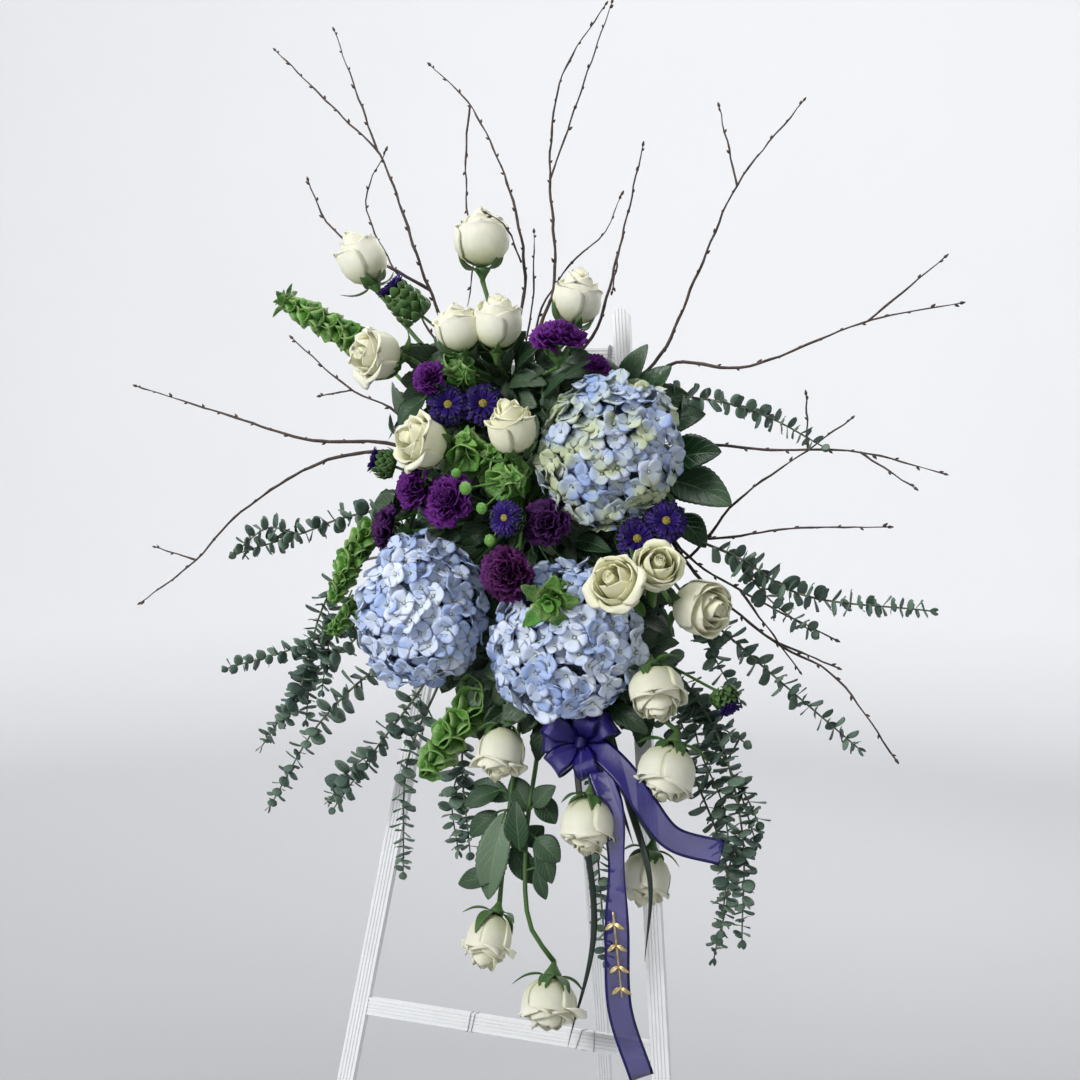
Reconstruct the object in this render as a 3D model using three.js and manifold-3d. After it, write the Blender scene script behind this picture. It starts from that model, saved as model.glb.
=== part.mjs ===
// Standing funeral spray: cut flowers in a foam holder that hangs on a three-legged wooden easel.
// Millimetres, +Z up, front towards -Y. The origin is the middle of the footprint, on the floor.
import * as THREE from "three";
import { mergeVertices } from "three/addons/utils/BufferGeometryUtils.js";
import Module from "manifold-3d";

const wasm = await Module();
wasm.setup();

// Easel: a 60 inch one, with reeded legs and bars.
const LEG_LENGTH = 1524;
const LEG_WIDTH = 20;
const LEG_DEPTH = 9.5;
const LEAN = THREE.MathUtils.degToRad(12.1);
const SPLAY = THREE.MathUtils.degToRad(7.1);
const HALF_TOP = 79;
const BAR_HEIGHT = 20;
const BAR_DEPTH = 8.5;
const BAR_SETBACK = 0.5;
const TOP_BAR_UP = 1455;
const CROSS_BAR_UP = 678;
const REED_GROOVES = 4;
const REED_CUT = 1.1;
const REAR_OPEN = THREE.MathUtils.degToRad(23.3);
const REAR_LEG_WIDTH = 18;
const PIN_RADIUS = 2.5;
const PIN_BACK = BAR_SETBACK + BAR_DEPTH + 13;
const PIN_UP = TOP_BAR_UP;
const CHEEK = { thick: 2.5, reach: 20, high: 18, plate: 2.5 };

// Holder: a block of wet foam pressed into a shallow tray, hung from the top bar by a wire.
const TRAY = { wide: 250, high: 272, low: 1122, back: 0.6, floor: 3, wall: 2.5, rim: 18 };
const FOAM_FRONT = 80;
const EAR = { wide: 12, high: 11, deep: 12, across: 60 };
const WIRE_RADIUS = 1.6;

// Clearances: between fixed neighbours, round a stem or bloom, and under a bloom on its calyx.
const GAP = 0.3;
const ROOM = 0.45;
const SEAT = 0.5;

// Where the reference picture was taken from, which fixes the places given by its pixels.
const EYE = new THREE.Vector3(605, -1379, 1394);
const EYE_TURN = THREE.MathUtils.degToRad(20.25);
const EYE_DIP = THREE.MathUtils.degToRad(6.06);
const PICTURE_MIDDLE = 540;
const PIXELS_TO_FOCUS = 1500;

// Roses: the middle of each bloom in the picture, how far it stands out in front of the legs,
// and the way it faces as across, up and out.
const ROSES = {
  rose_crown: {
    px: 482, py: 238, out: 110,
    aim: [0, 1, 0.25], radius: 31, length: 66, from: "upper",
  },
  rose_upper_left: {
    px: 361, py: 258, out: 120,
    aim: [-0.45, 0.85, 0.3], radius: 27, length: 66, from: "upper",
  },
  rose_pair_left: {
    px: 458, py: 328, out: 162,
    aim: [-0.15, 1, 0.3], radius: 25, length: 54, from: "upper",
  },
  rose_pair_right: {
    px: 497, py: 322, out: 150,
    aim: [0.05, 1, 0.3], radius: 27, length: 60, from: "upper",
  },
  rose_upper_right: {
    px: 577, py: 297, out: 112,
    aim: [0.15, 1, 0.2], radius: 27, length: 62, from: "upper",
  },
  rose_shoulder: {
    px: 376, py: 355, out: 160,
    aim: [-0.55, -0.1, 0.8], radius: 31, length: 56, from: "upper",
  },
  rose_left: {
    px: 422, py: 443, out: 185,
    aim: [-0.6, 0.15, 0.8], radius: 31, length: 56, from: "middle",
  },
  rose_centre: {
    px: 511, py: 427, out: 192,
    aim: [-0.1, 0.9, 0.5], radius: 25, length: 60, from: "middle",
  },
  rose_front: {
    px: 618, py: 585, out: 214,
    aim: [-0.22, 0.3, 1], radius: 28.5, length: 54, from: "middle",
  },
  rose_front_shaded: {
    px: 657, py: 568, out: 196,
    aim: [0.4, 0.35, 0.85], radius: 26, length: 48, from: "middle",
  },
  rose_right: {
    px: 702, py: 608, out: 152,
    aim: [0.85, -0.1, 0.45], radius: 28, length: 60, from: "middle",
  },
  rose_lower_right: {
    px: 657, py: 693, out: 142,
    aim: [0.35, -0.9, 0.35], radius: 28, length: 58, from: "lower",
  },
  rose_drop_left: {
    px: 500, py: 754, out: 128,
    aim: [0, -1, 0.3], radius: 26, length: 60, from: "lower",
  },
  rose_drop_centre: {
    px: 588, py: 826, out: 140,
    aim: [0.05, -1, 0.2], radius: 27, length: 60, from: "lower",
  },
  rose_drop_right: {
    px: 667, py: 773, out: 120,
    aim: [-0.1, -1, 0.3], radius: 30, length: 62, from: "lower",
  },
  rose_drop_back: {
    px: 645, py: 879, out: 88,
    aim: [-0.1, -1, 0.2], radius: 26, length: 58, from: "lower",
  },
  rose_hanging: {
    px: 489, py: 941, out: 90,
    aim: [-0.1, -1, 0.3], radius: 27, length: 60, from: "lower",
  },
  rose_lowest: {
    px: 549, py: 1004, out: 80,
    aim: [0.05, -1, 0.3], radius: 33, length: 56, from: "lower",
  },
};
const TOUCHING_ROSES = [
  ["rose_pair_left", "rose_pair_right"],
  ["rose_front", "rose_front_shaded"],
];

const CARNATIONS = {
  carnation_bright: {
    px: 446, py: 500, out: 176,
    aim: [-0.15, 0.1, 1], radius: 30, length: 34, from: "middle",
  },
  carnation_left: {
    px: 413, py: 486, out: 178,
    aim: [-0.6, 0.1, 0.8], radius: 25, length: 30, from: "middle",
  },
  carnation_dark_left: {
    px: 387, py: 529, out: 150,
    aim: [-0.8, 0, 0.6], radius: 27, length: 30, from: "middle",
  },
  carnation_maroon: {
    px: 506, py: 573, out: 196,
    aim: [-0.05, -0.1, 1], radius: 29, length: 34, from: "middle",
  },
  carnation_dark_centre: {
    px: 546, py: 522, out: 162,
    aim: [0, 0.1, 1], radius: 26, length: 30, from: "middle",
  },
  carnation_top: {
    px: 557, py: 338, out: 164,
    aim: [0.05, 0.9, 0.5], radius: 30, length: 34, from: "upper",
  },
  carnation_small_left: {
    px: 428, py: 377, out: 176,
    aim: [-0.2, 0.2, 1], radius: 19, length: 26, from: "upper",
  },
  carnation_small_right: {
    px: 596, py: 366, out: 120,
    aim: [0.2, 0.9, 0.5], radius: 15, length: 24, from: "upper",
  },
};
const TOUCHING_CARNATIONS = [["carnation_bright", "carnation_left"]];

const ASTERS = {
  aster_upper_left: {
    px: 397, py: 293, out: 130,
    aim: [-0.7, 0.7, 0.35], radius: 20, from: "upper",
  },
  aster_centre: { px: 483, py: 404, out: 146, aim: [0.4, 0.1, 1], radius: 24, from: "middle" },
  aster_centre_left: { px: 448, py: 405, out: 161, aim: [0.4, 0.1, 1], radius: 24, from: "middle" },
  aster_middle: { px: 505, py: 518, out: 188, aim: [-0.1, -0.05, 1], radius: 20, from: "middle" },
  aster_left: { px: 380, py: 462, out: 142, aim: [-0.9, 0.2, 0.4], radius: 18, from: "middle" },
  aster_right: { px: 637, py: 539, out: 156, aim: [0.4, 0.1, 1], radius: 23, from: "middle" },
  aster_far_right: { px: 666, py: 521, out: 144, aim: [0.4, 0.1, 1], radius: 23, from: "middle" },
  aster_lower_right: {
    px: 727, py: 703, out: 112,
    aim: [0.5, -0.8, 0.2], radius: 16, from: "lower",
  },
};
const TOUCHING_ASTERS = [
  ["aster_centre", "aster_centre_left"],
  ["aster_right", "aster_far_right"],
];

// Hydrangea heads: middle, half sizes across, up and out, and how many florets cover a whole ball.
const HYDRANGEAS = {
  hydrangea_upper: {
    px: 608, py: 450, out: 146,
    half: [74, 76, 54], florets: 29, from: "middle", seed: 11,
  },
  hydrangea_left: {
    px: 424, py: 610, out: 142,
    half: [64, 82, 52], florets: 29, from: "middle", seed: 12,
  },
  hydrangea_lower: {
    px: 567, py: 640, out: 144,
    half: [78, 78, 52], florets: 29, from: "lower", seed: 13,
  },
};

// Where the stems of a group meet, just outside the foam, as across, up and out. From there one
// root goes into a plain hole in the foam, by its top, its front, its bottom or one of its sides.
const ROOT_WAYS = {
  top: [0, -1, 0],
  front: [0, 0, -1],
  bottom: [0, 1, 0],
  left: [1, 0, 0],
  right: [-1, 0, 0],
};
const ROOT_DEPTH = 42;
const HUBS = {
  upper: { at: [-25, 1404, 56], by: "top", radius: 9 },
  middle: { at: [12, 1255, 90], by: "front", radius: 10 },
  lower: { at: [12, 1112, 46], by: "bottom", radius: 9 },
  birch_upper: { at: [32, 1402, 32], by: "top", radius: 7 },
  birch_right: { at: [134, 1300, 30], by: "right", radius: 6 },
  birch_left: { at: [-134, 1318, 30], by: "left", radius: 5 },
  bells_upper: { at: [-84, 1402, 42], by: "top", radius: 5 },
  bells_centre: { at: [-48, 1302, 88], by: "front", radius: 5 },
  bells_left: { at: [-134, 1264, 56], by: "left", radius: 5 },
  bells_lower: { at: [-40, 1112, 56], by: "bottom", radius: 5 },
  salal_leaves: { at: [134, 1336, 52], by: "right", radius: 5 },
  eucalyptus_left: { at: [-134, 1212, 38], by: "left", radius: 5 },
  eucalyptus_lower_left: { at: [-88, 1112, 36], by: "bottom", radius: 5 },
  eucalyptus_right: { at: [134, 1248, 44], by: "right", radius: 5 },
  eucalyptus_lower_right: { at: [92, 1112, 36], by: "bottom", radius: 5 },
  lily_grass: { at: [48, 1112, 28], by: "bottom", radius: 5 },
};

// Points that a stem passes on its way from the foam to its bloom.
const STEM_ROUTES = {
  rose_crown: [{ px: 500, py: 340, out: 85 }],
  rose_upper_left: [{ px: 440, py: 360, out: 88 }],
  rose_shoulder: [{ px: 440, py: 375, out: 110 }],
  rose_right: [{ px: 640, py: 560, out: 92 }],
  rose_front: [{ px: 612, py: 548, out: 90 }],
  rose_front_shaded: [{ px: 630, py: 548, out: 90 }],
  aster_right: [{ px: 622, py: 535, out: 90 }],
  aster_far_right: [{ px: 650, py: 536, out: 90 }],
  rose_lower_right: [{ px: 590, py: 650, out: 60 }, { px: 640, py: 668, out: 80 }],
  rose_drop_left: [{ px: 520, py: 650, out: 70 }],
  rose_drop_centre: [{ px: 563, py: 690, out: 82 }, { px: 583, py: 742, out: 118 }],
  rose_drop_right: [{ px: 610, py: 680, out: 66 }],
  rose_drop_back: [{ px: 598, py: 720, out: 66 }, { px: 622, py: 790, out: 74 }],
  rose_hanging: [{ px: 520, py: 720, out: 72 }, { px: 508, py: 820, out: 84 }],
  rose_lowest: [
    { px: 540, py: 720, out: 72 },
    { px: 526, py: 840, out: 82 },
    { px: 530, py: 925, out: 82 },
  ],
  aster_lower_right: [{ px: 640, py: 655, out: 62 }],
  hydrangea_lower: [{ px: 562, py: 622, out: 76 }],
};

// Broad leaves on the stems: from the foot of the blade to its tip.
const STEM_LEAVES = {
  upper: [
    { base: { px: 425, py: 398, out: 120 }, tip: { px: 398, py: 425, out: 122 }, wide: 26 },
    { base: { px: 543, py: 398, out: 112 }, tip: { px: 592, py: 360, out: 142 }, wide: 13 },
  ],
  middle: [
    { base: { px: 575, py: 540, out: 112 }, tip: { px: 612, py: 552, out: 128 }, wide: 24 },
    { base: { px: 486, py: 590, out: 98 }, tip: { px: 496, py: 650, out: 100 }, wide: 26 },
  ],
  lower: [
    { base: { px: 505, py: 812, out: 92 }, tip: { px: 488, py: 900, out: 84 }, wide: 38 },
    { base: { px: 500, py: 790, out: 88 }, tip: { px: 464, py: 806, out: 96 }, wide: 24 },
    { base: { px: 498, py: 875, out: 86 }, tip: { px: 458, py: 884, out: 80 }, wide: 24 },
    { base: { px: 536, py: 838, out: 90 }, tip: { px: 560, py: 862, out: 92 }, wide: 30 },
    { base: { px: 534, py: 806, out: 92 }, tip: { px: 556, py: 786, out: 98 }, wide: 24 },
    { base: { px: 520, py: 850, out: 92 }, tip: { px: 516, py: 800, out: 98 }, wide: 28 },
    { base: { px: 536, py: 868, out: 84 }, tip: { px: 546, py: 900, out: 76 }, wide: 16 },
  ],
};
const SALAL = {
  leaves: [
    { base: { px: 668, py: 462, out: 66 }, tip: { px: 722, py: 452, out: 88 }, wide: 46 },
    { base: { px: 672, py: 480, out: 62 }, tip: { px: 732, py: 506, out: 92 }, wide: 48 },
    { base: { px: 640, py: 402, out: 62 }, tip: { px: 672, py: 366, out: 86 }, wide: 32 },
    { base: { px: 622, py: 392, out: 60 }, tip: { px: 648, py: 344, out: 84 }, wide: 28 },
    { base: { px: 660, py: 428, out: 60 }, tip: { px: 706, py: 414, out: 66 }, wide: 34 },
    { base: { px: 678, py: 515, out: 52 }, tip: { px: 706, py: 548, out: 66 }, wide: 32 },
  ],
};

// Bells of Ireland: each spike as a run of points, with the share of it where the bells begin.
const BELLS = {
  bells_upper: {
    spikes: [
      {
        route: [
          { px: 418, py: 392, out: 78 }, { px: 372, py: 350, out: 92 },
          { px: 318, py: 320, out: 108 }, { px: 284, py: 300, out: 116 },
        ],
        from: 0.56, whorls: 4, bell: 11, tuft: 13,
      },
    ],
  },
  bells_centre: {
    spikes: [
      {
        route: [
          { px: 478, py: 470, out: 96 }, { px: 470, py: 455, out: 140 },
          { px: 466, py: 440, out: 172 },
        ],
        from: 0.66, whorls: 2, bell: 14, tuft: 8,
      },
      {
        route: [
          { px: 494, py: 478, out: 96 }, { px: 508, py: 480, out: 150 },
          { px: 514, py: 478, out: 186 },
        ],
        from: 0.64, whorls: 2, bell: 14, tuft: 8,
      },
    ],
  },
  bells_left: {
    spikes: [
      {
        route: [
          { px: 410, py: 515, out: 74 }, { px: 372, py: 530, out: 98 },
          { px: 350, py: 562, out: 112 }, { px: 334, py: 604, out: 116 },
        ],
        from: 0.42, whorls: 4, bell: 10, tuft: 11,
      },
      {
        route: [
          { px: 396, py: 560, out: 60 }, { px: 352, py: 612, out: 84 },
          { px: 330, py: 632, out: 92 },
        ],
        from: 0.75, whorls: 2, bell: 9, tuft: 16,
      },
    ],
  },
  bells_lower: {
    spikes: [
      {
        route: [
          { px: 502, py: 640, out: 62 }, { px: 484, py: 690, out: 84 },
          { px: 456, py: 728, out: 110 }, { px: 424, py: 778, out: 112 },
        ],
        from: 0.45, whorls: 4, bell: 14, tuft: 9,
      },
    ],
  },
};

// Young spikes that stand among the stems of a group.
const YOUNG_SPIKES = {
  upper: {
    route: [{ px: 452, py: 380, out: 92 }, { px: 464, py: 372, out: 158 }],
    from: 0.72,
    whorls: 2,
    bell: 12,
    tuft: 9,
  },
  middle: {
    route: [{ px: 566, py: 548, out: 96 }, { px: 560, py: 556, out: 176 }, { px: 556, py: 604, out: 206 }],
    from: 0.82,
    whorls: 2,
    bell: 11,
    tuft: 26,
  },
};

// Eucalyptus sprays: runs of points out from the foam, with the pairs of leaves on each.
const EUCALYPTUS = {
  eucalyptus_left: {
    sprays: [
      {
        route: [
          { px: 400, py: 512, out: 52 }, { px: 350, py: 516, out: 66 },
          { px: 300, py: 534, out: 74 }, { px: 236, py: 554, out: 78 },
        ],
        pairs: 4,
      },
      {
        route: [
          { px: 380, py: 600, out: 46 }, { px: 310, py: 642, out: 58 },
          { px: 228, py: 668, out: 60 },
        ],
        pairs: 4,
      },
      {
        route: [
          { px: 372, py: 622, out: 44 }, { px: 306, py: 684, out: 40 },
          { px: 262, py: 746, out: 40 },
        ],
        pairs: 4,
      },
      {
        route: [
          { px: 352, py: 566, out: 38 }, { px: 318, py: 620, out: 30 },
          { px: 306, py: 720, out: 26 },
        ],
        pairs: 3,
      },
    ],
  },
  eucalyptus_lower_left: {
    sprays: [
      {
        route: [
          { px: 390, py: 660, out: 58 }, { px: 322, py: 720, out: 64 },
          { px: 270, py: 806, out: 56 },
        ],
        pairs: 3,
      },
      {
        route: [
          { px: 420, py: 690, out: 56 }, { px: 375, py: 750, out: 66 },
          { px: 334, py: 808, out: 58 },
        ],
        pairs: 3,
      },
      {
        route: [
          { px: 440, py: 680, out: 48 }, { px: 408, py: 760, out: 52 },
          { px: 403, py: 872, out: 46 },
        ],
        pairs: 4,
      },
      {
        route: [
          { px: 470, py: 680, out: 44 }, { px: 462, py: 760, out: 62 },
          { px: 470, py: 852, out: 56 },
        ],
        pairs: 3,
      },
    ],
  },
  eucalyptus_right: {
    sprays: [
      {
        route: [
          { px: 650, py: 405, out: 46 }, { px: 710, py: 400, out: 74 },
          { px: 770, py: 418, out: 84 }, { px: 822, py: 446, out: 86 },
        ],
        pairs: 4,
      },
      {
        route: [
          { px: 660, py: 530, out: 50 }, { px: 735, py: 556, out: 76 },
          { px: 800, py: 594, out: 88 }, { px: 930, py: 611, out: 92 },
        ],
        pairs: 5,
      },
      {
        route: [
          { px: 680, py: 590, out: 48 }, { px: 750, py: 655, out: 74 },
          { px: 858, py: 748, out: 78 },
        ],
        pairs: 4,
      },
    ],
  },
  eucalyptus_lower_right: {
    sprays: [
      {
        route: [
          { px: 650, py: 640, out: 44 }, { px: 690, py: 700, out: 62 },
          { px: 735, py: 780, out: 66 }, { px: 756, py: 842, out: 60 },
        ],
        pairs: 4,
      },
      {
        route: [
          { px: 636, py: 670, out: 38 }, { px: 700, py: 790, out: 44 },
          { px: 728, py: 880, out: 38 }, { px: 714, py: 958, out: 30 },
        ],
        pairs: 5,
      },
      {
        route: [
          { px: 660, py: 660, out: 56 }, { px: 715, py: 730, out: 78 },
          { px: 742, py: 830, out: 78 }, { px: 742, py: 940, out: 60 },
        ],
        pairs: 4,
      },
      {
        route: [
          { px: 605, py: 700, out: 42 }, { px: 596, py: 800, out: 52 },
          { px: 606, py: 960, out: 42 },
        ],
        pairs: 3,
      },
    ],
  },
};

// Birch twigs: runs of points from the foam to the tip, and side twigs from a point to a tip.
const BIRCH = {
  birch_upper: {
    twigs: [
      {
        route: [
          { px: 470, py: 370, out: 36 }, { px: 430, py: 290, out: 48 },
          { px: 378, py: 152, out: 56 }, { px: 354, py: 128, out: 62 },
          { px: 275, py: 50, out: 70 },
        ],
        thick: 3.2,
      },
      {
        route: [
          { px: 465, py: 372, out: 30 }, { px: 402, py: 282, out: 30 },
          { px: 366, py: 200, out: 28 }, { px: 386, py: 150, out: 30 },
        ],
        thick: 2.2,
      },
      {
        route: [
          { px: 500, py: 365, out: 44 }, { px: 524, py: 300, out: 52 },
          { px: 514, py: 205, out: 56 }, { px: 470, py: 105, out: 62 },
          { px: 430, py: 65, out: 66 },
        ],
        thick: 3,
      },
      {
        route: [
          { px: 530, py: 365, out: 40 }, { px: 554, py: 285, out: 48 },
          { px: 550, py: 160, out: 54 }, { px: 562, py: 76, out: 60 },
          { px: 606, py: 4, out: 66 },
        ],
        thick: 3,
      },
      {
        route: [
          { px: 560, py: 372, out: 36 }, { px: 592, py: 338, out: 44 },
          { px: 620, py: 245, out: 52 }, { px: 643, py: 145, out: 58 },
        ],
        thick: 2.8,
      },
      {
        route: [
          { px: 528, py: 352, out: 30 }, { px: 533, py: 300, out: 30 },
          { px: 534, py: 232, out: 32 },
        ],
        thick: 1.8,
      },
      {
        route: [
          { px: 536, py: 330, out: 28 }, { px: 572, py: 262, out: 26 },
          { px: 602, py: 236, out: 26 }, { px: 622, py: 194, out: 28 },
        ],
        thick: 2,
      },
      {
        route: [
          { px: 600, py: 392, out: 34 }, { px: 652, py: 366, out: 44 },
          { px: 700, py: 268, out: 56 }, { px: 737, py: 185, out: 64 },
          { px: 804, py: 100, out: 72 },
        ],
        thick: 3,
      },
      {
        route: [
          { px: 340, py: 236, out: 50 }, { px: 322, py: 214, out: 54 },
          { px: 308, py: 180, out: 56 },
        ],
        start: { px: 430, py: 290, out: 48 },
        thick: 2.6,
      },
    ],
    sides: [
      { from: { px: 378, py: 152, out: 56 }, to: { px: 334, py: 30, out: 62 } },
      { from: { px: 470, py: 105, out: 62 }, to: { px: 470, py: 300, out: 62 } },
      { from: { px: 550, py: 180, out: 53 }, to: { px: 612, py: 2, out: 58 } },
      { from: { px: 620, py: 245, out: 52 }, to: { px: 612, py: 292, out: 66 } },
      { from: { px: 737, py: 185, out: 64 }, to: { px: 719, py: 106, out: 60 } },
    ],
  },
  birch_right: {
    twigs: [
      {
        route: [
          { px: 664, py: 368, out: 34 }, { px: 745, py: 367, out: 58 },
          { px: 868, py: 321, out: 74 }, { px: 961, py: 303, out: 82 },
        ],
        thick: 3.2,
      },
      {
        route: [
          { px: 690, py: 448, out: 36 }, { px: 770, py: 450, out: 52 },
          { px: 860, py: 452, out: 64 }, { px: 945, py: 474, out: 70 },
        ],
        thick: 2.6,
      },
      {
        route: [
          { px: 680, py: 560, out: 26 }, { px: 740, py: 498, out: 36 },
          { px: 808, py: 450, out: 48 }, { px: 852, py: 418, out: 56 },
        ],
        thick: 2.8,
      },
      {
        route: [
          { px: 680, py: 534, out: 30 }, { px: 800, py: 528, out: 46 },
          { px: 889, py: 527, out: 54 },
        ],
        thick: 2.4,
      },
      {
        route: [
          { px: 684, py: 552, out: 28 }, { px: 762, py: 602, out: 34 },
          { px: 836, py: 640, out: 38 },
        ],
        thick: 2.4,
      },
      {
        route: [
          { px: 686, py: 562, out: 24 }, { px: 772, py: 640, out: 26 },
          { px: 834, py: 676, out: 30 }, { px: 896, py: 760, out: 36 },
        ],
        thick: 2.8,
      },
    ],
    sides: [
      { from: { px: 868, py: 321, out: 74 }, to: { px: 945, py: 257, out: 88 } },
      { from: { px: 808, py: 450, out: 48 }, to: { px: 806, py: 394, out: 52 } },
      { from: { px: 860, py: 452, out: 64 }, to: { px: 915, py: 488, out: 76 } },
      { from: { px: 772, py: 640, out: 26 }, to: { px: 838, py: 668, out: 18 } },
      { from: { px: 740, py: 590, out: 32 }, to: { px: 800, py: 672, out: 22 } },
    ],
  },
  birch_left: {
    twigs: [
      {
        route: [
          { px: 396, py: 412, out: 40 }, { px: 352, py: 390, out: 58 },
          { px: 292, py: 338, out: 66 },
        ],
        thick: 2.2,
      },
      {
        route: [
          { px: 392, py: 452, out: 38 }, { px: 322, py: 462, out: 56 },
          { px: 234, py: 518, out: 66 }, { px: 196, py: 560, out: 70 },
          { px: 140, py: 603, out: 74 },
        ],
        thick: 3,
      },
      {
        route: [
          { px: 392, py: 444, out: 44 }, { px: 310, py: 440, out: 68 },
          { px: 234, py: 417, out: 80 }, { px: 136, py: 386, out: 86 },
        ],
        thick: 3,
      },
    ],
    sides: [
      { from: { px: 196, py: 560, out: 70 }, to: { px: 155, py: 547, out: 78 } },
      { from: { px: 352, py: 390, out: 58 }, to: { px: 320, py: 396, out: 52 } },
    ],
  },
};

// Lily grass: long narrow blades that arch down from the foam.
const GRASS = {
  wide: 9,
  blades: [
    [{ px: 568, py: 676, out: 42 }, { px: 572, py: 720, out: 62 }, { px: 580, py: 800, out: 86 },
      { px: 594, py: 930, out: 78 }, { px: 568, py: 1047, out: 60 }],
    [{ px: 590, py: 660, out: 40 }, { px: 612, py: 740, out: 70 }, { px: 628, py: 800, out: 104 },
      { px: 650, py: 880, out: 122 }, { px: 645, py: 962, out: 106 }],
    [{ px: 580, py: 660, out: 44 }, { px: 606, py: 760, out: 82 }, { px: 634, py: 846, out: 136 }],
  ],
};

// Ribbon: sheer, 26 mm wide, tied in a bow round a rose stem, with two tails.
const RIBBON = {
  wide: 26,
  thick: 0.9,
  knot: { px: 583, py: 742, out: 118 },
  loops: [
    { reach: [-44, -2, 6], belly: 15 },
    { reach: [-30, -30, 10], belly: 13 },
    { reach: [34, 24, 8], belly: 15 },
    { reach: [16, -34, 16], belly: 12 },
  ],
  tails: [
    [{ px: 602, py: 752, out: 134 }, { px: 626, py: 776, out: 138 }, { px: 646, py: 806, out: 136 },
      { px: 672, py: 838, out: 130 }, { px: 722, py: 853, out: 124 }],
    [{ px: 598, py: 770, out: 134 }, { px: 611, py: 805, out: 140 }, { px: 616, py: 860, out: 134 },
      { px: 617, py: 930, out: 124 }, { px: 620, py: 1010, out: 110 }, { px: 642, py: 1078, out: 96 }],
  ],
};
const SPRIG = {
  stem: [{ px: 613, py: 912, out: 129 }, { px: 617, py: 950, out: 123 }, { px: 622, py: 998, out: 115 }],
  leaf: 11,
  pairs: 4,
};

// The easel's front plane leans back. In its frame x runs across, z up the plane, and -y out of it.
const toFrame = new THREE.Matrix4().makeRotationX(LEAN);
const ahead = new THREE.Vector3(
  -Math.sin(EYE_TURN) * Math.cos(EYE_DIP),
  Math.cos(EYE_TURN) * Math.cos(EYE_DIP),
  -Math.sin(EYE_DIP),
);
const aside = new THREE.Vector3(Math.cos(EYE_TURN), Math.sin(EYE_TURN), 0);
const above = new THREE.Vector3().crossVectors(aside, ahead);
const eyeInFrame = EYE.clone().applyMatrix4(toFrame);

// The point that shows at a pixel of the picture and stands out millimetres in front of the legs.
function spot({ px, py, out }) {
  const ray = ahead
    .clone()
    .addScaledVector(aside, (px - PICTURE_MIDDLE) / PIXELS_TO_FOCUS)
    .addScaledVector(above, (PICTURE_MIDDLE - py) / PIXELS_TO_FOCUS)
    .applyMatrix4(toFrame);
  return eyeInFrame.clone().addScaledVector(ray, (-out - eyeInFrame.y) / ray.y);
}

// A point or a direction by its measures across, up the plane, and out in front of the legs.
function inFrame([across, up, out]) {
  return new THREE.Vector3(across, -out, up);
}

// The same run of random numbers for a seed each time.
function makeRandom(seed) {
  let state = seed >>> 0;
  return () => {
    state = (Math.imul(state, 1664525) + 1013904223) >>> 0;
    return state / 4294967296;
  };
}

// A geometry with its doubled points merged, so that it can become a solid.
function mergedOf(geometry) {
  const plain = geometry.clone();
  plain.deleteAttribute("normal");
  plain.deleteAttribute("uv");
  return mergeVertices(plain, 1e-4);
}

// A closed mesh as a solid, turned the right way out.
function solidOf(geometry) {
  const merged = mergedOf(geometry);
  const vertProperties = merged.attributes.position.array;
  const triVerts = new Uint32Array(merged.index.array);
  const solid = new wasm.Manifold(new wasm.Mesh({ numProp: 3, vertProperties, triVerts }));
  if (solid.volume() >= 0) return solid;
  for (let i = 0; i < triVerts.length; i += 3) {
    [triVerts[i + 1], triVerts[i + 2]] = [triVerts[i + 2], triVerts[i + 1]];
  }
  return new wasm.Manifold(new wasm.Mesh({ numProp: 3, vertProperties, triVerts }));
}

// A solid's mesh as a geometry.
function geometryOf(solid) {
  const { numProp, numVert, vertProperties, triVerts } = solid.getMesh();
  const positions = new Float32Array(numVert * 3);
  for (let i = 0; i < numVert; i++) {
    positions.set(vertProperties.subarray(i * numProp, i * numProp + 3), i * 3);
  }
  const geometry = new THREE.BufferGeometry();
  geometry.setAttribute("position", new THREE.BufferAttribute(positions, 3));
  geometry.setIndex(new THREE.BufferAttribute(new Uint32Array(triVerts), 1));
  geometry.computeVertexNormals();
  return geometry;
}

// The room that a piece needs: its solid with each point moved out along its normal.
function roomOf(geometry, distance = ROOM) {
  const swollen = geometryOf(solidOf(geometry));
  const { position, normal } = swollen.attributes;
  for (let i = 0; i < position.count; i++) {
    position.setX(i, position.getX(i) + distance * normal.getX(i));
    position.setY(i, position.getY(i) + distance * normal.getY(i));
    position.setZ(i, position.getZ(i) + distance * normal.getZ(i));
  }
  return solidOf(swollen);
}

function joined(solids) {
  return solids.reduce((whole, next) => whole.add(next));
}

function cut(solid, ...tools) {
  return tools.reduce((left, tool) => left.subtract(tool), solid);
}

// The largest body of a solid, without the scraps that a cut leaves.
function mainBody(solid) {
  const bodies = solid.decompose();
  return bodies.reduce((best, next) => (next.volume() > best.volume() ? next : best));
}

// A piece of a node: its shape, and the plainer outline whose room the neighbours keep clear of.
function piece(geometry, outline = geometry) {
  return { geometry, outline };
}

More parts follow.
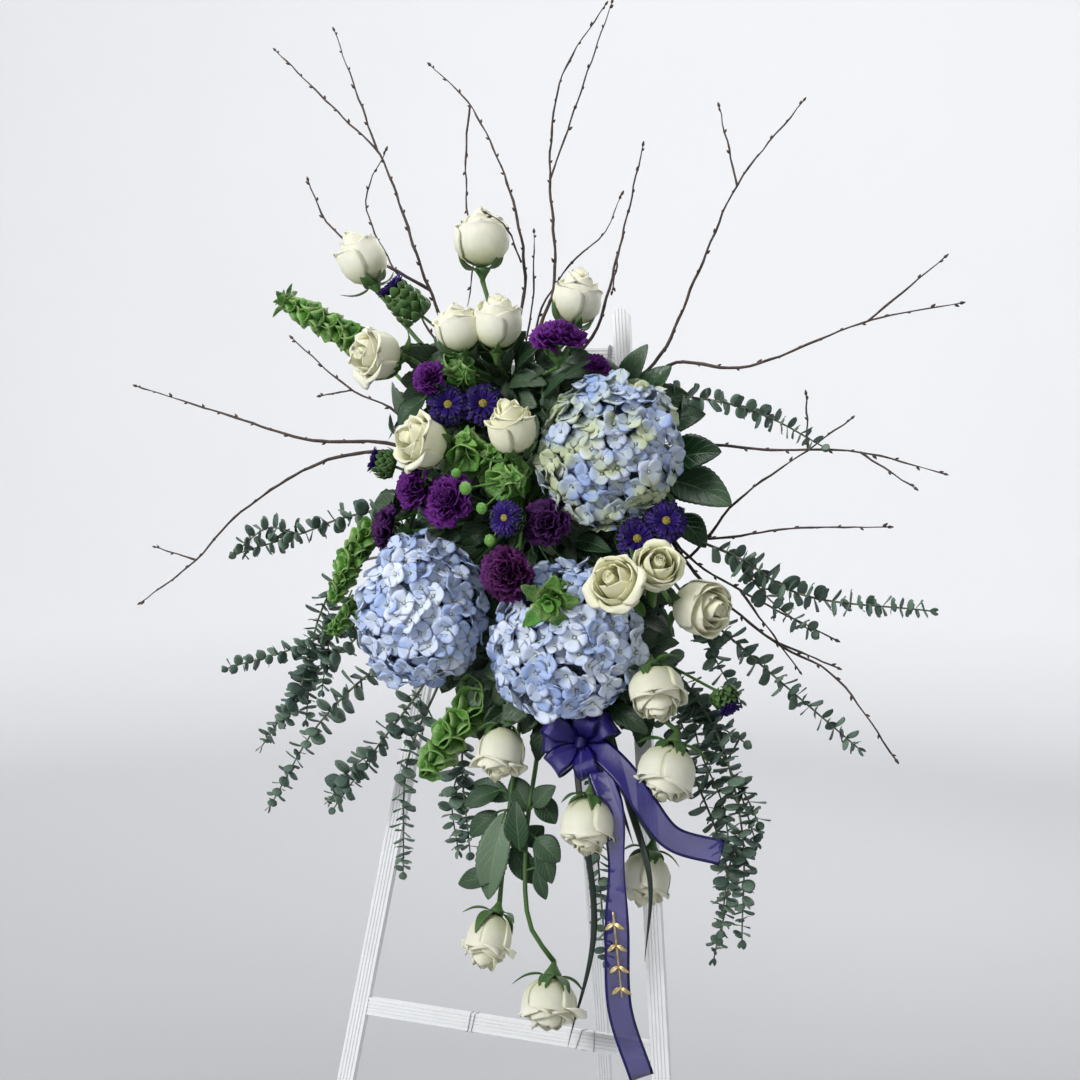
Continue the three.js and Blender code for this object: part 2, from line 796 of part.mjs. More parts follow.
// A closed skin over rings of points. The first and the last ring may be a single point.
function skin(rings) {
  const positions = [];
  const face = (...corners) => corners.forEach((c) => positions.push(c.x, c.y, c.z));
  for (let i = 0; i + 1 < rings.length; i++) {
    const low = rings[i];
    const high = rings[i + 1];
    const count = Math.max(low.length, high.length);
    for (let k = 0; k < count; k++) {
      const a = low[k % low.length];
      const b = low[(k + 1) % low.length];
      const c = high[k % high.length];
      const d = high[(k + 1) % high.length];
      if (low.length > 1) face(a, b, d);
      if (high.length > 1) face(a, d, c);
    }
  }
  const geometry = new THREE.BufferGeometry();
  geometry.setAttribute("position", new THREE.Float32BufferAttribute(positions, 3));
  return geometry;
}

// Moves a geometry that was made along +Z so that it stands on a base and points along an aim.
function standAt(geometry, base, aim, spin = 0) {
  const turn = new THREE.Quaternion().setFromUnitVectors(new THREE.Vector3(0, 0, 1), aim);
  const roll = new THREE.Quaternion().setFromAxisAngle(new THREE.Vector3(0, 0, 1), spin);
  return geometry.applyMatrix4(
    new THREE.Matrix4().compose(base, turn.multiply(roll), new THREE.Vector3(1, 1, 1)),
  );
}

// A ring of points round Z. With a wave its even points reach out and up, and its odd ones fall back.
function ring({ count, radius, height, wave = 0, lift = 0, turn = 0 }) {
  return Array.from({ length: count }, (_, k) => {
    const side = (k + turn) % 2 ? -1 : 1;
    const angle = (2 * Math.PI * k) / count;
    const reach = radius * (1 + side * wave);
    return new THREE.Vector3(reach * Math.cos(angle), reach * Math.sin(angle), height + side * lift);
  });
}

const pole = (height) => [new THREE.Vector3(0, 0, height)];

// The root of a group: a short peg that goes into the foam, with a rounded head outside it.
function rootOf(hub) {
  const { at, by, radius } = HUBS[hub];
  const head = inFrame(at);
  const aim = inFrame(ROOT_WAYS[by]).negate();
  const peg = skin([
    pole(-ROOT_DEPTH),
    ring({ count: 4, radius: 0.8 * radius, height: 5 - ROOT_DEPTH }),
    ring({ count: 4, radius: 1.15 * radius, height: 0 }),
    pole(0.7 * radius),
  ]);
  return piece(standAt(peg, head, aim));
}

// A run of points that begins in the head of a group's root.
function fromRoot(hub, route) {
  const { at, radius } = HUBS[hub];
  const head = inFrame(at);
  const points = route.map((point) => (point.isVector3 ? point : spot(point)));
  const towards = points[0].clone().sub(head).normalize();
  return [head.addScaledVector(towards, 0.25 * radius), ...points];
}

// A rod through points, such as a stem or a twig, with pointed ends and a radius at each point.
function rod(points, radii, sides) {
  const last = points.length - 1;
  const rings = [[points[0]]];
  let across = new THREE.Vector3(0.37, 0.61, 0.7);
  for (let i = 0; i < last; i++) {
    const middle = i ? points[i] : points[0].clone().lerp(points[1], 0.05);
    const along = points[i + 1].clone().sub(points[Math.max(i - 1, 0)]).normalize();
    across = across.clone().addScaledVector(along, -across.dot(along)).normalize();
    const third = new THREE.Vector3().crossVectors(along, across);
    rings.push(
      Array.from({ length: sides }, (_, k) => {
        const angle = (2 * Math.PI * k) / sides;
        return middle
          .clone()
          .addScaledVector(across, radii[i] * Math.cos(angle))
          .addScaledVector(third, radii[i] * Math.sin(angle));
      }),
    );
  }
  rings.push([points[last]]);
  return skin(rings);
}

// A rod that tapers evenly from its start to its end.
function taperedRod(points, startRadius, endRadius, sides) {
  const radii = points.map((_, i) => THREE.MathUtils.lerp(startRadius, endRadius, i / (points.length - 1)));
  return rod(points, radii, sides);
}

// Points on a smooth curve through a few chosen ones.
function smooth(points, steps) {
  return new THREE.CatmullRomCurve3(points, false, "centripetal").getPoints(steps);
}

// The straight runs between points, as a curve that knows its places by length.
function runsOf(points) {
  const runs = new THREE.CurvePath();
  points.slice(1).forEach((point, i) => runs.add(new THREE.LineCurve3(points[i], point)));
  return runs;
}

// A blade from its foot to its tip: a rib with two edges, folded a little and arched towards an up.
function blade({ foot, tip, wide, thick = 1.6, up, arch = 0.1, fold = 0.12, steps = 4, widest = 0.45 }) {
  const along = tip.clone().sub(foot);
  const length = along.length();
  along.normalize();
  const raised = up.clone().addScaledVector(along, -up.dot(along)).normalize();
  const sideways = new THREE.Vector3().crossVectors(along, raised);
  const rings = [[foot]];
  for (let i = 1; i < steps; i++) {
    const share = i / steps;
    const swell = Math.sin(Math.PI * share ** (Math.log(0.5) / Math.log(widest)));
    const half = (wide / 2) * swell ** 0.75;
    const middle = foot
      .clone()
      .addScaledVector(along, length * share)
      .addScaledVector(raised, arch * length * Math.sin(Math.PI * share));
    const edgeLift = fold * wide * swell;
    const corner = (across, rise) =>
      middle.clone().addScaledVector(sideways, across).addScaledVector(raised, rise);
    rings.push([
      corner(half, edgeLift),
      corner(0, thick / 2),
      corner(-half, edgeLift),
      corner(0, -thick / 2),
    ]);
  }
  rings.push([tip]);
  return skin(rings);
}

// A flat strip along points, with its width along given directions, and narrower at its ends as told.
function strip(points, widthways, { wide, thick, start = 1, end = 1 }) {
  const last = points.length - 1;
  const rings = points.map((point, i) => {
    const along = points[Math.min(i + 1, last)]
      .clone()
      .sub(points[Math.max(i - 1, 0)])
      .normalize();
    const across = widthways[i].clone().addScaledVector(along, -widthways[i].dot(along)).normalize();
    const through = new THREE.Vector3().crossVectors(along, across);
    const narrow = i === 0 ? start : i === last ? end : 1;
    return [[1, 1], [-1, 1], [-1, -1], [1, -1]].map(([a, b]) =>
      point
        .clone()
        .addScaledVector(across, (a * wide * narrow) / 2)
        .addScaledVector(through, (b * thick) / 2),
    );
  });
  return skin([[points[0]], ...rings, [points[last]]]);
}

function blockAt({ wide, deep, high }, x, y, z) {
  return new THREE.BoxGeometry(wide, deep, high).translate(x, y, z);
}

// Materials.
const finish = (color, roughness, metalness = 0) =>
  new THREE.MeshStandardMaterial({ color, roughness, metalness });
const PAINT = finish("#eceef2", 0.5);
const STEEL = finish("#9a9c9f", 0.35, 0.9);
const FOAM_GREEN = finish("#2f5a35", 0.95);
const TRAY_GREEN = finish("#1f3d2a", 0.5);
const ROSE_WHITE = finish("#f1f1df", 0.7);
const HYDRANGEA_BLUE = finish("#9fb6e6", 0.75);
const CARNATION_PURPLE = finish("#4b1560", 0.8);
const ASTER_VIOLET = finish("#35206f", 0.8);
const STEM_GREEN = finish("#3f7a34", 0.6);
const BELL_GREEN = finish("#5ba83f", 0.6);
const SALAL_GREEN = finish("#1f5226", 0.45);
const EUCALYPTUS_GREEN = finish("#5d7f74", 0.7);
const BIRCH_BROWN = finish("#3a2a26", 0.8);
const GRASS_GREEN = finish("#18351f", 0.5);
const RIBBON_VIOLET = finish("#3b2a9c", 0.4);
const GOLD = finish("#d8c48a", 0.3, 0.8);

// Nodes are built in an order of precedence: each keeps clear of the room of those before it.
const frame = new THREE.Group();
frame.rotation.x = -LEAN;
const placed = [];

function meshOf(name, solid, material) {
  const mesh = new THREE.Mesh(geometryOf(solid), material);
  mesh.name = name;
  return mesh;
}

function boxesMeet(a, b) {
  return [0, 1, 2].every((k) => a.min[k] <= b.max[k] && b.min[k] <= a.max[k]);
}

function clearOfPlaced(solid) {
  const box = solid.boundingBox();
  const tools = placed.flatMap(({ rooms }) => rooms).filter(({ limits }) => boxesMeet(box, limits));
  return tools.reduce((left, { room }) => left.subtract(room), solid);
}

function place(name, material, pieces) {
  const whole = joined(pieces.map(({ geometry }) => solidOf(geometry)));
  const solid = mainBody(clearOfPlaced(whole));
  const rooms = pieces.map(({ outline }) => {
    const room = roomOf(outline);
    return { room, limits: room.boundingBox() };
  });
  placed.push({ name, rooms: [...rooms, { room: solid, limits: solid.boundingBox() }] });
  frame.add(meshOf(name, solid, material));
  return solid;
}

// Easel.
const legRise = LEG_LENGTH * Math.cos(SPLAY);

// A leg's outline from the front, rounded at the top, with grooves down its face.
function legSolid(length, wide, deep) {
  const outline = new THREE.Shape();
  outline.moveTo(-wide / 2, -30);
  outline.lineTo(wide / 2, -30);
  outline.lineTo(wide / 2, length - wide / 2);
  outline.absarc(0, length - wide / 2, wide / 2, 0, Math.PI, false);
  outline.closePath();
  const body = new THREE.ExtrudeGeometry(outline, { depth: deep, bevelEnabled: false, curveSegments: 4 });
  body.rotateX(Math.PI / 2).translate(0, deep, 0);
  return cut(solidOf(body), ...grooves(length + 60, wide).map(solidOf));
}

// Wedges that cut the grooves between the reeds, along Z on the face at y = 0.
function grooves(length, wide) {
  return Array.from({ length: REED_GROOVES }, (_, k) => {
    const x = (wide * (k + 1)) / (REED_GROOVES + 1) - wide / 2;
    const wedge = new THREE.Shape([
      new THREE.Vector2(x - REED_CUT, -0.4),
      new THREE.Vector2(x, REED_CUT),
      new THREE.Vector2(x + REED_CUT, -0.4),
    ]);
    const geometry = new THREE.ExtrudeGeometry(wedge, { depth: length, bevelEnabled: false });
    return geometry.translate(0, 0, -50);
  });
}

// The floor as a block, seen from the leaning frame.
function floorBlock(fromWorld) {
  return solidOf(blockAt({ wide: 3000, deep: 3000, high: 200 }, 0, 0, -100).applyMatrix4(fromWorld));
}

function frontLeg(side) {
  const leg = geometryOf(legSolid(LEG_LENGTH, LEG_WIDTH, LEG_DEPTH));
  leg.rotateY(-side * SPLAY);
  leg.translate(side * (HALF_TOP + legRise * Math.tan(SPLAY)), 0, 0);
  return cut(solidOf(leg), floorBlock(toFrame));
}

function bar(up, legs) {
  const whole = solidOf(blockAt({ wide: 420, deep: BAR_DEPTH, high: BAR_HEIGHT }, 0, BAR_DEPTH / 2, 0));
  const cuts = grooves(520, BAR_HEIGHT).map((wedge) => wedge.translate(0, 0, -210).rotateY(Math.PI / 2));
  const reeded = geometryOf(cut(whole, ...cuts.map(solidOf)));
  reeded.translate(0, BAR_SETBACK, up);
  const between = cut(solidOf(reeded), ...legs.map((leg) => roomOf(geometryOf(leg))));
  const middle = between.decompose().filter((body) => {
    const { min, max } = body.boundingBox();
    return min[0] < 0 && max[0] > 0;
  });
  return middle[0];
}

function keep(name, material, solid) {
  const room = roomOf(geometryOf(solid));
  placed.push({ name, rooms: [{ room, limits: room.boundingBox() }] });
  frame.add(meshOf(name, solid, material));
}

const leftLeg = frontLeg(-1);
const rightLeg = frontLeg(1);
const topBar = bar(TOP_BAR_UP, [leftLeg, rightLeg]);
const crossBar = bar(CROSS_BAR_UP, [leftLeg, rightLeg]);
keep("front_leg_left", PAINT, leftLeg);
keep("front_leg_right", PAINT, rightLeg);
keep("top_bar", PAINT, topBar);
keep("cross_bar", PAINT, crossBar);

// Hinge: a plate with two cheeks on the back of the top bar, and the pin that the rear leg turns on.
function pinHole(radius, length) {
  const cylinder = new THREE.CylinderGeometry(radius, radius, length, 12);
  return cylinder.rotateZ(Math.PI / 2);
}

function hingeBracket() {
  const inner = REAR_LEG_WIDTH / 2 + 0.6;
  const plateBack = BAR_SETBACK + BAR_DEPTH + GAP;
  const plate = blockAt(
    { wide: 2 * (inner + CHEEK.thick), deep: CHEEK.plate, high: CHEEK.high },
    0,
    plateBack + CHEEK.plate / 2,
    PIN_UP,
  );
  const cheeks = [-1, 1].map((side) =>
    blockAt(
      { wide: CHEEK.thick, deep: CHEEK.reach, high: CHEEK.high },
      side * (inner + CHEEK.thick / 2),
      plateBack + CHEEK.reach / 2,
      PIN_UP,
    ),
  );
  const hole = solidOf(pinHole(PIN_RADIUS + 0.1, 60).translate(0, PIN_BACK, PIN_UP));
  return cut(joined([plate, ...cheeks].map(solidOf)), hole);
}

const pinLength = REAR_LEG_WIDTH + 1.2 + 2 * CHEEK.thick + 3;
keep("hinge_bracket", STEEL, hingeBracket());
const pin = pinHole(PIN_RADIUS, pinLength).translate(0, PIN_BACK, PIN_UP);
frame.add(meshOf("hinge_pin", solidOf(pin), STEEL));

// The rear leg hangs on the pin and swings back, and its foot is cut level with the floor.
const swing = new THREE.Group();
swing.position.set(0, PIN_BACK, PIN_UP);
swing.rotation.x = REAR_OPEN;
frame.add(swing);
frame.updateMatrixWorld(true);

function rearLeg() {
  const reach = LEG_LENGTH + 60;
  const body = geometryOf(legSolid(reach, REAR_LEG_WIDTH, LEG_DEPTH));
  body.translate(0, -LEG_DEPTH / 2, REAR_LEG_WIDTH / 2 - reach);
  const floor = floorBlock(swing.matrixWorld.clone().invert());
  return cut(solidOf(body), floor, solidOf(pinHole(PIN_RADIUS + 0.1, 60)));
}

swing.add(meshOf("rear_leg", rearLeg(), PAINT));

// The wire goes over the top bar on both sides and under the tray's two ears.
function hangingWire() {
  const front = WIRE_RADIUS + 0.5;
  const back = -(BAR_SETBACK + BAR_DEPTH + WIRE_RADIUS + 0.6);
  const top = TOP_BAR_UP + BAR_HEIGHT / 2 + WIRE_RADIUS + 0.6;
  const earUp = TRAY.low + TRAY.high + EAR.high / 2;
  const half = [
    [EAR.across + 10, top - 34, back],
    [EAR.across + 10, top - 1.5, back],
    [EAR.across + 10, top, back + 1.5],
    [EAR.across + 10, top, front - 2],
    [EAR.across + 10, top - 2, front],
    [EAR.across + 10, earUp + 12, front + 1],
    [EAR.across + 7, earUp + 1, EAR.deep / 2],
    [EAR.across - 8, earUp, EAR.deep / 2],
  ];
  const mirrored = half.map(([across, up, out]) => [-across, up, out]).reverse();
  return taperedRod([...half, ...mirrored].map(inFrame), WIRE_RADIUS, WIRE_RADIUS, 5);
}

keep("hanging_wire", STEEL, solidOf(hangingWire()));

// The tray: a flat back against the legs, a low rim, and two ears with holes for the wire.
function foamTray() {
  const outer = blockAt(
    { wide: TRAY.wide, deep: TRAY.rim, high: TRAY.high },
    0,
    -TRAY.back - TRAY.rim / 2,
    TRAY.low + TRAY.high / 2,
  );
  const hollow = blockAt(
    { wide: TRAY.wide - 2 * TRAY.wall, deep: TRAY.rim, high: TRAY.high - 2 * TRAY.wall },
    0,
    -TRAY.back - TRAY.floor - TRAY.rim / 2,
    TRAY.low + TRAY.high / 2,
  );
  const ears = [-1, 1].map((side) =>
    blockAt(
      { wide: EAR.wide, deep: EAR.deep, high: EAR.high + 1 },
      side * EAR.across,
      -TRAY.back - EAR.deep / 2,
      TRAY.low + TRAY.high + EAR.high / 2 - 0.5,
    ),
  );
  return joined([cut(solidOf(outer), solidOf(hollow)), ...ears.map(solidOf)]);
}

keep("foam_tray", TRAY_GREEN, mainBody(clearOfPlaced(foamTray())));

// Blooms. Each is made along +Z with its seat at zero, and then stands on its calyx.
function baseOf({ px, py, out, aim, length }) {
  return spot({ px, py, out }).addScaledVector(aimVector(aim), -length / 2);
}

function aimVector(aim) {
  return inFrame(aim).normalize();
}

// A rose: three crowns of petals, one inside the other.
function roseBloom({ radius, length }) {
  const count = 8;
  const crown = (share, up, wave = 0, lift = 0, turn = 0) =>
    ring({ count, radius: share * radius, height: up * length, wave, lift: lift * length, turn });
  const shape = skin([
    pole(SEAT),
    crown(0.3, 0.03),
    crown(0.93, 0.36, 0.03),
    crown(0.96, 0.74, 0.08, 0.05),
    crown(0.7, 0.6),
    crown(0.66, 0.92, 0.1, 0.06, 1),
    crown(0.36, 0.74),
    pole(length),
  ]);
  const outline = skin([
    pole(SEAT),
    crown(0.3, 0.03),
    crown(0.96, 0.36),
    crown(1.04, 0.76),
    crown(0.74, 0.96),
    crown(0.36, 1.01),
    pole(1.01 * length),
  ]);
  return [shape, outline];
}

// A carnation: pleated crowns that fill a half ball.
function carnationBloom({ radius, length }) {
  const count = 10;
  const crown = (share, up, wave = 0, lift = 0, turn = 0) =>
    ring({ count, radius: share * radius, height: up * length, wave, lift: lift * length, turn });
  const shape = skin([
    pole(SEAT),
    crown(0.26, 0.04),
    crown(0.98, 0.42, 0.1, 0.1),
    crown(0.66, 0.52, 0.05, 0.03, 1),
    crown(0.7, 0.88, 0.16, 0.09, 1),
    crown(0.36, 0.7, 0.1),
    pole(length),
  ]);
  const outline = skin([
    pole(SEAT),
    crown(0.26, 0.04),
    crown(1.08, 0.44),
    crown(0.84, 0.92),
    crown(0.4, 1.04),
    pole(1.04 * length),
  ]);
  return [shape, outline];
}

// An aster: a flat wheel of narrow rays round a domed eye.
function asterBloom({ radius }) {
  const count = 16;
  const shape = skin([
    pole(SEAT),
    ring({ count, radius: 0.84 * radius, height: 0.22 * radius, wave: 0.19, lift: 0.04 * radius }),
    ring({ count, radius: 0.3 * radius, height: 0.24 * radius }),
    pole(0.42 * radius),
  ]);
  const outline = skin([
    pole(SEAT),
    ring({ count: 9, radius: 1.05 * radius, height: 0.24 * radius }),
    pole(0.44 * radius),
  ]);
  return [shape, outline];
}

function bloomPiece(make, spec) {
  const length = spec.length ?? 0.4 * spec.radius;
  const base = baseOf({ ...spec, length });
  const [shape, outline] = make(spec).map((geometry) => standAt(geometry, base, aimVector(spec.aim)));
  return piece(shape, outline);
}

// One node for each bloom, or for each group of blooms that touch.
function placeBlooms(specs, touching, make, material) {
  const groups = Object.keys(specs)
    .filter((name) => !touching.flat().includes(name))
    .map((name) => [name]);
  [...groups, ...touching].forEach((names) => {
    place(names[0], material, names.map((name) => bloomPiece(make, specs[name])));
  });
}

placeBlooms(ROSES, TOUCHING_ROSES, roseBloom, ROSE_WHITE);
placeBlooms(CARNATIONS, TOUCHING_CARNATIONS, carnationBloom, CARNATION_PURPLE);
placeBlooms(ASTERS, TOUCHING_ASTERS, asterBloom, ASTER_VIOLET);

// Stems: each ends in the green cup under its bloom, which is as wide as a share of the bloom.
function stemRoute(name, spec, steps) {
  const base = baseOf({ ...spec, length: spec.length ?? 0.4 * spec.radius });
  const aim = aimVector(spec.aim);
  const passed = STEM_ROUTES[name] ?? [];
  const neck = base.clone().addScaledVector(aim, -0.5 * spec.radius);
  const lip = base.clone().addScaledVector(aim, -0.12 * spec.radius);
  return [...smooth(fromRoot(spec.from, [...passed, neck]), steps + passed.length), lip, base];
}

function stemPiece(route, spec, { cup, thick, sides }) {
  const radii = route.map(() => thick);
  radii[route.length - 2] = cup * spec.radius;
  return piece(rod(route, radii, sides));
}

function headStem(name, spec) {
  const route = fromRoot(spec.from, [...(STEM_ROUTES[name] ?? []), spec]);
  return [piece(taperedRod(smooth(route, 3), 4, 4, 4))];
}

// A broad leaf on a stalk that grows from the nearest place on the stems of its group.
function leafPieces({ base, tip, wide }, routes) {
  const neck = spot(base);
  const end = spot(tip);
  const places = routes.flatMap((route) => runsOf(route).getSpacedPoints(30).slice(2, 29));
  const distance = (place) => place.distanceTo(neck);
  const start = places.reduce((best, next) => (distance(next) < distance(best) ? next : best));
  const up = inFrame([0.1, 0.35, 1]);
  const inLeaf = neck.clone().lerp(end, 0.2).addScaledVector(up, 0.1 * end.distanceTo(neck) * 0.5);
  const stalk = taperedRod([start, neck, inLeaf], 1.5, 1.2, 3);
  return [piece(stalk), piece(blade({ foot: neck, tip: end, wide, up, steps: 4 }))];
}

const STEM_KINDS = [
  [ROSES, { cup: 0.6, thick: 2.8, sides: 3, steps: 2 }],
  [CARNATIONS, { cup: 0.3, thick: 2, sides: 3, steps: 2 }],
  [ASTERS, { cup: 0.45, thick: 1.7, sides: 3, steps: 2 }],
];

function placeStems(group) {
  const routes = [];
  const pieces = STEM_KINDS.flatMap(([specs, kind]) =>
    Object.entries(specs)
      .filter(([, spec]) => spec.from === group)
      .map(([name, spec]) => {
        const route = stemRoute(name, spec, kind.steps);
        routes.push(route);
        return stemPiece(route, spec, kind);
      }),
  );
  const heads = Object.entries(HYDRANGEAS)
    .filter(([, spec]) => spec.from === group)
    .flatMap(([name, spec]) => headStem(name, spec));
  const leaves = STEM_LEAVES[group].flatMap((leaf) => leafPieces(leaf, routes));
  const spike = YOUNG_SPIKES[group] ? spikePieces(group, YOUNG_SPIKES[group]) : [];
  place(`flower_stems_${group}`, STEM_GREEN, [rootOf(group), ...pieces, ...heads, ...leaves, ...spike]);
}

// A spike of bells in whorls, with a tuft of pointed leaves at its tip.
function bellCup(radius) {
  return skin([pole(0), ring({ count: 5, radius, height: 0.85 * radius }), pole(0.22 * radius)]);
}

function spikePieces(hub, { route, from, whorls, bell, tuft }) {
  const points = smooth(fromRoot(hub, route), 5);
  const curve = runsOf(points);
  const pieces = [piece(taperedRod(points, 2.6, 1.8, 3))];
  for (let i = 0; i < whorls; i++) {
    const share = THREE.MathUtils.lerp(from, 0.95, whorls > 1 ? i / (whorls - 1) : 0);
    const middle = curve.getPointAt(share);
    const along = curve.getTangentAt(share);
    whorlAims(along, 2, (i * Math.PI) / 2).forEach((aim) => {
      const lean = aim.clone().addScaledVector(along, 0.45).normalize();
      const seat = middle.clone().addScaledVector(aim, 0.7);
      pieces.push(piece(standAt(bellCup(bell * (1.15 - 0.25 * share)), seat, lean, i)));
    });
  }
  const tip = curve.getPointAt(0.97);
  const end = curve.getTangentAt(1);
  whorlAims(end, 2, 0.4).forEach((aim) => {
    const reach = aim.clone().addScaledVector(end, 0.8).normalize();
    const point = tip.clone().addScaledVector(reach, tuft);
    pieces.push(piece(blade({ foot: tip, tip: point, wide: tuft * 0.5, up: end, steps: 2, arch: 0 })));
  });
  return pieces;
}

// Directions set evenly round a stem.
function whorlAims(along, count, turn) {
  const first = new THREE.Vector3(0.31, 0.47, 0.83);
  first.addScaledVector(along, -first.dot(along)).normalize();
  return Array.from({ length: count }, (_, k) =>
    first.clone().applyAxisAngle(along, turn + (2 * Math.PI * k) / count),
  );
}

["upper", "middle", "lower"].forEach(placeStems);

// Hydrangea heads: four-lobed florets all over a smaller core, with none at the back.
function floret(radius, root) {
  return skin([
    pole(-root),
    ring({ count: 8, radius: 0.79 * radius, height: 0, wave: 0.26, lift: 0.05 * radius }),
    pole(0.12 * radius),
  ]);
}

function hydrangeaHead({ half, florets, seed, ...middle }) {
  const random = makeRandom(seed);
  const centre = spot(middle);
  const [wide, high, deep] = half;
  const core = new THREE.SphereGeometry(1, 7, 4).scale(0.78 * wide, 0.78 * deep, 0.78 * high);
  const pieces = [piece(core.translate(centre.x, centre.y, centre.z))];
  const golden = Math.PI * (3 - Math.sqrt(5));
  for (let i = 0; i < florets; i++) {
    const up = 1 - (2 * (i + 0.5)) / florets;
    const level = Math.sqrt(1 - up * up);
    const aim = new THREE.Vector3(level * Math.cos(golden * i), level * Math.sin(golden * i), up);
    if (aim.y > 0.45) continue;
    const place = new THREE.Vector3(aim.x * wide, aim.y * deep, aim.z * high).multiplyScalar(0.9);
    const normal = new THREE.Vector3(aim.x / wide, aim.y / deep, aim.z / high).normalize();
    const radius = 0.25 * (wide + high) * (0.54 + 0.08 * random());
    const body = floret(radius, 0.15 * (wide + high));
    pieces.push(piece(standAt(body, place.add(centre), normal, random() * Math.PI)));
  }
  return pieces;
}

Object.entries(HYDRANGEAS).forEach(([name, spec]) => place(name, HYDRANGEA_BLUE, hydrangeaHead(spec)));

// Birch twigs.
function birchPieces(hub, { twigs, sides }) {
  const stems = twigs.map(({ route, start, thick }) => {
    const points = start ? [spot(start), ...route.map(spot)] : fromRoot(hub, route);
    return piece(taperedRod(points, thick, 1, 3));
  });
  const branches = sides.map(({ from, to }) => {
    const begin = spot(from);
    const end = spot(to);
    return piece(taperedRod([begin, begin.clone().lerp(end, 0.5), end], 1.4, 0.9, 3));
  });
  return [...stems, ...branches];
}

Object.entries(BIRCH).forEach(([name, spec]) => {
  place(name, BIRCH_BROWN, [rootOf(name), ...birchPieces(name, spec)]);
});

Object.entries(BELLS).forEach(([name, { spikes }]) => {
  place(name, BELL_GREEN, [rootOf(name), ...spikes.flatMap((spike) => spikePieces(name, spike))]);
});

// Salal leaves on stalks that meet in the foam.
const salalPieces = SALAL.leaves.flatMap(({ base, tip, wide }) => {
  const neck = spot(base);
  const end = spot(tip);
  const stalk = taperedRod(fromRoot("salal_leaves", [neck, neck.clone().lerp(end, 0.12)]), 2, 1.5, 3);
  const leaf = blade({ foot: neck, tip: end, wide, thick: 1.8, up: inFrame([0.2, 0.3, 1]), steps: 4 });
  return [piece(stalk), piece(leaf)];
});
place("salal_leaves", SALAL_GREEN, [rootOf("salal_leaves"), ...salalPieces]);

// Eucalyptus sprays: round leaves in pairs, each pair turned a quarter from the last.
function eucalyptusPieces(hub, { sprays }) {
  return sprays.flatMap(({ route, pairs }) => {
    const points = smooth(fromRoot(hub, route), 3);
    const curve = runsOf(points);
    const tip = points.pop();
    const pieces = [piece(taperedRod([...points, points[2].clone().lerp(tip, 0.97), tip], 1.8, 1.3, 3))];
    for (let i = 0; i < pairs; i++) {
      const share = THREE.MathUtils.lerp(0.36, 0.97, i / (pairs - 1));
      const middle = curve.getPointAt(share);
      const along = curve.getTangentAt(share);
      whorlAims(along, 2, (i * Math.PI) / 2).forEach((aim) => pieces.push(roundLeaf(middle, along, aim)));
    }
    return pieces;
  });
}

// A round leaf that clasps the twig and leans forward a little.
function roundLeaf(middle, along, aim) {
  const sideways = new THREE.Vector3().crossVectors(along, aim);
  const at = (out, across, rise = 0) =>
    middle
      .clone()
      .addScaledVector(aim, out)
      .addScaledVector(sideways, across)
      .addScaledVector(along, rise + 0.25 * out);
  const outline = [at(0.4, 0), at(9, -8.2), at(18, 0), at(9, 8.2)];
  return piece(skin([[at(8.5, 0, -0.9)], outline, [at(8.5, 0, 0.9)]]));
}

Object.entries(EUCALYPTUS).forEach(([name, spec]) => {
  place(name, EUCALYPTUS_GREEN, [rootOf(name), ...eucalyptusPieces(name, spec)]);
});

// Lily grass.
const grassPieces = GRASS.blades.map((route) => {
  const points = smooth(fromRoot("lily_grass", route), 6);
  const across = inFrame([1, 0, 0.35]);
  const shape = { wide: GRASS.wide, thick: 1.2, start: 0.3, end: 0.2 };
  return piece(strip(points, points.map(() => across), shape));
});
place("lily_grass", GRASS_GREEN, [rootOf("lily_grass"), ...grassPieces]);

// Ribbon: loops that start and end in the knot, and two tails.
function ribbonPieces({ wide, thick, knot, loops, tails }) {
  const middle = spot(knot);
  const pieces = [piece(new THREE.SphereGeometry(11, 6, 4).translate(middle.x, middle.y, middle.z))];
  loops.forEach(({ reach, belly }) => {
    const far = inFrame(reach);
    const length = far.length();
    const towards = far.clone().normalize();
    const facing = inFrame([0, 0, 1]);
    const widthways = new THREE.Vector3().crossVectors(towards, facing).normalize();
    const bulge = new THREE.Vector3().crossVectors(widthways, towards).normalize();
    const points = Array.from({ length: 6 }, (_, i) => {
      const turn = THREE.MathUtils.lerp(0.03, 0.97, i / 5) * Math.PI;
      return middle
        .clone()
        .addScaledVector(towards, length * Math.sin(turn) ** 0.8)
        .addScaledVector(bulge, belly * Math.sin(2 * turn));
    });
    const shape = { wide, thick, start: 0.3, end: 0.3 };
    pieces.push(piece(strip(points, points.map(() => widthways), shape)));
  });
  tails.forEach((route) => {
    const points = smooth([middle.clone().lerp(spot(route[0]), 0.12), ...route.map(spot)], 7);
    const widthways = points.map((point, i) => {
      const along = points[Math.min(i + 1, 7)].clone().sub(points[Math.max(i - 1, 0)]);
      return new THREE.Vector3().crossVectors(along, inFrame([0.35, 0.1, 1]));
    });
    pieces.push(piece(strip(points, widthways, { wide, thick, start: 0.3 })));
  });
  return pieces;
}

place("ribbon", RIBBON_VIOLET, ribbonPieces(RIBBON));

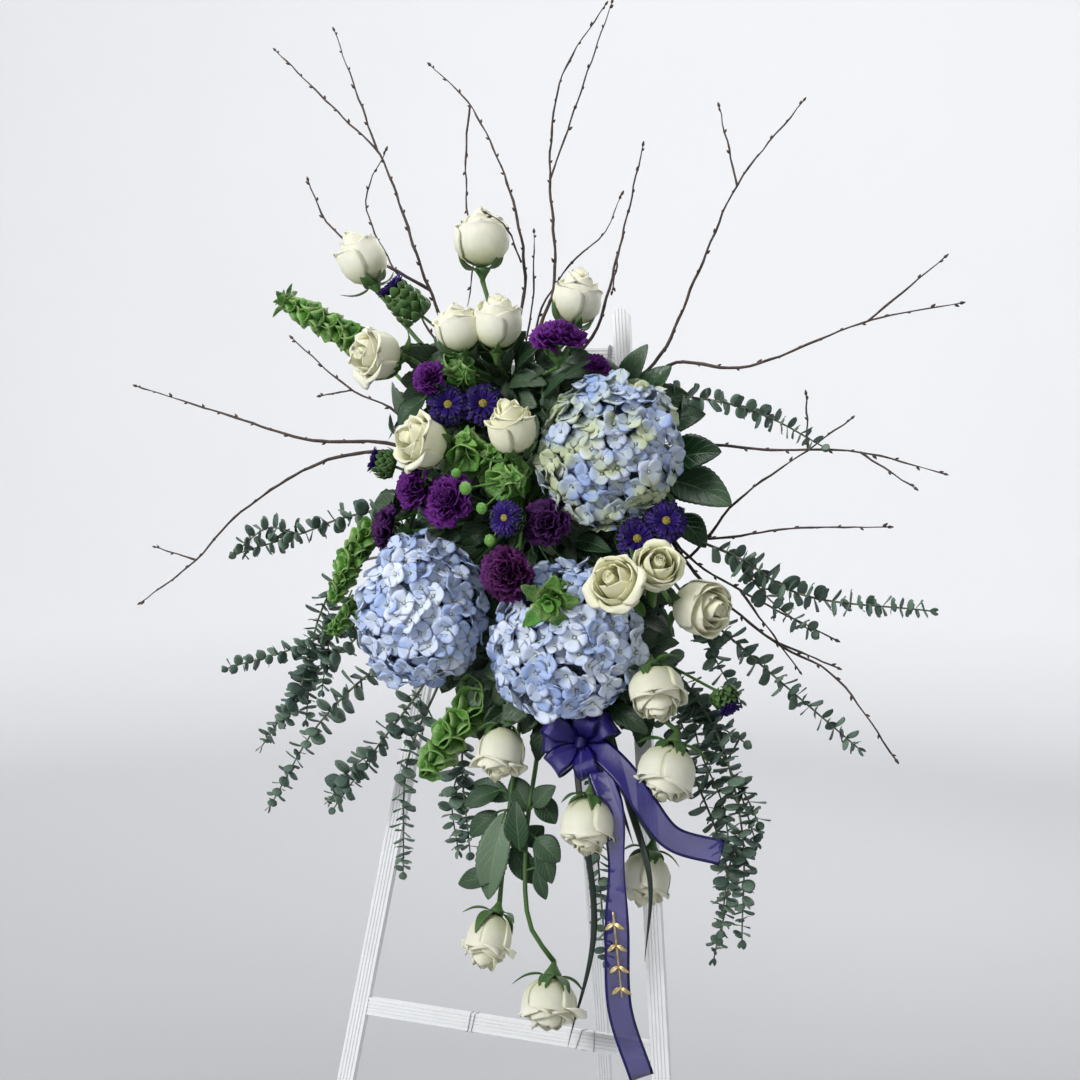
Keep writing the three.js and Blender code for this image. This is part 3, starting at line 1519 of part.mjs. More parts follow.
// A gold sprig on the long tail: a thin stem with pairs of small leaves.
function sprigPieces({ stem, leaf, pairs }) {
  const curve = new THREE.CatmullRomCurve3(stem.map(spot), false, "centripetal");
  const pieces = [piece(taperedRod(curve.getPoints(3), 1.2, 1, 3))];
  const front = inFrame([0, 0, 1]);
  for (let i = 0; i < pairs; i++) {
    const share = (i + 0.6) / pairs;
    const middle = curve.getPointAt(share);
    const along = curve.getTangentAt(share);
    const sideways = new THREE.Vector3().crossVectors(along, front).normalize();
    [-1, 1].forEach((side) => {
      const tip = middle
        .clone()
        .addScaledVector(sideways, side * leaf)
        .addScaledVector(along, 0.7 * leaf);
      pieces.push(piece(blade({ foot: middle, tip, wide: 0.45 * leaf, up: front, steps: 2, arch: 0.1 })));
    });
  }
  return pieces;
}

place("gold_sprig", GOLD, sprigPieces(SPRIG));

// The foam fills the tray, with a plain hole for every stem that stands in it.
const foamDeep = FOAM_FRONT - TRAY.back - TRAY.floor - ROOM;
const foam = blockAt(
  {
    wide: TRAY.wide - 2 * (TRAY.wall + ROOM),
    deep: foamDeep,
    high: TRAY.high - 2 * (TRAY.wall + ROOM),
  },
  0,
  -FOAM_FRONT + foamDeep / 2,
  TRAY.low + TRAY.high / 2,
);
frame.add(meshOf("foam_block", mainBody(clearOfPlaced(solidOf(foam))), FOAM_GREEN));

// The whole stands on the floor with the middle of its footprint at the origin.
const spray = new THREE.Group();
spray.add(frame);
spray.updateMatrixWorld(true);
const extent = new THREE.Box3().setFromObject(spray, true);
const middle = extent.getCenter(new THREE.Vector3());
frame.position.set(-middle.x, -middle.y, 0);

export default spray;
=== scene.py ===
"""Standing funeral spray: finishes the easel and makes every flower, leaf, twig and ribbon in full detail."""

import math
import random
from functools import cache
from typing import NamedTuple

import bpy
import numpy as np
from bpy.props import FloatProperty, FloatVectorProperty, IntProperty, PointerProperty
from mathutils import Matrix, Vector


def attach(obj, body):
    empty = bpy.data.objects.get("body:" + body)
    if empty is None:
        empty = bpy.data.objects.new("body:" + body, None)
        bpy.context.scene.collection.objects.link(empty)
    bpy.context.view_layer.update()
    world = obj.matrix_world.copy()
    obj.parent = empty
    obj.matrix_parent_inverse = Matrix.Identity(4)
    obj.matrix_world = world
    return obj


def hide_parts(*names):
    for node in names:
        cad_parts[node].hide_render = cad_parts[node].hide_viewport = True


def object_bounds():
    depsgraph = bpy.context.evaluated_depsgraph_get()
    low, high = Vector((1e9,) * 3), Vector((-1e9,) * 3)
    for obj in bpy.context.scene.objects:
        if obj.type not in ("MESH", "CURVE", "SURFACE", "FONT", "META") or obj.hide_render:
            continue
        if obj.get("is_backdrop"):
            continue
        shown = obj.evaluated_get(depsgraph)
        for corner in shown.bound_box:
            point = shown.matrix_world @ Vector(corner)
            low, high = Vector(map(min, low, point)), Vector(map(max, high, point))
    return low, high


bl_info = {
    "name": "Standing funeral spray",
    "version": (1, 0, 0),
    "blender": (4, 5, 0),
    "location": "3D View > Sidebar > Spray",
    "description": "Makes the flowers, greenery and ribbon of a funeral spray on its easel",
    "category": "Object",
}

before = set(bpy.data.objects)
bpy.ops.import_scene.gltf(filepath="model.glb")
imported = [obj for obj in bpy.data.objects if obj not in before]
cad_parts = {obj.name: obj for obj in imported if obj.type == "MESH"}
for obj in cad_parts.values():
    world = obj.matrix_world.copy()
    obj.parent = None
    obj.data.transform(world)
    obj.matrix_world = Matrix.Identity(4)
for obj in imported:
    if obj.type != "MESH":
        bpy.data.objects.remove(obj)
CAD_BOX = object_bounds()

# Lengths are metres, but for the places below, which are pixels of the picture and millimetres out.
MM = 0.001
TAU = 2 * math.pi
GOLDEN_ANGLE = math.pi * (3 - math.sqrt(5))
Z = Vector((0, 0, 1))

# The easel's front plane leans back. In its frame X runs across, Z up the plane, and -Y out of it.
LEAN = math.radians(12.1)
SHIFT = Vector((0.0230296, -0.3060662, 0))
PLANE = Matrix.Translation(SHIFT) @ Matrix.Rotation(-LEAN, 4, "X")
TO_FRAME = Matrix.Rotation(LEAN, 3, "X")

# Where the picture was taken from.
EYE = Vector((0.605, -1.379, 1.394))
EYE_TURN = math.radians(20.25)
EYE_DIP = math.radians(6.06)
PICTURE_MIDDLE = 540
PIXELS_TO_FOCUS = 1500
AHEAD = Vector(
    (
        -math.sin(EYE_TURN) * math.cos(EYE_DIP),
        math.cos(EYE_TURN) * math.cos(EYE_DIP),
        -math.sin(EYE_DIP),
    )
)
ASIDE = Vector((math.cos(EYE_TURN), math.sin(EYE_TURN), 0))
ABOVE = ASIDE.cross(AHEAD)
EYE_IN_FRAME = TO_FRAME @ EYE


class Bloom(NamedTuple):
    """The middle of a bloom in the picture, how far out it is, where it faces, and its size in millimetres."""

    px: float
    py: float
    out: float
    aim: tuple
    radius: float
    length: float
    source: str
    open: float = 0.3
    cream: float = 0.3


ROSES = {
    "rose_crown": Bloom(482, 238, 110, (0, 1, 0.25), 31, 66, "upper", 0.3, 0.1),
    "rose_upper_left": Bloom(361, 258, 120, (-0.45, 0.85, 0.3), 27, 66, "upper", 0.2, 0.2),
    "rose_pair_left": Bloom(458, 328, 162, (-0.15, 1, 0.3), 25, 54, "upper", 0.35, 0.15),
    "rose_pair_right": Bloom(497, 322, 150, (0.05, 1, 0.3), 27, 60, "upper", 0.3, 0.15),
    "rose_upper_right": Bloom(577, 297, 112, (0.15, 1, 0.2), 27, 62, "upper", 0.1, 0.1),
    "rose_shoulder": Bloom(376, 355, 160, (-0.55, -0.1, 0.8), 31, 56, "upper", 0.8, 0.5),
    "rose_left": Bloom(422, 443, 185, (-0.6, 0.15, 0.8), 31, 56, "middle", 0.8, 0.7),
    "rose_centre": Bloom(511, 427, 192, (-0.1, 0.9, 0.5), 25, 60, "middle", 0.3, 0.9),
    "rose_front": Bloom(618, 585, 214, (-0.22, 0.3, 1), 28.5, 54, "middle", 0.8, 0.9),
    "rose_front_shaded": Bloom(657, 568, 196, (0.4, 0.35, 0.85), 26, 48, "middle", 0.6, 1.0),
    "rose_right": Bloom(702, 608, 152, (0.85, -0.1, 0.45), 28, 60, "middle", 0.4, 0.7),
    "rose_lower_right": Bloom(657, 693, 142, (0.35, -0.9, 0.35), 28, 58, "lower", 0.3, 0.5),
    "rose_drop_left": Bloom(500, 754, 128, (0, -1, 0.3), 26, 60, "lower", 0.5, 0.35),
    "rose_drop_centre": Bloom(588, 826, 140, (0.05, -1, 0.2), 27, 60, "lower", 0.4, 0.35),
    "rose_drop_right": Bloom(667, 773, 120, (-0.1, -1, 0.3), 30, 62, "lower", 0.5, 0.3),
    "rose_drop_back": Bloom(645, 879, 88, (-0.1, -1, 0.2), 26, 58, "lower", 0.5, 0.4),
    "rose_hanging": Bloom(489, 941, 90, (-0.1, -1, 0.3), 27, 60, "lower", 0.7, 0.35),
    "rose_lowest": Bloom(549, 1004, 80, (0.05, -1, 0.3), 33, 56, "lower", 0.9, 0.35),
}
CARNATIONS = {
    "carnation_bright": Bloom(446, 500, 176, (-0.15, 0.1, 1), 30, 34, "middle"),
    "carnation_left": Bloom(413, 486, 178, (-0.6, 0.1, 0.8), 25, 30, "middle"),
    "carnation_dark_left": Bloom(387, 529, 150, (-0.8, 0, 0.6), 27, 30, "middle"),
    "carnation_maroon": Bloom(506, 573, 196, (-0.05, -0.1, 1), 29, 34, "middle"),
    "carnation_dark_centre": Bloom(546, 522, 162, (0, 0.1, 1), 26, 30, "middle"),
    "carnation_top": Bloom(557, 338, 164, (0.05, 0.9, 0.5), 30, 34, "upper"),
    "carnation_small_left": Bloom(428, 377, 176, (-0.2, 0.2, 1), 19, 26, "upper"),
    "carnation_small_right": Bloom(596, 366, 120, (0.2, 0.9, 0.5), 15, 24, "upper"),
}
ASTERS = {
    "aster_upper_left": Bloom(397, 293, 130, (-0.65, 0.7, 0.42), 23, 8, "upper"),
    "aster_centre": Bloom(483, 404, 146, (0.4, 0.1, 1), 24, 9.6, "middle"),
    "aster_centre_left": Bloom(448, 405, 161, (0.4, 0.1, 1), 24, 9.6, "middle"),
    "aster_middle": Bloom(505, 518, 188, (-0.1, -0.05, 1), 20, 8, "middle"),
    "aster_left": Bloom(380, 462, 142, (-0.9, 0.2, 0.4), 18, 7.2, "middle"),
    "aster_right": Bloom(637, 539, 156, (0.4, 0.1, 1), 23, 9.2, "middle"),
    "aster_far_right": Bloom(666, 521, 144, (0.4, 0.1, 1), 23, 9.2, "middle"),
    "aster_lower_right": Bloom(727, 703, 112, (0.5, -0.8, 0.2), 16, 6.4, "lower"),
}
# The asters whose rays stand up in a brush.
HALF_CLOSED = ("aster_upper_left", "aster_left", "aster_lower_right")
# A bloom that touches the one before it shares its node.
SHARED_NODES = {
    "rose_pair_right": "rose_pair_left",
    "rose_front_shaded": "rose_front",
    "carnation_left": "carnation_bright",
    "aster_centre_left": "aster_centre",
    "aster_far_right": "aster_right",
}


class Head(NamedTuple):
    """A hydrangea head: its middle, and its half sizes across, up and out in millimetres."""

    px: float
    py: float
    out: float
    half: tuple
    source: str
    seed: int


HYDRANGEAS = {
    "hydrangea_upper": Head(608, 450, 146, (74, 76, 54), "middle", 11),
    "hydrangea_left": Head(424, 610, 142, (64, 82, 52), "middle", 12),
    "hydrangea_lower": Head(567, 640, 144, (78, 78, 52), "lower", 13),
}

# Where the stems of a group meet, just outside the foam: across, up and out, the way that its root
# goes in, and its radius, in millimetres.
INTO_TOP = (0, -1, 0)
INTO_FRONT = (0, 0, -1)
INTO_BOTTOM = (0, 1, 0)
INTO_LEFT = (1, 0, 0)
INTO_RIGHT = (-1, 0, 0)
HUBS = {
    "upper": ((-25, 1404, 56), INTO_TOP, 9),
    "middle": ((12, 1255, 90), INTO_FRONT, 10),
    "lower": ((12, 1112, 46), INTO_BOTTOM, 9),
    "birch_upper": ((32, 1402, 32), INTO_TOP, 7),
    "birch_right": ((134, 1300, 30), INTO_RIGHT, 6),
    "birch_left": ((-134, 1318, 30), INTO_LEFT, 5),
    "bells_upper": ((-84, 1402, 42), INTO_TOP, 5),
    "bells_centre": ((-48, 1302, 88), INTO_FRONT, 5),
    "bells_left": ((-134, 1264, 56), INTO_LEFT, 5),
    "bells_lower": ((-40, 1112, 56), INTO_BOTTOM, 5),
    "salal_leaves": ((134, 1336, 52), INTO_RIGHT, 5),
    "eucalyptus_left": ((-134, 1212, 38), INTO_LEFT, 5),
    "eucalyptus_lower_left": ((-88, 1112, 36), INTO_BOTTOM, 5),
    "eucalyptus_right": ((134, 1248, 44), INTO_RIGHT, 5),
    "eucalyptus_lower_right": ((92, 1112, 36), INTO_BOTTOM, 5),
    "lily_grass": ((48, 1112, 28), INTO_BOTTOM, 5),
}
# How deep a root goes into the foam.
ROOT_DEPTH = 0.042

# Places that a stem passes between its root and its bloom.
STEM_ROUTES = {
    "rose_crown": [(500, 340, 85)],
    "rose_upper_left": [(440, 360, 88)],
    "rose_shoulder": [(440, 375, 110)],
    "rose_right": [(640, 560, 92)],
    "rose_front": [(612, 548, 90)],
    "rose_front_shaded": [(630, 548, 90)],
    "aster_right": [(622, 535, 90)],
    "aster_far_right": [(650, 536, 90)],
    "rose_lower_right": [(590, 650, 60), (640, 668, 80)],
    "rose_drop_left": [(520, 650, 70)],
    "rose_drop_centre": [(563, 690, 82), (583, 742, 118)],
    "rose_drop_right": [(610, 680, 66)],
    "rose_drop_back": [(598, 720, 66), (622, 790, 74)],
    "rose_hanging": [(520, 720, 72), (508, 820, 84)],
    "rose_lowest": [(540, 720, 72), (526, 840, 82), (530, 925, 82)],
    "aster_lower_right": [(640, 655, 62)],
    "hydrangea_lower": [(562, 622, 76)],
}

# Where dark leaves fill the spray: the middle of each group's field in the picture, half its width and
# height there, and its share of the leaves.
FILLER_FIELDS = {
    "upper": (500, 385, 120, 55, 0.28),
    "middle": (535, 500, 150, 130, 0.46),
    "lower": (562, 668, 122, 84, 0.32),
}

# Broad leaves: the foot of the blade, its tip, and its width in millimetres.
STEM_LEAVES = {
    "upper": [
        ((425, 398, 120), (398, 425, 122), 26),
        ((543, 398, 112), (592, 360, 142), 13),
        ((505, 388, 86), (484, 350, 96), 24),
        ((522, 388, 80), (532, 344, 86), 22),
        ((498, 384, 72), (512, 340, 78), 24),
    ],
    "middle": [
        ((575, 540, 112), (612, 552, 128), 24),
        ((486, 590, 98), (496, 650, 100), 26),
    ],
    "lower": [
        ((505, 812, 92), (488, 900, 84), 38),
        ((500, 790, 88), (464, 806, 96), 24),
        ((498, 875, 86), (458, 884, 80), 24),
        ((536, 838, 90), (560, 862, 92), 30),
        ((534, 806, 92), (556, 786, 98), 24),
        ((520, 850, 92), (516, 800, 98), 28),
        ((536, 868, 84), (546, 900, 76), 16),
        ((510, 800, 82), (474, 782, 78), 26),
        ((530, 812, 80), (512, 776, 74), 28),
        ((538, 796, 80), (556, 824, 76), 26),
        ((512, 846, 78), (534, 884, 72), 28),
        ((498, 812, 76), (470, 836, 70), 24),
        ((506, 744, 74), (474, 728, 70), 24),
        ((536, 724, 74), (556, 744, 82), 22),
        ((640, 676, 66), (652, 724, 74), 30),
        ((628, 684, 60), (622, 730, 66), 28),
        ((606, 676, 62), (588, 716, 70), 30),
        ((560, 684, 62), (540, 716, 72), 28),
        ((648, 700, 58), (640, 748, 64), 26),
        ((540, 842, 82), (552, 884, 80), 24),
        ((526, 846, 78), (544, 826, 72), 26),
    ],
}
SALAL_LEAVES = [
    ((668, 462, 66), (722, 452, 88), 46),
    ((672, 480, 62), (732, 506, 92), 48),
    ((640, 402, 62), (672, 366, 86), 32),
    ((622, 392, 60), (648, 344, 84), 28),
    ((660, 428, 60), (706, 414, 66), 34),
    ((678, 515, 52), (706, 548, 66), 32),
]


class Spike(NamedTuple):
    """A spike of bells: its route, the share where bells begin, a bell's radius, and its tuft's reach."""

    route: list
    begin: float
    bell: float
    tuft: float


BELLS = {
    "bells_upper": [
        Spike([(418, 392, 78), (372, 350, 92), (318, 320, 108), (284, 300, 116)], 0.56, 12, 25),
    ],
    "bells_centre": [
        Spike([(478, 470, 96), (470, 455, 140), (466, 440, 172)], 0.56, 15, 15),
        Spike([(494, 478, 96), (508, 480, 150), (514, 478, 186)], 0.5, 15, 15),
        Spike([(486, 474, 92), (492, 464, 130), (492, 452, 160)], 0.6, 14, 16),
    ],
    "bells_left": [
        Spike([(410, 515, 74), (372, 530, 98), (350, 562, 112), (334, 604, 116)], 0.42, 10, 11),
        Spike([(396, 560, 60), (352, 612, 84), (330, 632, 92)], 0.75, 9, 16),
    ],
    "bells_lower": [
        Spike([(502, 640, 62), (484, 690, 84), (456, 728, 110), (424, 778, 112)], 0.45, 16, 9),
    ],
}
YOUNG_SPIKES = {
    "upper": Spike([(452, 380, 92), (464, 372, 158)], 0.66, 15, 11),
    "middle": Spike([(566, 566, 96), (560, 586, 166), (552, 600, 200)], 0.88, 11, 40),
}

EUCALYPTUS = {
    "eucalyptus_left": [
        [(400, 512, 52), (350, 516, 66), (300, 534, 74), (236, 554, 78)],
        [(380, 600, 46), (310, 642, 58), (228, 668, 60)],
        [(372, 622, 44), (306, 684, 40), (262, 746, 40)],
        [(352, 566, 38), (318, 620, 30), (306, 720, 26)],
    ],
    "eucalyptus_lower_left": [
        [(390, 660, 58), (322, 720, 64), (270, 806, 56)],
        [(420, 690, 56), (375, 750, 66), (334, 808, 58)],
        [(440, 680, 48), (408, 760, 52), (403, 872, 46)],
        [(470, 680, 44), (462, 760, 62), (470, 852, 56)],
    ],
    "eucalyptus_right": [
        [(650, 405, 46), (710, 400, 74), (770, 418, 84), (822, 446, 86)],
        [(660, 530, 50), (735, 556, 76), (800, 594, 88), (930, 611, 92)],
        [(680, 590, 48), (750, 655, 74), (858, 748, 78)],
    ],
    "eucalyptus_lower_right": [
        [(650, 640, 44), (690, 700, 62), (735, 780, 66), (756, 842, 60)],
        [(636, 670, 38), (700, 790, 44), (728, 880, 38), (714, 958, 30)],
        [(660, 660, 56), (715, 730, 78), (742, 830, 78), (742, 940, 60)],
        [(605, 700, 42), (596, 800, 52), (606, 960, 42)],
    ],
}

# Side sprays of the eucalyptus, which leave its main twigs.
EUCALYPTUS_SIDES = {
    "eucalyptus_left": [
        [(300, 534, 74), (268, 528, 80), (240, 548, 78)],
        [(310, 642, 58), (300, 690, 54), (284, 722, 50)],
        [(352, 590, 40), (330, 640, 46), (322, 690, 44)],
    ],
    "eucalyptus_lower_left": [
        [(375, 750, 66), (350, 770, 60), (330, 800, 54)],
        [(462, 760, 62), (452, 800, 58), (458, 850, 54)],
    ],
    "eucalyptus_right": [
        [(735, 556, 76), (770, 600, 70), (812, 632, 68)],
        [(700, 610, 56), (716, 660, 60), (740, 700, 62)],
    ],
    "eucalyptus_lower_right": [
        [(690, 700, 62), (714, 722, 66), (744, 742, 66)],
        [(690, 700, 62), (700, 750, 66), (722, 802, 66), (730, 850, 62)],
        [(735, 780, 66), (748, 800, 64), (758, 822, 60)],
        [(742, 830, 78), (728, 872, 72), (722, 930, 66)],
        [(645, 655, 46), (668, 690, 58), (684, 730, 62)],
    ],
}

# Birch twigs: each route with its thickness at the foot, and the side twigs from a place to a tip.
BIRCH_TWIGS = {
    "birch_upper": [
        ([(470, 370, 36), (430, 290, 48), (378, 152, 56), (354, 128, 62), (275, 50, 70)], 3.2),
        ([(465, 372, 30), (402, 282, 30), (366, 200, 28), (386, 150, 30)], 2.2),
        ([(500, 365, 44), (524, 300, 52), (514, 205, 56), (470, 105, 62), (430, 65, 66)], 3),
        ([(530, 365, 40), (554, 285, 48), (550, 160, 54), (562, 76, 60), (606, 4, 66)], 3),
        ([(560, 372, 36), (592, 338, 44), (620, 245, 52), (643, 145, 58)], 2.8),
        ([(528, 352, 30), (533, 300, 30), (534, 232, 32)], 1.8),
        ([(536, 330, 28), (572, 262, 26), (602, 236, 26), (622, 194, 28)], 2),
        ([(600, 392, 34), (652, 366, 44), (700, 268, 56), (737, 185, 64), (804, 100, 72)], 3),
    ],
    "birch_right": [
        ([(664, 368, 34), (745, 367, 58), (868, 321, 74), (961, 303, 82)], 3.2),
        ([(690, 448, 36), (770, 450, 52), (860, 452, 64), (945, 474, 70)], 2.6),
        ([(680, 560, 26), (740, 498, 36), (808, 450, 48), (852, 418, 56)], 2.8),
        ([(680, 534, 30), (800, 528, 46), (889, 527, 54)], 2.4),
        ([(684, 552, 28), (762, 602, 34), (836, 640, 38)], 2.4),
        ([(686, 562, 24), (772, 640, 26), (834, 676, 30), (896, 760, 36)], 2.8),
    ],
    "birch_left": [
        ([(396, 412, 40), (352, 390, 58), (292, 338, 66)], 2.2),
        ([(392, 452, 38), (322, 462, 56), (234, 518, 66), (196, 560, 70), (140, 603, 74)], 3),
        ([(392, 444, 44), (310, 440, 68), (234, 417, 80), (136, 386, 86)], 3),
    ],
}
BIRCH_SIDES = {
    "birch_upper": [
        ([(430, 290, 48), (340, 236, 50), (322, 214, 54), (308, 180, 56)], 2.6),
        ([(378, 152, 56), (334, 30, 62)], 1.6),
        ([(470, 105, 62), (466, 150, 62), (467, 206, 62), (473, 266, 62), (466, 312, 62)], 1.6),
        ([(521, 262, 56), (514, 244, 96), (503, 223, 138), (486, 213, 147)], 1.5),
        ([(550, 180, 53), (612, 2, 58)], 1.6),
        ([(620, 245, 52), (612, 292, 66)], 1.6),
        ([(737, 185, 64), (719, 106, 60)], 1.6),
    ],
    "birch_right": [
        ([(868, 321, 74), (945, 257, 88)], 1.6),
        ([(808, 450, 48), (806, 394, 52)], 1.6),
        ([(860, 452, 64), (915, 488, 76)], 1.6),
        ([(772, 640, 26), (838, 668, 18)], 1.6),
        ([(740, 590, 32), (800, 672, 22)], 1.6),
    ],
    "birch_left": [
        ([(196, 560, 70), (155, 547, 78)], 1.6),
        ([(352, 390, 58), (320, 396, 52)], 1.6),
    ],
}

# Round green buds among the bells: each place, and the radius in millimetres.
ROUND_BUDS = [(468, 488, 184, 7.5), (484, 508, 186, 6.5), (493, 540, 176, 7), (457, 473, 180, 5.5)]

# The places that each blade of lily grass passes.
GRASS_BLADES = [
    [(568, 676, 42), (572, 720, 62), (580, 800, 86), (594, 930, 78), (568, 1047, 60)],
    [(590, 660, 40), (612, 740, 70), (628, 800, 104), (650, 880, 122), (645, 962, 106)],
    [(580, 660, 44), (606, 760, 82), (634, 846, 136)],
]
# The ribbon: its knot, how far each loop reaches across, up and out with its belly in millimetres, and
# the places that its tails pass.
KNOT = (583, 742, 118)
RIBBON_LOOPS = [
    ((-44, -2, 6), 15),
    ((-30, -30, 10), 13),
    ((34, 24, 8), 15),
    ((16, -34, 16), 12),
    ((-38, 20, 14), 14),
    ((12, 32, 18), 13),
]
RIBBON_TAILS = {
    "ribbon_tail_right": [
        (602, 752, 134),
        (626, 776, 138),
        (646, 806, 136),
        (672, 838, 130),
        (722, 853, 124),
    ],
    "ribbon_tail_long": [
        (598, 770, 134),
        (611, 805, 140),
        (616, 860, 134),
        (617, 930, 124),
        (620, 1010, 110),
        (642, 1078, 96),
    ],
}

# The cross bar's middle as up and back, its half depth and half height, and the wire wound round it:
# where, and how far a turn slants, in millimetres.
BAR_MIDDLE = (678, 4.75)
BAR_HALF = (4.25, 10)
WIRE_TIES = [(469, 1017, 2), (474, 1018, -2), (590, 1036, 14), (583, 1035, -12)]

# The places that the stem of the gold sprig passes.
SPRIG_STEM = [(613, 912, 129), (617, 950, 123), (622, 998, 115)]

# The thickness of petals and leaves.
PETAL = 0.0006
THIN_LEAF = 0.0007
LEAF = 0.0008
THICK_LEAF = 0.0009
# How far out a rose petal reaches at each share of its height, on an open rose and on a shut one.
PETAL_HEIGHTS = (0, 0.08, 0.2, 0.4, 0.6, 0.85, 1)
OPEN_PETAL = (0.12, 0.44, 0.74, 0.93, 0.99, 0.96, 0.93)
SHUT_PETAL = (0.12, 0.44, 0.76, 0.97, 1, 0.92, 0.86)
# The kinds of carnation, but for the dark ones, whose deep colour is partly painted shade.
CARNATION_KINDS = {
    "carnation_bright": "bright",
    "carnation_top": "bright",
    "carnation_small_left": "bright",
    "carnation_small_right": "bright",
    "carnation_maroon": "maroon",
}
# The length, height and tilt of each ring of an aster's rays.
ASTER_RINGS = ((1.0, 0.2, 88), (0.88, 0.25, 78), (0.7, 0.29, 66))
# The lift, length and lean of each petal of a floret, and the most florets on a square metre.
FLORET_PETALS = ((0.3, 1.0, 0.2), (0.1, 0.9, -0.1), (0.45, 0.96, 0.1), (0.2, 1.06, -0.25))
FLORETS_AT_MOST = 60000
# The count, length, width and spread of the sepals, with the length as a share of the bloom's radius.
ROSE_SEPALS = (5, 1.2, 0.0115, 1.05)
CARNATION_SEPALS = (5, 0.5, 0.008, 0.5)
ASTER_SEPALS = (12, 0.62, 0.005, 1.25)
# The blooms that have stems, with the radius of the stem, the share that the cup takes, and the sepals.
STEM_KINDS = (
    (ROSES, 0.0026, 0.29, ROSE_SEPALS),
    (CARNATIONS, 0.0019, 0.3, CARNATION_SEPALS),
    (ASTERS, 0.0016, 0.4, ASTER_SEPALS),
)
# How far each leaf of a tuft leans out and forward, and how long it is.
TUFT_RINGS = ((1.1, 0.5, 1), (0.55, 1, 0.85), (0.25, 1, 0.6))
# How far a birch twig wanders across, back and up from bud to bud.
ZIGZAG = ((0.2, 0.8), (-0.3, 0.3), (-0.3, 0.3))
# What the leaves that fill the spray share.
FILLER_LEAF = {"fold": 0.14, "columns": 7, "saw": 0.05, "ripple": 0.03}
# Where the leaves and the bells end, as a share of the twig or the spike.
NEAR_TIP = 0.985

# Where the seeds of each kind begin.
YOUNG_SEED = 50
ROSE_SEEDS = 100
CARNATION_SEEDS = 200
ASTER_SEEDS = 300
BELL_SEEDS = 400
EUCALYPTUS_SEEDS = 500
BIRCH_SEEDS = 600


# Places and curves, all in the leaning frame.


def spot(px, py, out):
    """The point that shows at a pixel of the picture and stands out millimetres in front of the legs."""
    ray = AHEAD + ASIDE * ((px - PICTURE_MIDDLE) / PIXELS_TO_FOCUS)
    ray = TO_FRAME @ (ray + ABOVE * ((PICTURE_MIDDLE - py) / PIXELS_TO_FOCUS))
    return EYE_IN_FRAME + ray * ((-out * MM - EYE_IN_FRAME.y) / ray.y)


def in_frame(across, up, out):
    """A point or a direction by its measures across, up the plane, and out in front of the legs."""
    return Vector((across, -out, up))


def round_way(azimuth):
    """The way out from Z at an azimuth."""
    return Vector((math.cos(azimuth), math.sin(azimuth), 0))


def node_of(name):
    """The CAD node that a bloom belongs to."""
    return SHARED_NODES.get(name, name)


def aim_of(bloom):
    return in_frame(*bloom.aim).normalized()


def base_of(bloom):
    """The seat of a bloom, where its calyx holds it."""
    return spot(bloom.px, bloom.py, bloom.out) - aim_of(bloom) * (bloom.length * MM / 2)


def spots(route):
    return [spot(*place) for place in route]


def array(points):
    return np.array([tuple(point) for point in points])


def by_length(points, count):
    """Points set evenly by length along a run of points."""
    points = array(points)
    steps = np.linalg.norm(np.diff(points, axis=0), axis=1)
    along = np.concatenate([[0], np.cumsum(steps)])
    wanted = np.linspace(0, along[-1], count)
    return np.stack([np.interp(wanted, along, points[:, k]) for k in range(3)], axis=1)


def length_of(points):
    return float(np.linalg.norm(np.diff(array(points), axis=0), axis=1).sum())


def smooth(points, count):
    """Points set evenly along a smooth curve through a few chosen ones."""
    chosen = [Vector(p) for p in points]
    chosen = [2 * chosen[0] - chosen[1], *chosen, 2 * chosen[-1] - chosen[-2]]
    curve = []
    for a, b, c, d in zip(chosen, chosen[1:], chosen[2:], chosen[3:]):
        knots = [0.0]
        for one, other in ((a, b), (b, c), (c, d)):
            knots.append(knots[-1] + max((other - one).length, 1e-6) ** 0.5)
        ta, tb, tc, td = knots
        for t in np.linspace(tb, tc, 14, endpoint=False):
            ab = a * ((tb - t) / (tb - ta)) + b * ((t - ta) / (tb - ta))
            bc = b * ((tc - t) / (tc - tb)) + c * ((t - tb) / (tc - tb))
            cd = c * ((td - t) / (td - tc)) + d * ((t - tc) / (td - tc))
            abc = ab * ((tc - t) / (tc - ta)) + bc * ((t - ta) / (tc - ta))
            bcd = bc * ((td - t) / (td - tb)) + cd * ((t - tb) / (td - tb))
            curve.append(abc * ((tc - t) / (tc - tb)) + bcd * ((t - tb) / (tc - tb)))
    curve.append(chosen[-2])
    return by_length(curve, count)


def on_path(path, share):
    """The point at a share of a path, and the way that the path runs there."""
    at = share * (len(path) - 1)
    low = min(int(at), len(path) - 2)
    start, end = Vector(path[low]), Vector(path[low + 1])
    return start.lerp(end, at - low), (end - start).normalized()


def head_of(hub):
    """The head of a group's root, just outside the foam."""
    return in_frame(*HUBS[hub][0]) * MM


def from_root(hub, places):
    """A run of points that begins in the head of a group's root."""
    head, radius = head_of(hub), HUBS[hub][2] * MM
    points = [Vector(p) if isinstance(p, Vector) else spot(*p) for p in places]
    towards = (points[0] - head).normalized()
    return [head + towards * (0.25 * radius), *points]


def facing(direction, up):
    """A turn that takes Z to a direction and Y as near as it can to an up."""
    z = Vector(direction).normalized()
    y = Vector(up) - z * Vector(up).dot(z)
    y = y.normalized() if y.length > 1e-6 else z.orthogonal().normalized()
    x = y.cross(z)
    return Matrix((x, y, z)).transposed()


def spun(turn, angle):
    """A turn, spun about its own Z first."""
    return turn @ Matrix.Rotation(angle, 3, "Z")


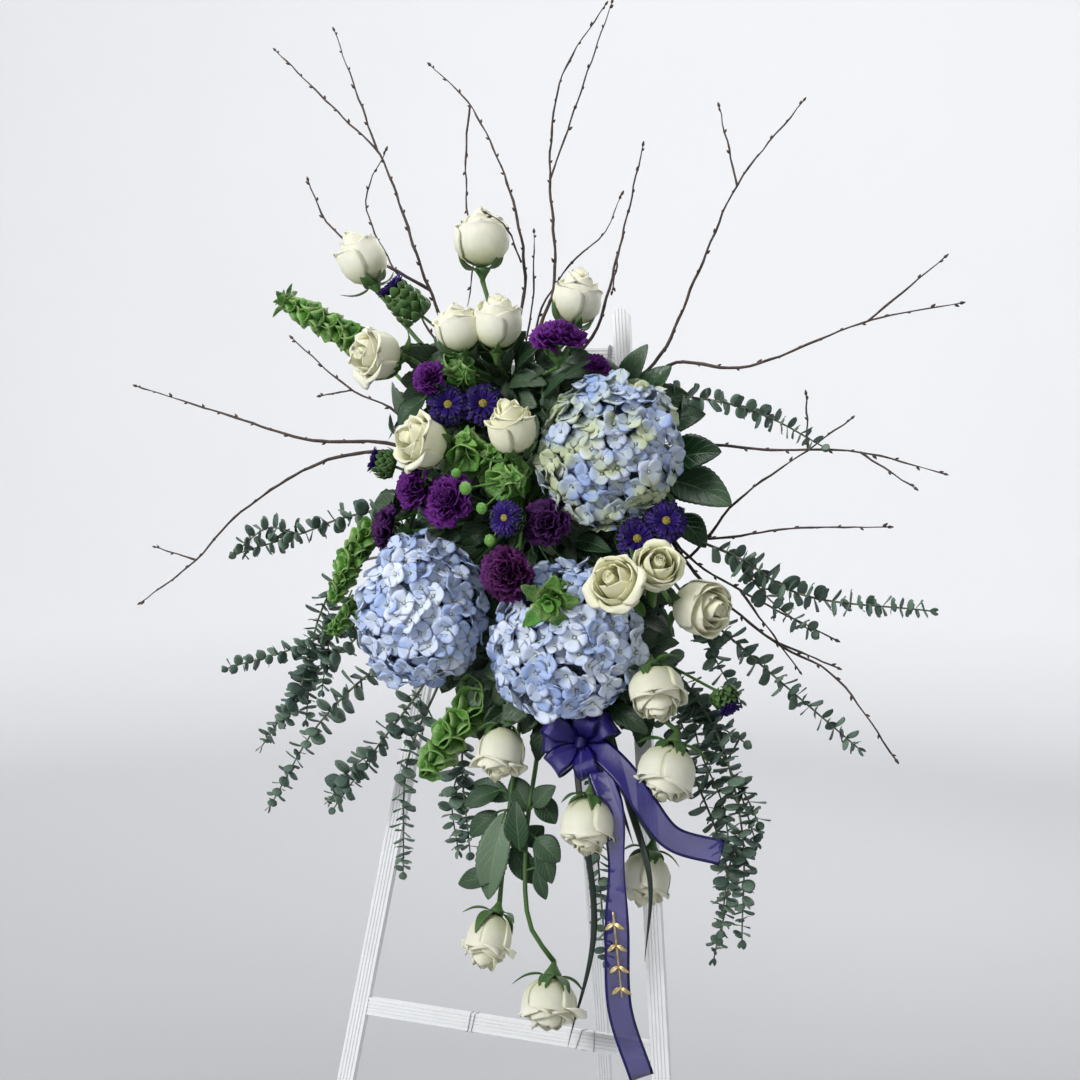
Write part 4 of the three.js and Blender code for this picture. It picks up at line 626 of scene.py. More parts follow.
def standing(base, aim, spin=0.0):
    """The place of a shape that was made along Z, once it stands on a base and points along an aim."""
    turn = spun(Z.rotation_difference(aim).to_matrix(), spin)
    return Matrix.Translation(base) @ turn.to_4x4()


def round_aims(along, count, turn):
    """Directions set evenly round a stem."""
    first = Vector((0.31, 0.47, 0.83))
    first = (first - along * first.dot(along)).normalized()
    return [Matrix.Rotation(turn + TAU * k / count, 3, along) @ first for k in range(count)]


def net(columns, rows, left=-1):
    """The place across, up to 1, and the share along of each point in a net of points."""
    return np.meshgrid(np.linspace(left, 1, columns), np.linspace(0, 1, rows))


def moved(grid, place):
    """A grid of points after a move."""
    flat = grid.reshape(-1, 3) @ np.array(place.to_3x3()).T + np.array(place.translation)
    return flat.reshape(grid.shape)


def joined(x, y, z):
    return np.stack([x, y, z], axis=-1)


def normals_of(surface):
    normals = np.cross(np.gradient(surface, axis=1), np.gradient(surface, axis=0))
    return normals / np.maximum(np.linalg.norm(normals, axis=2, keepdims=True), 1e-12)


class Skin:
    """The closed bodies of one piece, gathered part by part, with a pattern place and a tone for each."""

    def __init__(self):
        self.points = []
        self.faces = []
        self.places = []
        self.tones = []
        self.count = 0

    def body(self, grids, tone=0.5):
        """Adds one closed body, made of grids of points whose shared edges are merged."""
        points = np.concatenate([grid.reshape(-1, 3) for grid, _ in grids])
        quads, places, start = [], [], 0
        for grid, wrap in grids:
            rows, columns = grid.shape[:2]
            number = start + np.arange(rows * columns).reshape(rows, columns)
            spans = columns if wrap else columns - 1
            j, i = np.meshgrid(np.arange(spans), np.arange(rows - 1))
            k = (j + 1) % columns
            quads.append(np.stack([number[i, j], number[i, k], number[i + 1, k], number[i + 1, j]], axis=-1))
            u = np.stack([j, j + 1, j + 1, j], axis=-1) / spans
            v = np.stack([i, i, i + 1, i + 1], axis=-1) / (rows - 1)
            places.append(np.stack([u, v], axis=-1).reshape(-1, 4, 2))
            start += rows * columns
        quads = np.concatenate([q.reshape(-1, 4) for q in quads])
        places = np.concatenate(places)
        _, first, index = np.unique(np.round(points, 7), axis=0, return_index=True, return_inverse=True)
        points, quads = points[first], index.reshape(-1)[quads]
        corners = points[quads]
        volume = sum(
            np.einsum("ij,ij->i", corners[:, 0], np.cross(corners[:, k], corners[:, k + 1])).sum() for k in (1, 2)
        )
        if volume < 0:
            quads, places = quads[:, ::-1], places[:, ::-1]
        for quad, place in zip((quads + self.count).tolist(), places.tolist()):
            keep = [n for n in range(4) if quad[n] != quad[n - 1]]
            if len(keep) > 2 and len({quad[n] for n in keep}) == len(keep):
                self.faces.append([quad[n] for n in keep])
                self.places.extend(place[n] for n in keep)
                self.tones.append(tone)
        self.points.append(points)
        self.count += len(points)

    def sheet(self, surface, thick, tone=0.5):
        """A thin closed sheet over a grid of points, thinned to nothing at its edges."""
        inside = np.zeros(surface.shape[:2])
        inside[1:-1, 1:-1] = 1
        lift = normals_of(surface) * (inside * thick / 2)[..., None]
        self.body([(surface + lift, False), ((surface - lift)[:, ::-1], False)], tone)

    def rod(self, path, radii, sides=8, tone=0.5):
        """A round rod along a path, with a radius at each point and closed ends."""
        path = array(path)
        radii = np.broadcast_to(np.array(radii, dtype=float), len(path))
        along = np.gradient(path, axis=0)
        along /= np.linalg.norm(along, axis=1, keepdims=True)
        across = np.array((0.37, 0.61, 0.7))
        angles = np.linspace(0, TAU, sides, endpoint=False)
        rings = [np.tile(path[0], (sides, 1))]
        for point, way, radius in zip(path, along, radii):
            across = across - way * across.dot(way)
            across = across / np.linalg.norm(across)
            third = np.cross(way, across)
            rings.append(point + radius * (np.outer(np.cos(angles), across) + np.outer(np.sin(angles), third)))
        rings.append(np.tile(path[-1], (sides, 1)))
        self.body([(np.array(rings), True)], tone)

    def turned(self, profile, sides, place=None, wave=0.0, waves=5, tone=0.5, size=1.0):
        """A body turned round Z from a closed profile of radius and height pairs, times a size."""
        angles = np.linspace(0, TAU, sides, endpoint=False)
        swell = 1 + wave * np.cos(waves * angles)
        radii, heights = (np.array(profile, dtype=float) * size).T[..., None]
        grid = joined(radii * swell * np.cos(angles), radii * swell * np.sin(angles), heights + 0 * angles)
        self.body([(moved(grid, place) if place else grid, True)], tone)

    def mesh(self, name, coat=None, marked=True):
        """The gathered bodies as one mesh."""
        mesh = bpy.data.meshes.new(name)
        mesh.from_pydata(np.concatenate(self.points).tolist(), [], self.faces)
        mesh.uv_layers.new(name="Pattern").data.foreach_set("uv", np.array(self.places, dtype=float).ravel())
        if marked:
            mesh.attributes.new("tone", "FLOAT", "FACE").data.foreach_set("value", self.tones)
        mesh.polygons.foreach_set("use_smooth", [True] * len(mesh.polygons))
        if coat:
            mesh.materials.append(coat)
        return mesh


def shown(name, data):
    """A new object in the scene."""
    thing = bpy.data.objects.new(name, data)
    bpy.context.scene.collection.objects.link(thing)
    return thing


def place_piece(name, made, nodes, coat=None):
    """Puts a finished mesh or skin in the scene in place of its nodes, riding on the stand."""
    mesh = made.mesh(name, coat) if isinstance(made, Skin) else made
    mesh.transform(PLANE)
    piece = shown(name, mesh)
    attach(piece, "stand")
    if nodes:
        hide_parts(*nodes)
    return piece


# Geometry node trees.


class Nodes:
    """A tree of nodes, built up by short calls."""

    def __init__(self, tree):
        self.tree = tree

    def give(self, value, socket):
        """Links a socket to another, or sets its value."""
        if isinstance(value, bpy.types.NodeSocket):
            self.tree.links.new(value, socket)
        elif isinstance(value, tuple) and len(value) == 3 and socket.type == "RGBA":
            socket.default_value = (*value, 1)
        else:
            socket.default_value = value

    def node(self, kind, inputs=None, **settings):
        """A node with its settings and what its named inputs are given."""
        node = self.tree.nodes.new(kind)
        for key, value in settings.items():
            setattr(node, key, value)
        for key, value in (inputs or {}).items():
            self.give(value, node.inputs[key])
        return node

    def maths(self, operation, *values):
        node = self.node("ShaderNodeMath", operation=operation)
        for value, socket in zip(values, node.inputs):
            self.give(value, socket)
        return node.outputs[0]

    def times(self, a, b):
        return self.maths("MULTIPLY", a, b)


class Tree(Nodes):
    """A geometry node tree with named inputs: a label, a kind and a default for each."""

    def __init__(self, name, *inputs):
        super().__init__(bpy.data.node_groups.new(name, "GeometryNodeTree"))
        self.tree.is_modifier = True
        new_socket = self.tree.interface.new_socket
        new_socket("Geometry", in_out="INPUT", socket_type="NodeSocketGeometry")
        new_socket("Geometry", in_out="OUTPUT", socket_type="NodeSocketGeometry")
        self.sockets = {}
        for label, kind, default in (*inputs, ("Finish", "Material", None)):
            socket = new_socket(label, in_out="INPUT", socket_type="NodeSocket" + kind)
            if default is not None:
                socket.default_value = default
            self.sockets[label] = socket.identifier
        self.given = self.node("NodeGroupInput").outputs
        self.output = self.node("NodeGroupOutput").inputs["Geometry"]

    def chance(self, low, high, shift=0):
        """A random number for each point, from the tree's own seed."""
        seed = self.maths("ADD", self.given["Seed"], shift)
        node = self.node("FunctionNodeRandomValue", {"Seed": seed}, data_type="FLOAT")
        for value, socket in zip((low, high), [s for s in node.inputs if s.type == "VALUE" and s.enabled]):
            self.give(value, socket)
        return next(s for s in node.outputs if s.type == "VALUE" and s.enabled)

    def near(self, middle, spread, shift=0):
        """A random number for each point, at most a spread away from a middle."""
        low, high = self.maths("SUBTRACT", middle, spread), self.maths("ADD", middle, spread)
        return self.chance(low, high, shift)

    def copies(self, points, piece, turn, scale):
        """A copy of a piece at each point."""
        source = self.node("GeometryNodeObjectInfo", {"Object": piece}, transform_space="ORIGINAL")
        inputs = {"Points": points, "Instance": source.outputs["Geometry"], "Rotation": turn, "Scale": scale}
        return self.node("GeometryNodeInstanceOnPoints", inputs).outputs["Instances"]

    def shifted(self, geometry, way, far):
        """A geometry whose points are moved along a way."""
        push = self.node("ShaderNodeVectorMath", {0: way, "Scale": far}, operation="SCALE").outputs[0]
        return self.node("GeometryNodeSetPosition", {"Geometry": geometry, "Offset": push}).outputs["Geometry"]

    def end(self, geometry):
        """Makes the instances real and gives them the finish."""
        real = self.node("GeometryNodeRealizeInstances", {"Geometry": geometry}).outputs["Geometry"]
        inputs = {"Geometry": real, "Material": self.given["Finish"]}
        self.give(self.node("GeometryNodeSetMaterial", inputs).outputs["Geometry"], self.output)
        return self


@cache
def repeats_tree():
    """Sets a copy of a piece at each marked point, by the point's own turn and size."""
    tree = Tree(
        "Pieces at marked points", ("Piece", "Object", None), ("Size spread", "Float", 0.1), ("Seed", "Int", 0)
    )
    turn, size = (
        tree.node("GeometryNodeInputNamedAttribute", {"Name": name}, data_type=kind).outputs["Attribute"]
        for name, kind in (("turn", "FLOAT_VECTOR"), ("size", "FLOAT"))
    )
    scale = tree.times(size, tree.near(1.0, tree.given["Size spread"]))
    return tree.end(tree.copies(tree.given["Geometry"], tree.given["Piece"], turn, scale))


@cache
def head_tree():
    """Covers a rounded head with florets that face out, each turned, sized and raised by chance."""
    tree = Tree(
        "Florets over a head",
        ("Floret", "Object", None),
        ("Spacing", "Float", 0.016),
        ("Size spread", "Float", 0.2),
        ("Tilt", "Float", 0.5),
        ("Lift", "Float", 0.004),
        ("Seed", "Int", 0),
    )
    given = tree.given
    inputs = {
        "Mesh": given["Geometry"],
        "Distance Min": given["Spacing"],
        "Density Max": FLORETS_AT_MOST,
        "Seed": given["Seed"],
    }
    scatter = tree.node("GeometryNodeDistributePointsOnFaces", inputs, distribute_method="POISSON").outputs
    turns = {
        "X": tree.near(0.0, given["Tilt"], 1),
        "Y": tree.near(0.0, given["Tilt"], 2),
        "Z": tree.chance(0.0, TAU, 3),
    }
    inputs = {
        "Rotation": scatter["Rotation"],
        "Rotate By": tree.node("ShaderNodeCombineXYZ", turns).outputs[0],
    }
    spin = tree.node("FunctionNodeRotateRotation", inputs, rotation_space="LOCAL").outputs[0]
    raised = tree.shifted(scatter["Points"], scatter["Normal"], tree.near(0.0, given["Lift"], 6))
    copies = tree.copies(raised, given["Floret"], spin, tree.near(1.0, given["Size spread"], 4))
    marked = tree.node(
        "GeometryNodeStoreNamedAttribute",
        {"Geometry": copies, "Name": "tone"},
        data_type="FLOAT",
        domain="INSTANCE",
    )
    tree.give(tree.chance(0.0, 1.0, 5), next(s for s in marked.inputs if s.name == "Value" and s.enabled))
    return tree.end(marked.outputs["Geometry"])


@cache
def twig_tree():
    """Makes a knotty twig along a curve, from the curve's own radius."""
    tree = Tree(
        "Twig along a curve", ("Sides", "Int", 8), ("Knot height", "Float", 0.0018), ("Knot scale", "Float", 90.0)
    )
    profile = tree.node("GeometryNodeCurvePrimitiveCircle", {"Radius": 1.0, "Resolution": tree.given["Sides"]})
    inputs = {"Curve": tree.given["Geometry"], "Profile Curve": profile.outputs["Curve"], "Fill Caps": True}
    sweep = tree.node("GeometryNodeCurveToMesh", inputs)
    if "Scale" in sweep.inputs:
        tree.give(tree.node("GeometryNodeInputRadius").outputs[0], sweep.inputs["Scale"])
    noise = tree.node("ShaderNodeTexNoise", {"Scale": tree.given["Knot scale"]}, noise_dimensions="3D")
    height = tree.times(tree.maths("SUBTRACT", noise.outputs[0], 0.5), tree.given["Knot height"])
    way = tree.node("GeometryNodeInputNormal").outputs[0]
    return tree.end(tree.shifted(sweep.outputs["Mesh"], way, height))


def grown(data, tree, inputs):
    """The plain mesh that a tree makes from a piece of data, a mesh or a curve."""
    holder = shown("grown", data)
    modifier = holder.modifiers.new("Tree", "NODES")
    modifier.node_group = tree.tree
    for label, value in inputs.items():
        modifier[tree.sockets[label]] = value
    mesh = bpy.data.meshes.new_from_object(holder.evaluated_get(bpy.context.evaluated_depsgraph_get()))
    holder.modifiers.remove(modifier)
    bpy.data.objects.remove(holder)
    if not mesh.polygons:
        raise RuntimeError(f"The tree {tree.tree.name} made nothing")
    mesh.polygons.foreach_set("use_smooth", [True] * len(mesh.polygons))
    return mesh


def pattern_piece(name, skin):
    """A small piece that a tree repeats, kept only while the tree runs."""
    return shown(name, skin.mesh(name, marked=False))


def repeated(name, pattern, places, coat, spread=0.1, seed=0):
    """One mesh with a copy of a pattern piece at each place: a point, a turn, a size and a tone."""
    points, turns, sizes, tones = zip(*places)
    marks = bpy.data.meshes.new(name)
    marks.from_pydata([tuple(point) for point in points], [], [])
    angles = [angle for turn in turns for angle in turn.to_euler()]
    marks.attributes.new("turn", "FLOAT_VECTOR", "POINT").data.foreach_set("vector", angles)
    for mark, values in (("size", sizes), ("tone", tones)):
        marks.attributes.new(mark, "FLOAT", "POINT").data.foreach_set("value", values)
    inputs = {"Piece": pattern, "Size spread": spread, "Seed": seed, "Finish": coat}
    return grown(marks, repeats_tree(), inputs)


def forget(*pieces):
    for piece in pieces:
        bpy.data.objects.remove(piece)


# Materials.


def shade(code):
    """A colour from its web code, as the linear numbers that a shader takes."""
    values = [int(code[i : i + 2], 16) / 255 for i in (1, 3, 5)]
    return tuple(v / 12.92 if v <= 0.04045 else ((v + 0.055) / 1.055) ** 2.4 for v in values)


class Finish(Nodes):
    """A material made of nodes, from the shader back."""

    def __init__(self, name, **sockets):
        self.material = bpy.data.materials.new(name)
        self.material.use_nodes = True
        super().__init__(self.material.node_tree)
        self.shader = self.tree.nodes["Principled BSDF"].inputs
        for key, value in sockets.items():
            self.shader[key.replace("_", " ")].default_value = value
        self.spots = {}

    def where(self, kind="Object", stretch=(1, 1, 1)):
        """Coordinates of a kind, Object or UV, stretched."""
        key = (kind, stretch)
        if key not in self.spots:
            source = self.node("ShaderNodeTexCoord").outputs[kind]
            mapping = self.node("ShaderNodeMapping", {"Vector": source, "Scale": stretch})
            self.spots[key] = mapping.outputs["Vector"]
        return self.spots[key]

    def pattern_place(self):
        """The share across a part and the share along it."""
        split = self.node("ShaderNodeSeparateXYZ", {0: self.where("UV")})
        return split.outputs["X"], split.outputs["Y"]

    def noise(self, scale, detail=4.0, where=None, warp=0.0):
        inputs = {"Vector": where or self.where(), "Scale": scale, "Detail": detail, "Distortion": warp}
        return self.node("ShaderNodeTexNoise", inputs).outputs[0]

    def cells(self, scale, feature="F1"):
        inputs = {"Vector": self.where(), "Scale": scale}
        return self.node("ShaderNodeTexVoronoi", inputs, feature=feature).outputs["Distance"]

    def tone(self):
        return self.node("ShaderNodeAttribute", attribute_name="tone").outputs["Fac"]

    def ramp(self, level, *stops):
        """A run of colours or of levels, each at its place."""
        node = self.node("ShaderNodeValToRGB", {"Fac": level})
        elements = node.color_ramp.elements
        while len(elements) < len(stops):
            elements.new(0.5)
        for element, (place, colour) in zip(elements, stops):
            element.position = place
            element.color = (*colour, 1) if isinstance(colour, tuple) else (colour, colour, colour, 1)
        return node.outputs["Color"]

    def rise(self, level, low, high):
        """From 0 to 1 between two levels, or from 1 to 0 with fall."""
        return self.ramp(level, (low, 0.0), (high, 1.0))

    def fall(self, level, low, high):
        return self.ramp(level, (low, 1.0), (high, 0.0))

    def mix(self, share, a, b, blend="MIX"):
        node = self.node("ShaderNodeMix", {"Factor": share}, data_type="RGBA", blend_type=blend)
        for value, socket in zip((a, b), [s for s in node.inputs if s.type == "RGBA"]):
            self.give(value, socket)
        return next(s for s in node.outputs if s.type == "RGBA")

    def colour(self, value):
        self.give(value, self.shader["Base Color"])

    def rough(self, level, change, least):
        """A roughness that follows a level up from the least."""
        self.give(self.maths("MULTIPLY_ADD", level, change, least), self.shader["Roughness"])

    def bump(self, height, distance, strength=1.0):
        inputs = {"Height": height, "Distance": distance, "Strength": strength}
        self.give(self.node("ShaderNodeBump", inputs).outputs["Normal"], self.shader["Normal"])


def darker(colour, share):
    return tuple(c * share for c in colour)


def between(a, b, share):
    return tuple(x + (y - x) * share for x, y in zip(a, b))


def colour_of(name):
    """A colour as it is set in the sidebar."""
    return tuple(getattr(bpy.context.scene.spray_colours, name))


@cache
def white_paint(way):
    """White paint on wood: a very faint grain along the piece, soft unevenness and a few grey rubs."""
    f = Finish("White paint " + way, Roughness=0.42)
    paint = colour_of("easel_paint")
    grain = f.noise(9, 5, f.where("Object", (14, 14, 1) if way == "upright" else (1, 14, 14)))
    rubs = f.maths("POWER", f.noise(22, 6, warp=0.6), 4.0)
    coat = f.mix(f.rise(grain, 0.3, 0.7), darker(paint, 0.95), paint)
    f.colour(f.mix(f.times(rubs, 0.7), coat, darker(paint, 0.6)))
    f.rough(grain, 0.25, 0.32)
    f.bump(f.maths("ADD", grain, f.times(f.noise(400, 2), 0.3)), 0.0002, 0.35)
    return f.material


@cache
def bright_steel():
    """Zinc-plated steel with fine streaks and a few dull spots."""
    f = Finish("Plated steel", Roughness=0.35, Metallic=0.9)
    streaks = f.noise(60, 4, f.where("Object", (1, 1, 12)))
    f.colour(f.ramp(streaks, (0.3, (0.33, 0.34, 0.36)), (0.7, (0.58, 0.59, 0.62))))
    f.rough(streaks, 0.3, 0.2)
    f.bump(streaks, 0.0002, 0.5)
    return f.material


@cache
def tray_plastic():
    """Moulded dark green plastic with a fine grain."""
    f = Finish("Tray plastic", Roughness=0.45)
    f.colour(f.ramp(f.noise(35, 3), (0.3, (0.010, 0.035, 0.018)), (0.7, (0.018, 0.055, 0.028))))
    f.bump(f.noise(900, 2), 0.0002, 0.6)
    return f.material


@cache
def wet_foam():
    """Wet floral foam: dark green, with painted shade in its open pores."""
    f = Finish("Wet foam", Roughness=0.9)
    pores_and_shade = f.cells(420)
    # Painted shade: the colour is darkest in the pores.
    f.colour(f.mix(f.times(pores_and_shade, 1.6), (0.012, 0.05, 0.02), (0.035, 0.12, 0.045)))
    f.bump(f.maths("ADD", pores_and_shade, f.noise(60, 5)), 0.0012, 0.8)
    return f.material


@cache
def rose_petal():
    """Creamy white rose petals: green at the foot, warm in the folds, with fine veins."""
    f = Finish(
        "Rose petal",
        Roughness=0.55,
        Specular_IOR_Level=0.3,
        Subsurface_Weight=0.35,
        Subsurface_Scale=0.008,
        Subsurface_Radius=(0.9, 0.9, 0.5),
    )
    cream, green = colour_of("rose_cream"), colour_of("rose_foot")
    _, along = f.pattern_place()
    length = f.ramp(along, (0.0, green), (0.34, between(green, cream, 0.75)), (0.7, cream))
    depth = f.maths("MINIMUM", f.times(f.tone(), 0.8), 0.85)
    warm = f.mix(depth, length, between(cream, (0.86, 0.84, 0.34), 0.66))
    blotch = f.ramp(f.noise(55, 5, warp=0.5), (0.35, 0.93), (0.65, 1.0))
    f.colour(f.mix(1.0, warm, blotch, "MULTIPLY"))
    veins = f.noise(14, 3, f.where("UV", (7, 0.7, 1)), 0.3)
    f.bump(f.maths("ADD", veins, f.times(f.noise(160, 3), 0.5)), 0.0006, 0.5)
    f.rough(veins, 0.2, 0.42)
    return f.material


@cache
def hydrangea_petal(kind):
    """Hydrangea petals: periwinkle to almost white, pale at the eye, each floret its own tone."""
    f = Finish(
        "Hydrangea petal " + kind,
        Roughness=0.55,
        Specular_IOR_Level=0.3,
        Subsurface_Weight=0.1,
        Subsurface_Scale=0.003,
        Subsurface_Radius=(0.7, 0.8, 1.0),
    )
    blue, white, young = (colour_of("hydrangea_" + name) for name in ("blue", "pale", "young"))
    _, along = f.pattern_place()
    patch = f.ramp(f.noise(14, 2), (0.42, 0.0 if kind == "young" else 0.4), (0.62, 1.0))
    petal = f.mix(f.maths("MULTIPLY_ADD", f.tone(), 0.75, f.times(patch, 0.3)), blue, white)
    if kind == "young":
        green = f.times(f.rise(f.noise(24, 2), 0.4, 0.56), 0.78)
        petal = f.mix(green, f.mix(0.2, petal, darker(blue, 0.4)), darker(young, 0.8))
    eye = f.ramp(along, (0.0, 1.0), (0.16, 0.75), (0.45, 0.0))
    petal = f.mix(f.times(eye, 0.75), petal, between(white, young, 0.4))
    f.colour(f.mix(f.times(f.rise(along, 0.8, 1.0), 0.35), petal, darker(blue, 0.8)))
    f.bump(f.noise(9, 3, f.where("UV", (5, 1, 1)), 0.4), 0.0005, 0.5)
    return f.material


@cache
def hydrangea_shade():
    """Painted shade deep in a hydrangea head: the inner ball that stands for its crowded small petals and stalks,
    a dark blue-green mottled by cells, so that the gaps between the florets read as shadowed.
    """
    f = Finish("Hydrangea shade", Roughness=0.8)
    deep = between(colour_of("hydrangea_blue"), colour_of("stem_green"), 0.35)
    # Painted shade: the mottled cells only darken the dark blue-green further.
    shade_cells = f.cells(160)
    f.colour(f.mix(f.times(shade_cells, 1.4), darker(deep, 0.7), darker(deep, 0.2)))
    f.bump(shade_cells, 0.003)
    return f.material


@cache
def ruffled_petal(kind):
    """Carnation petals: darkened at the throat by painted shade, and brightened at the frilled rim by a painted
    highlight.
    """
    f = Finish("Carnation petal " + kind, Roughness=0.75, Specular_IOR_Level=0.12)
    rim, bright = colour_of("carnation_" + kind), (0.5, 0.16, 0.7)
    _, along = f.pattern_place()
    # Painted highlight: the frilled rim is blended towards a brighter violet.
    rim_highlight = [(0.9, between(rim, bright, 0.12)), (1.0, between(rim, bright, 0.34))]
    # Painted shade: the throat of each petal is darkened nearly to black.
    depth = f.ramp(along, (0.3, darker(rim, 0.2)), (0.72, rim), *rim_highlight)
    shades = f.mix(f.times(f.tone(), 0.75), depth, darker(rim, 0.4))
    f.colour(f.mix(f.times(f.noise(120), 0.5), shades, darker(rim, 0.6)))
    f.bump(f.noise(12, 3, f.where("UV", (8, 1, 1))), 0.0005, 0.6)
    return f.material


@cache
def aster_ray():
    """Violet rays, darkened near the eye by painted shade and paler at the tip."""
    f = Finish("Aster ray", Roughness=0.75, Specular_IOR_Level=0.15)
    violet = colour_of("aster_violet")
    _, along = f.pattern_place()
    tip = between(violet, (0.4, 0.28, 0.7), 0.14)
    # Painted shade: each ray darkens towards the eye.
    depth = f.ramp(along, (0.0, darker(violet, 0.4)), (0.6, violet), (1.0, tip))
    f.colour(f.mix(f.times(f.tone(), 0.7), depth, darker(violet, 0.4)))
    f.bump(f.noise(10, 2, f.where("UV", (6, 1, 1))), 0.0003, 0.5)
    return f.material


@cache
def aster_eye():
    """Yellow grains with painted shade in the gaps between them."""
    f = Finish("Aster eye", Roughness=0.75)
    grains_and_gap_shade = f.cells(700)
    # Painted shade: the gaps between the grains are dark.
    f.colour(f.mix(f.times(grains_and_gap_shade, 1.5), (0.55, 0.42, 0.05), (0.16, 0.14, 0.02)))
    f.bump(grains_and_gap_shade, 0.0006, 0.8)
    return f.material


def stem_skin(name, colour, rough):
    """Green stems: long fibres, paler ridges and small blemishes."""
    f = Finish(name, Roughness=rough)
    fibre = f.noise(130, 4, f.where("Object", (1, 1, 0.12)))
    skin = f.mix(f.rise(fibre, 0.3, 0.7), darker(colour, 0.6), colour)
    f.colour(f.mix(f.times(f.noise(26, 5), 0.5), skin, between(colour, (0.35, 0.42, 0.12), 0.35)))
    f.bump(fibre, 0.0004, 0.6)
    return f.material


def leaf_skin(name, colour, rough, ribs, pale):
    """A leaf: a pale midrib, side veins that slant to the tip, and blotched green between."""
    f = Finish(name, Roughness=rough, Specular_IOR_Level=0.35)
    across, along = f.pattern_place()
    side = f.maths("ABSOLUTE", f.maths("MULTIPLY_ADD", across, 2.0, -1.0))
    slant = f.maths("SUBTRACT", f.times(along, ribs), f.times(side, ribs * 0.35))
    wave = f.maths("ABSOLUTE", f.maths("SUBTRACT", f.maths("FRACT", slant), 0.5))
    lines = f.maths("MAXIMUM", f.fall(side, 0.0, 0.07), f.times(f.fall(wave, 0.0, 0.09), 0.7))
    blotch = f.noise(38, 5, warp=0.4)
    green = f.mix(f.rise(blotch, 0.3, 0.7), darker(colour, 0.6), colour)
    green = f.mix(f.times(f.tone(), 0.6), green, between(colour, (0.27, 0.38, 0.25), 0.65))
    f.colour(f.mix(f.times(lines, pale), green, between(colour, (0.5, 0.6, 0.3), 0.6)))
    web = f.cells(330, "DISTANCE_TO_EDGE")
    f.bump(f.maths("SUBTRACT", f.times(web, 0.8), lines), 0.0008, 0.6)
    f.rough(blotch, 0.2, rough - 0.1)
    return f.material


@cache
def stem_green():
    return stem_skin("Stem green", colour_of("stem_green"), 0.55)


@cache
def twig_green():
    return stem_skin("Twig green", between(colour_of("eucalyptus"), (0.12, 0.09, 0.05), 0.5), 0.6)


@cache
def rose_leaf():
    return leaf_skin("Rose leaf", colour_of("rose_leaf"), 0.45, 8.0, 0.35)


@cache
def dark_leaf():
    return leaf_skin("Dark leaf", colour_of("dark_leaf"), 0.42, 7.0, 0.2)


@cache
def salal_leaf():
    return leaf_skin("Salal leaf", colour_of("salal_leaf"), 0.3, 6.0, 0.25)


@cache
def eucalyptus_leaf():
    return leaf_skin("Eucalyptus leaf", colour_of("eucalyptus"), 0.62, 4.0, 0.18)


@cache
def bell_green():
    """Papery green bells with a net of paler veins."""
    f = Finish("Bell green", Roughness=0.5, Subsurface_Weight=0.06, Subsurface_Scale=0.003)
    green = colour_of("bell_green")
    across, along = f.pattern_place()
    web = f.fall(f.cells(190, "DISTANCE_TO_EDGE"), 0.0, 0.09)
    rays = f.maths("ABSOLUTE", f.maths("SINE", f.times(across, 5 * math.pi)))
    lines = f.maths("MAXIMUM", f.times(web, 0.7), f.fall(rays, 0.0, 0.16))
    rim = f.fall(f.maths("ABSOLUTE", f.maths("SUBTRACT", along, 0.5)), 0.02, 0.1)
    body = f.mix(f.tone(), green, darker(green, 0.3))
    blotch = f.ramp(f.noise(60), (0.4, 0.0), (0.75, 0.6))
    body = f.mix(blotch, body, between(green, (0.35, 0.5, 0.1), 0.5))
    body = f.mix(f.times(lines, 0.4), body, between(green, (0.5, 0.68, 0.28), 0.6))
    f.colour(f.mix(f.times(rim, 0.45), body, between(green, (0.55, 0.7, 0.3), 0.7)))
    f.bump(lines, 0.0006, 0.7)
    return f.material


@cache
def birch_bark():
    """Dark birch bark: fine rings, pale breathing marks and a dull gloss."""
    f = Finish("Birch bark", Roughness=0.7)
    bark = colour_of("birch_bark")
    rings = f.noise(160, 6)
    marks = f.rise(f.noise(420, 2, f.where("Object", (1, 1, 0.5))), 0.66, 0.72)
    body = f.mix(f.rise(rings, 0.3, 0.7), darker(bark, 0.5), between(bark, (0.2, 0.13, 0.1), 0.3))
    f.colour(f.mix(f.times(marks, 0.45), body, (0.3, 0.25, 0.22)))
    f.bump(rings, 0.0006, 0.8)
    return f.material


@cache
def grass_blade():
    """Dark grass with fine lines along the blade."""
    f = Finish("Grass blade", Roughness=0.35)
    green = colour_of("lily_grass")
    lines = f.noise(6, 3, f.where("UV", (14, 0.2, 1)))
    f.colour(f.mix(f.rise(lines, 0.35, 0.65), darker(green, 0.5), green))
    f.bump(lines, 0.0005, 0.7)
    return f.material


@cache
def organza():
    """Sheer organza with satin edges: a fine weave that lets some light through between them."""
    f = Finish("Organza ribbon", Roughness=0.3)
    violet = colour_of("ribbon")
    across, along = f.pattern_place()
    satin = f.rise(f.maths("ABSOLUTE", f.maths("MULTIPLY_ADD", across, 2.0, -1.0)), 0.72, 0.8)
    warp, weft = (f.maths("SINE", f.times(way, threads)) for way, threads in ((across, 220.0), (along, 1500.0)))
    weave = f.times(f.maths("ADD", warp, weft), 0.25)
    light = between(violet, (0.25, 0.2, 0.8), 0.1)
    shades = f.ramp(f.noise(30, 3, warp=0.5), (0.3, darker(violet, 0.7)), (0.7, light))
    f.colour(f.mix(satin, shades, darker(violet, 0.5)))
    sheer = f.maths("MULTIPLY_ADD", weave, 0.12, 0.66)
    f.give(f.maths("MAXIMUM", sheer, satin), f.shader["Alpha"])
    f.bump(weave, 0.0002, 0.4)
    f.rough(satin, -0.1, 0.32)
    return f.material


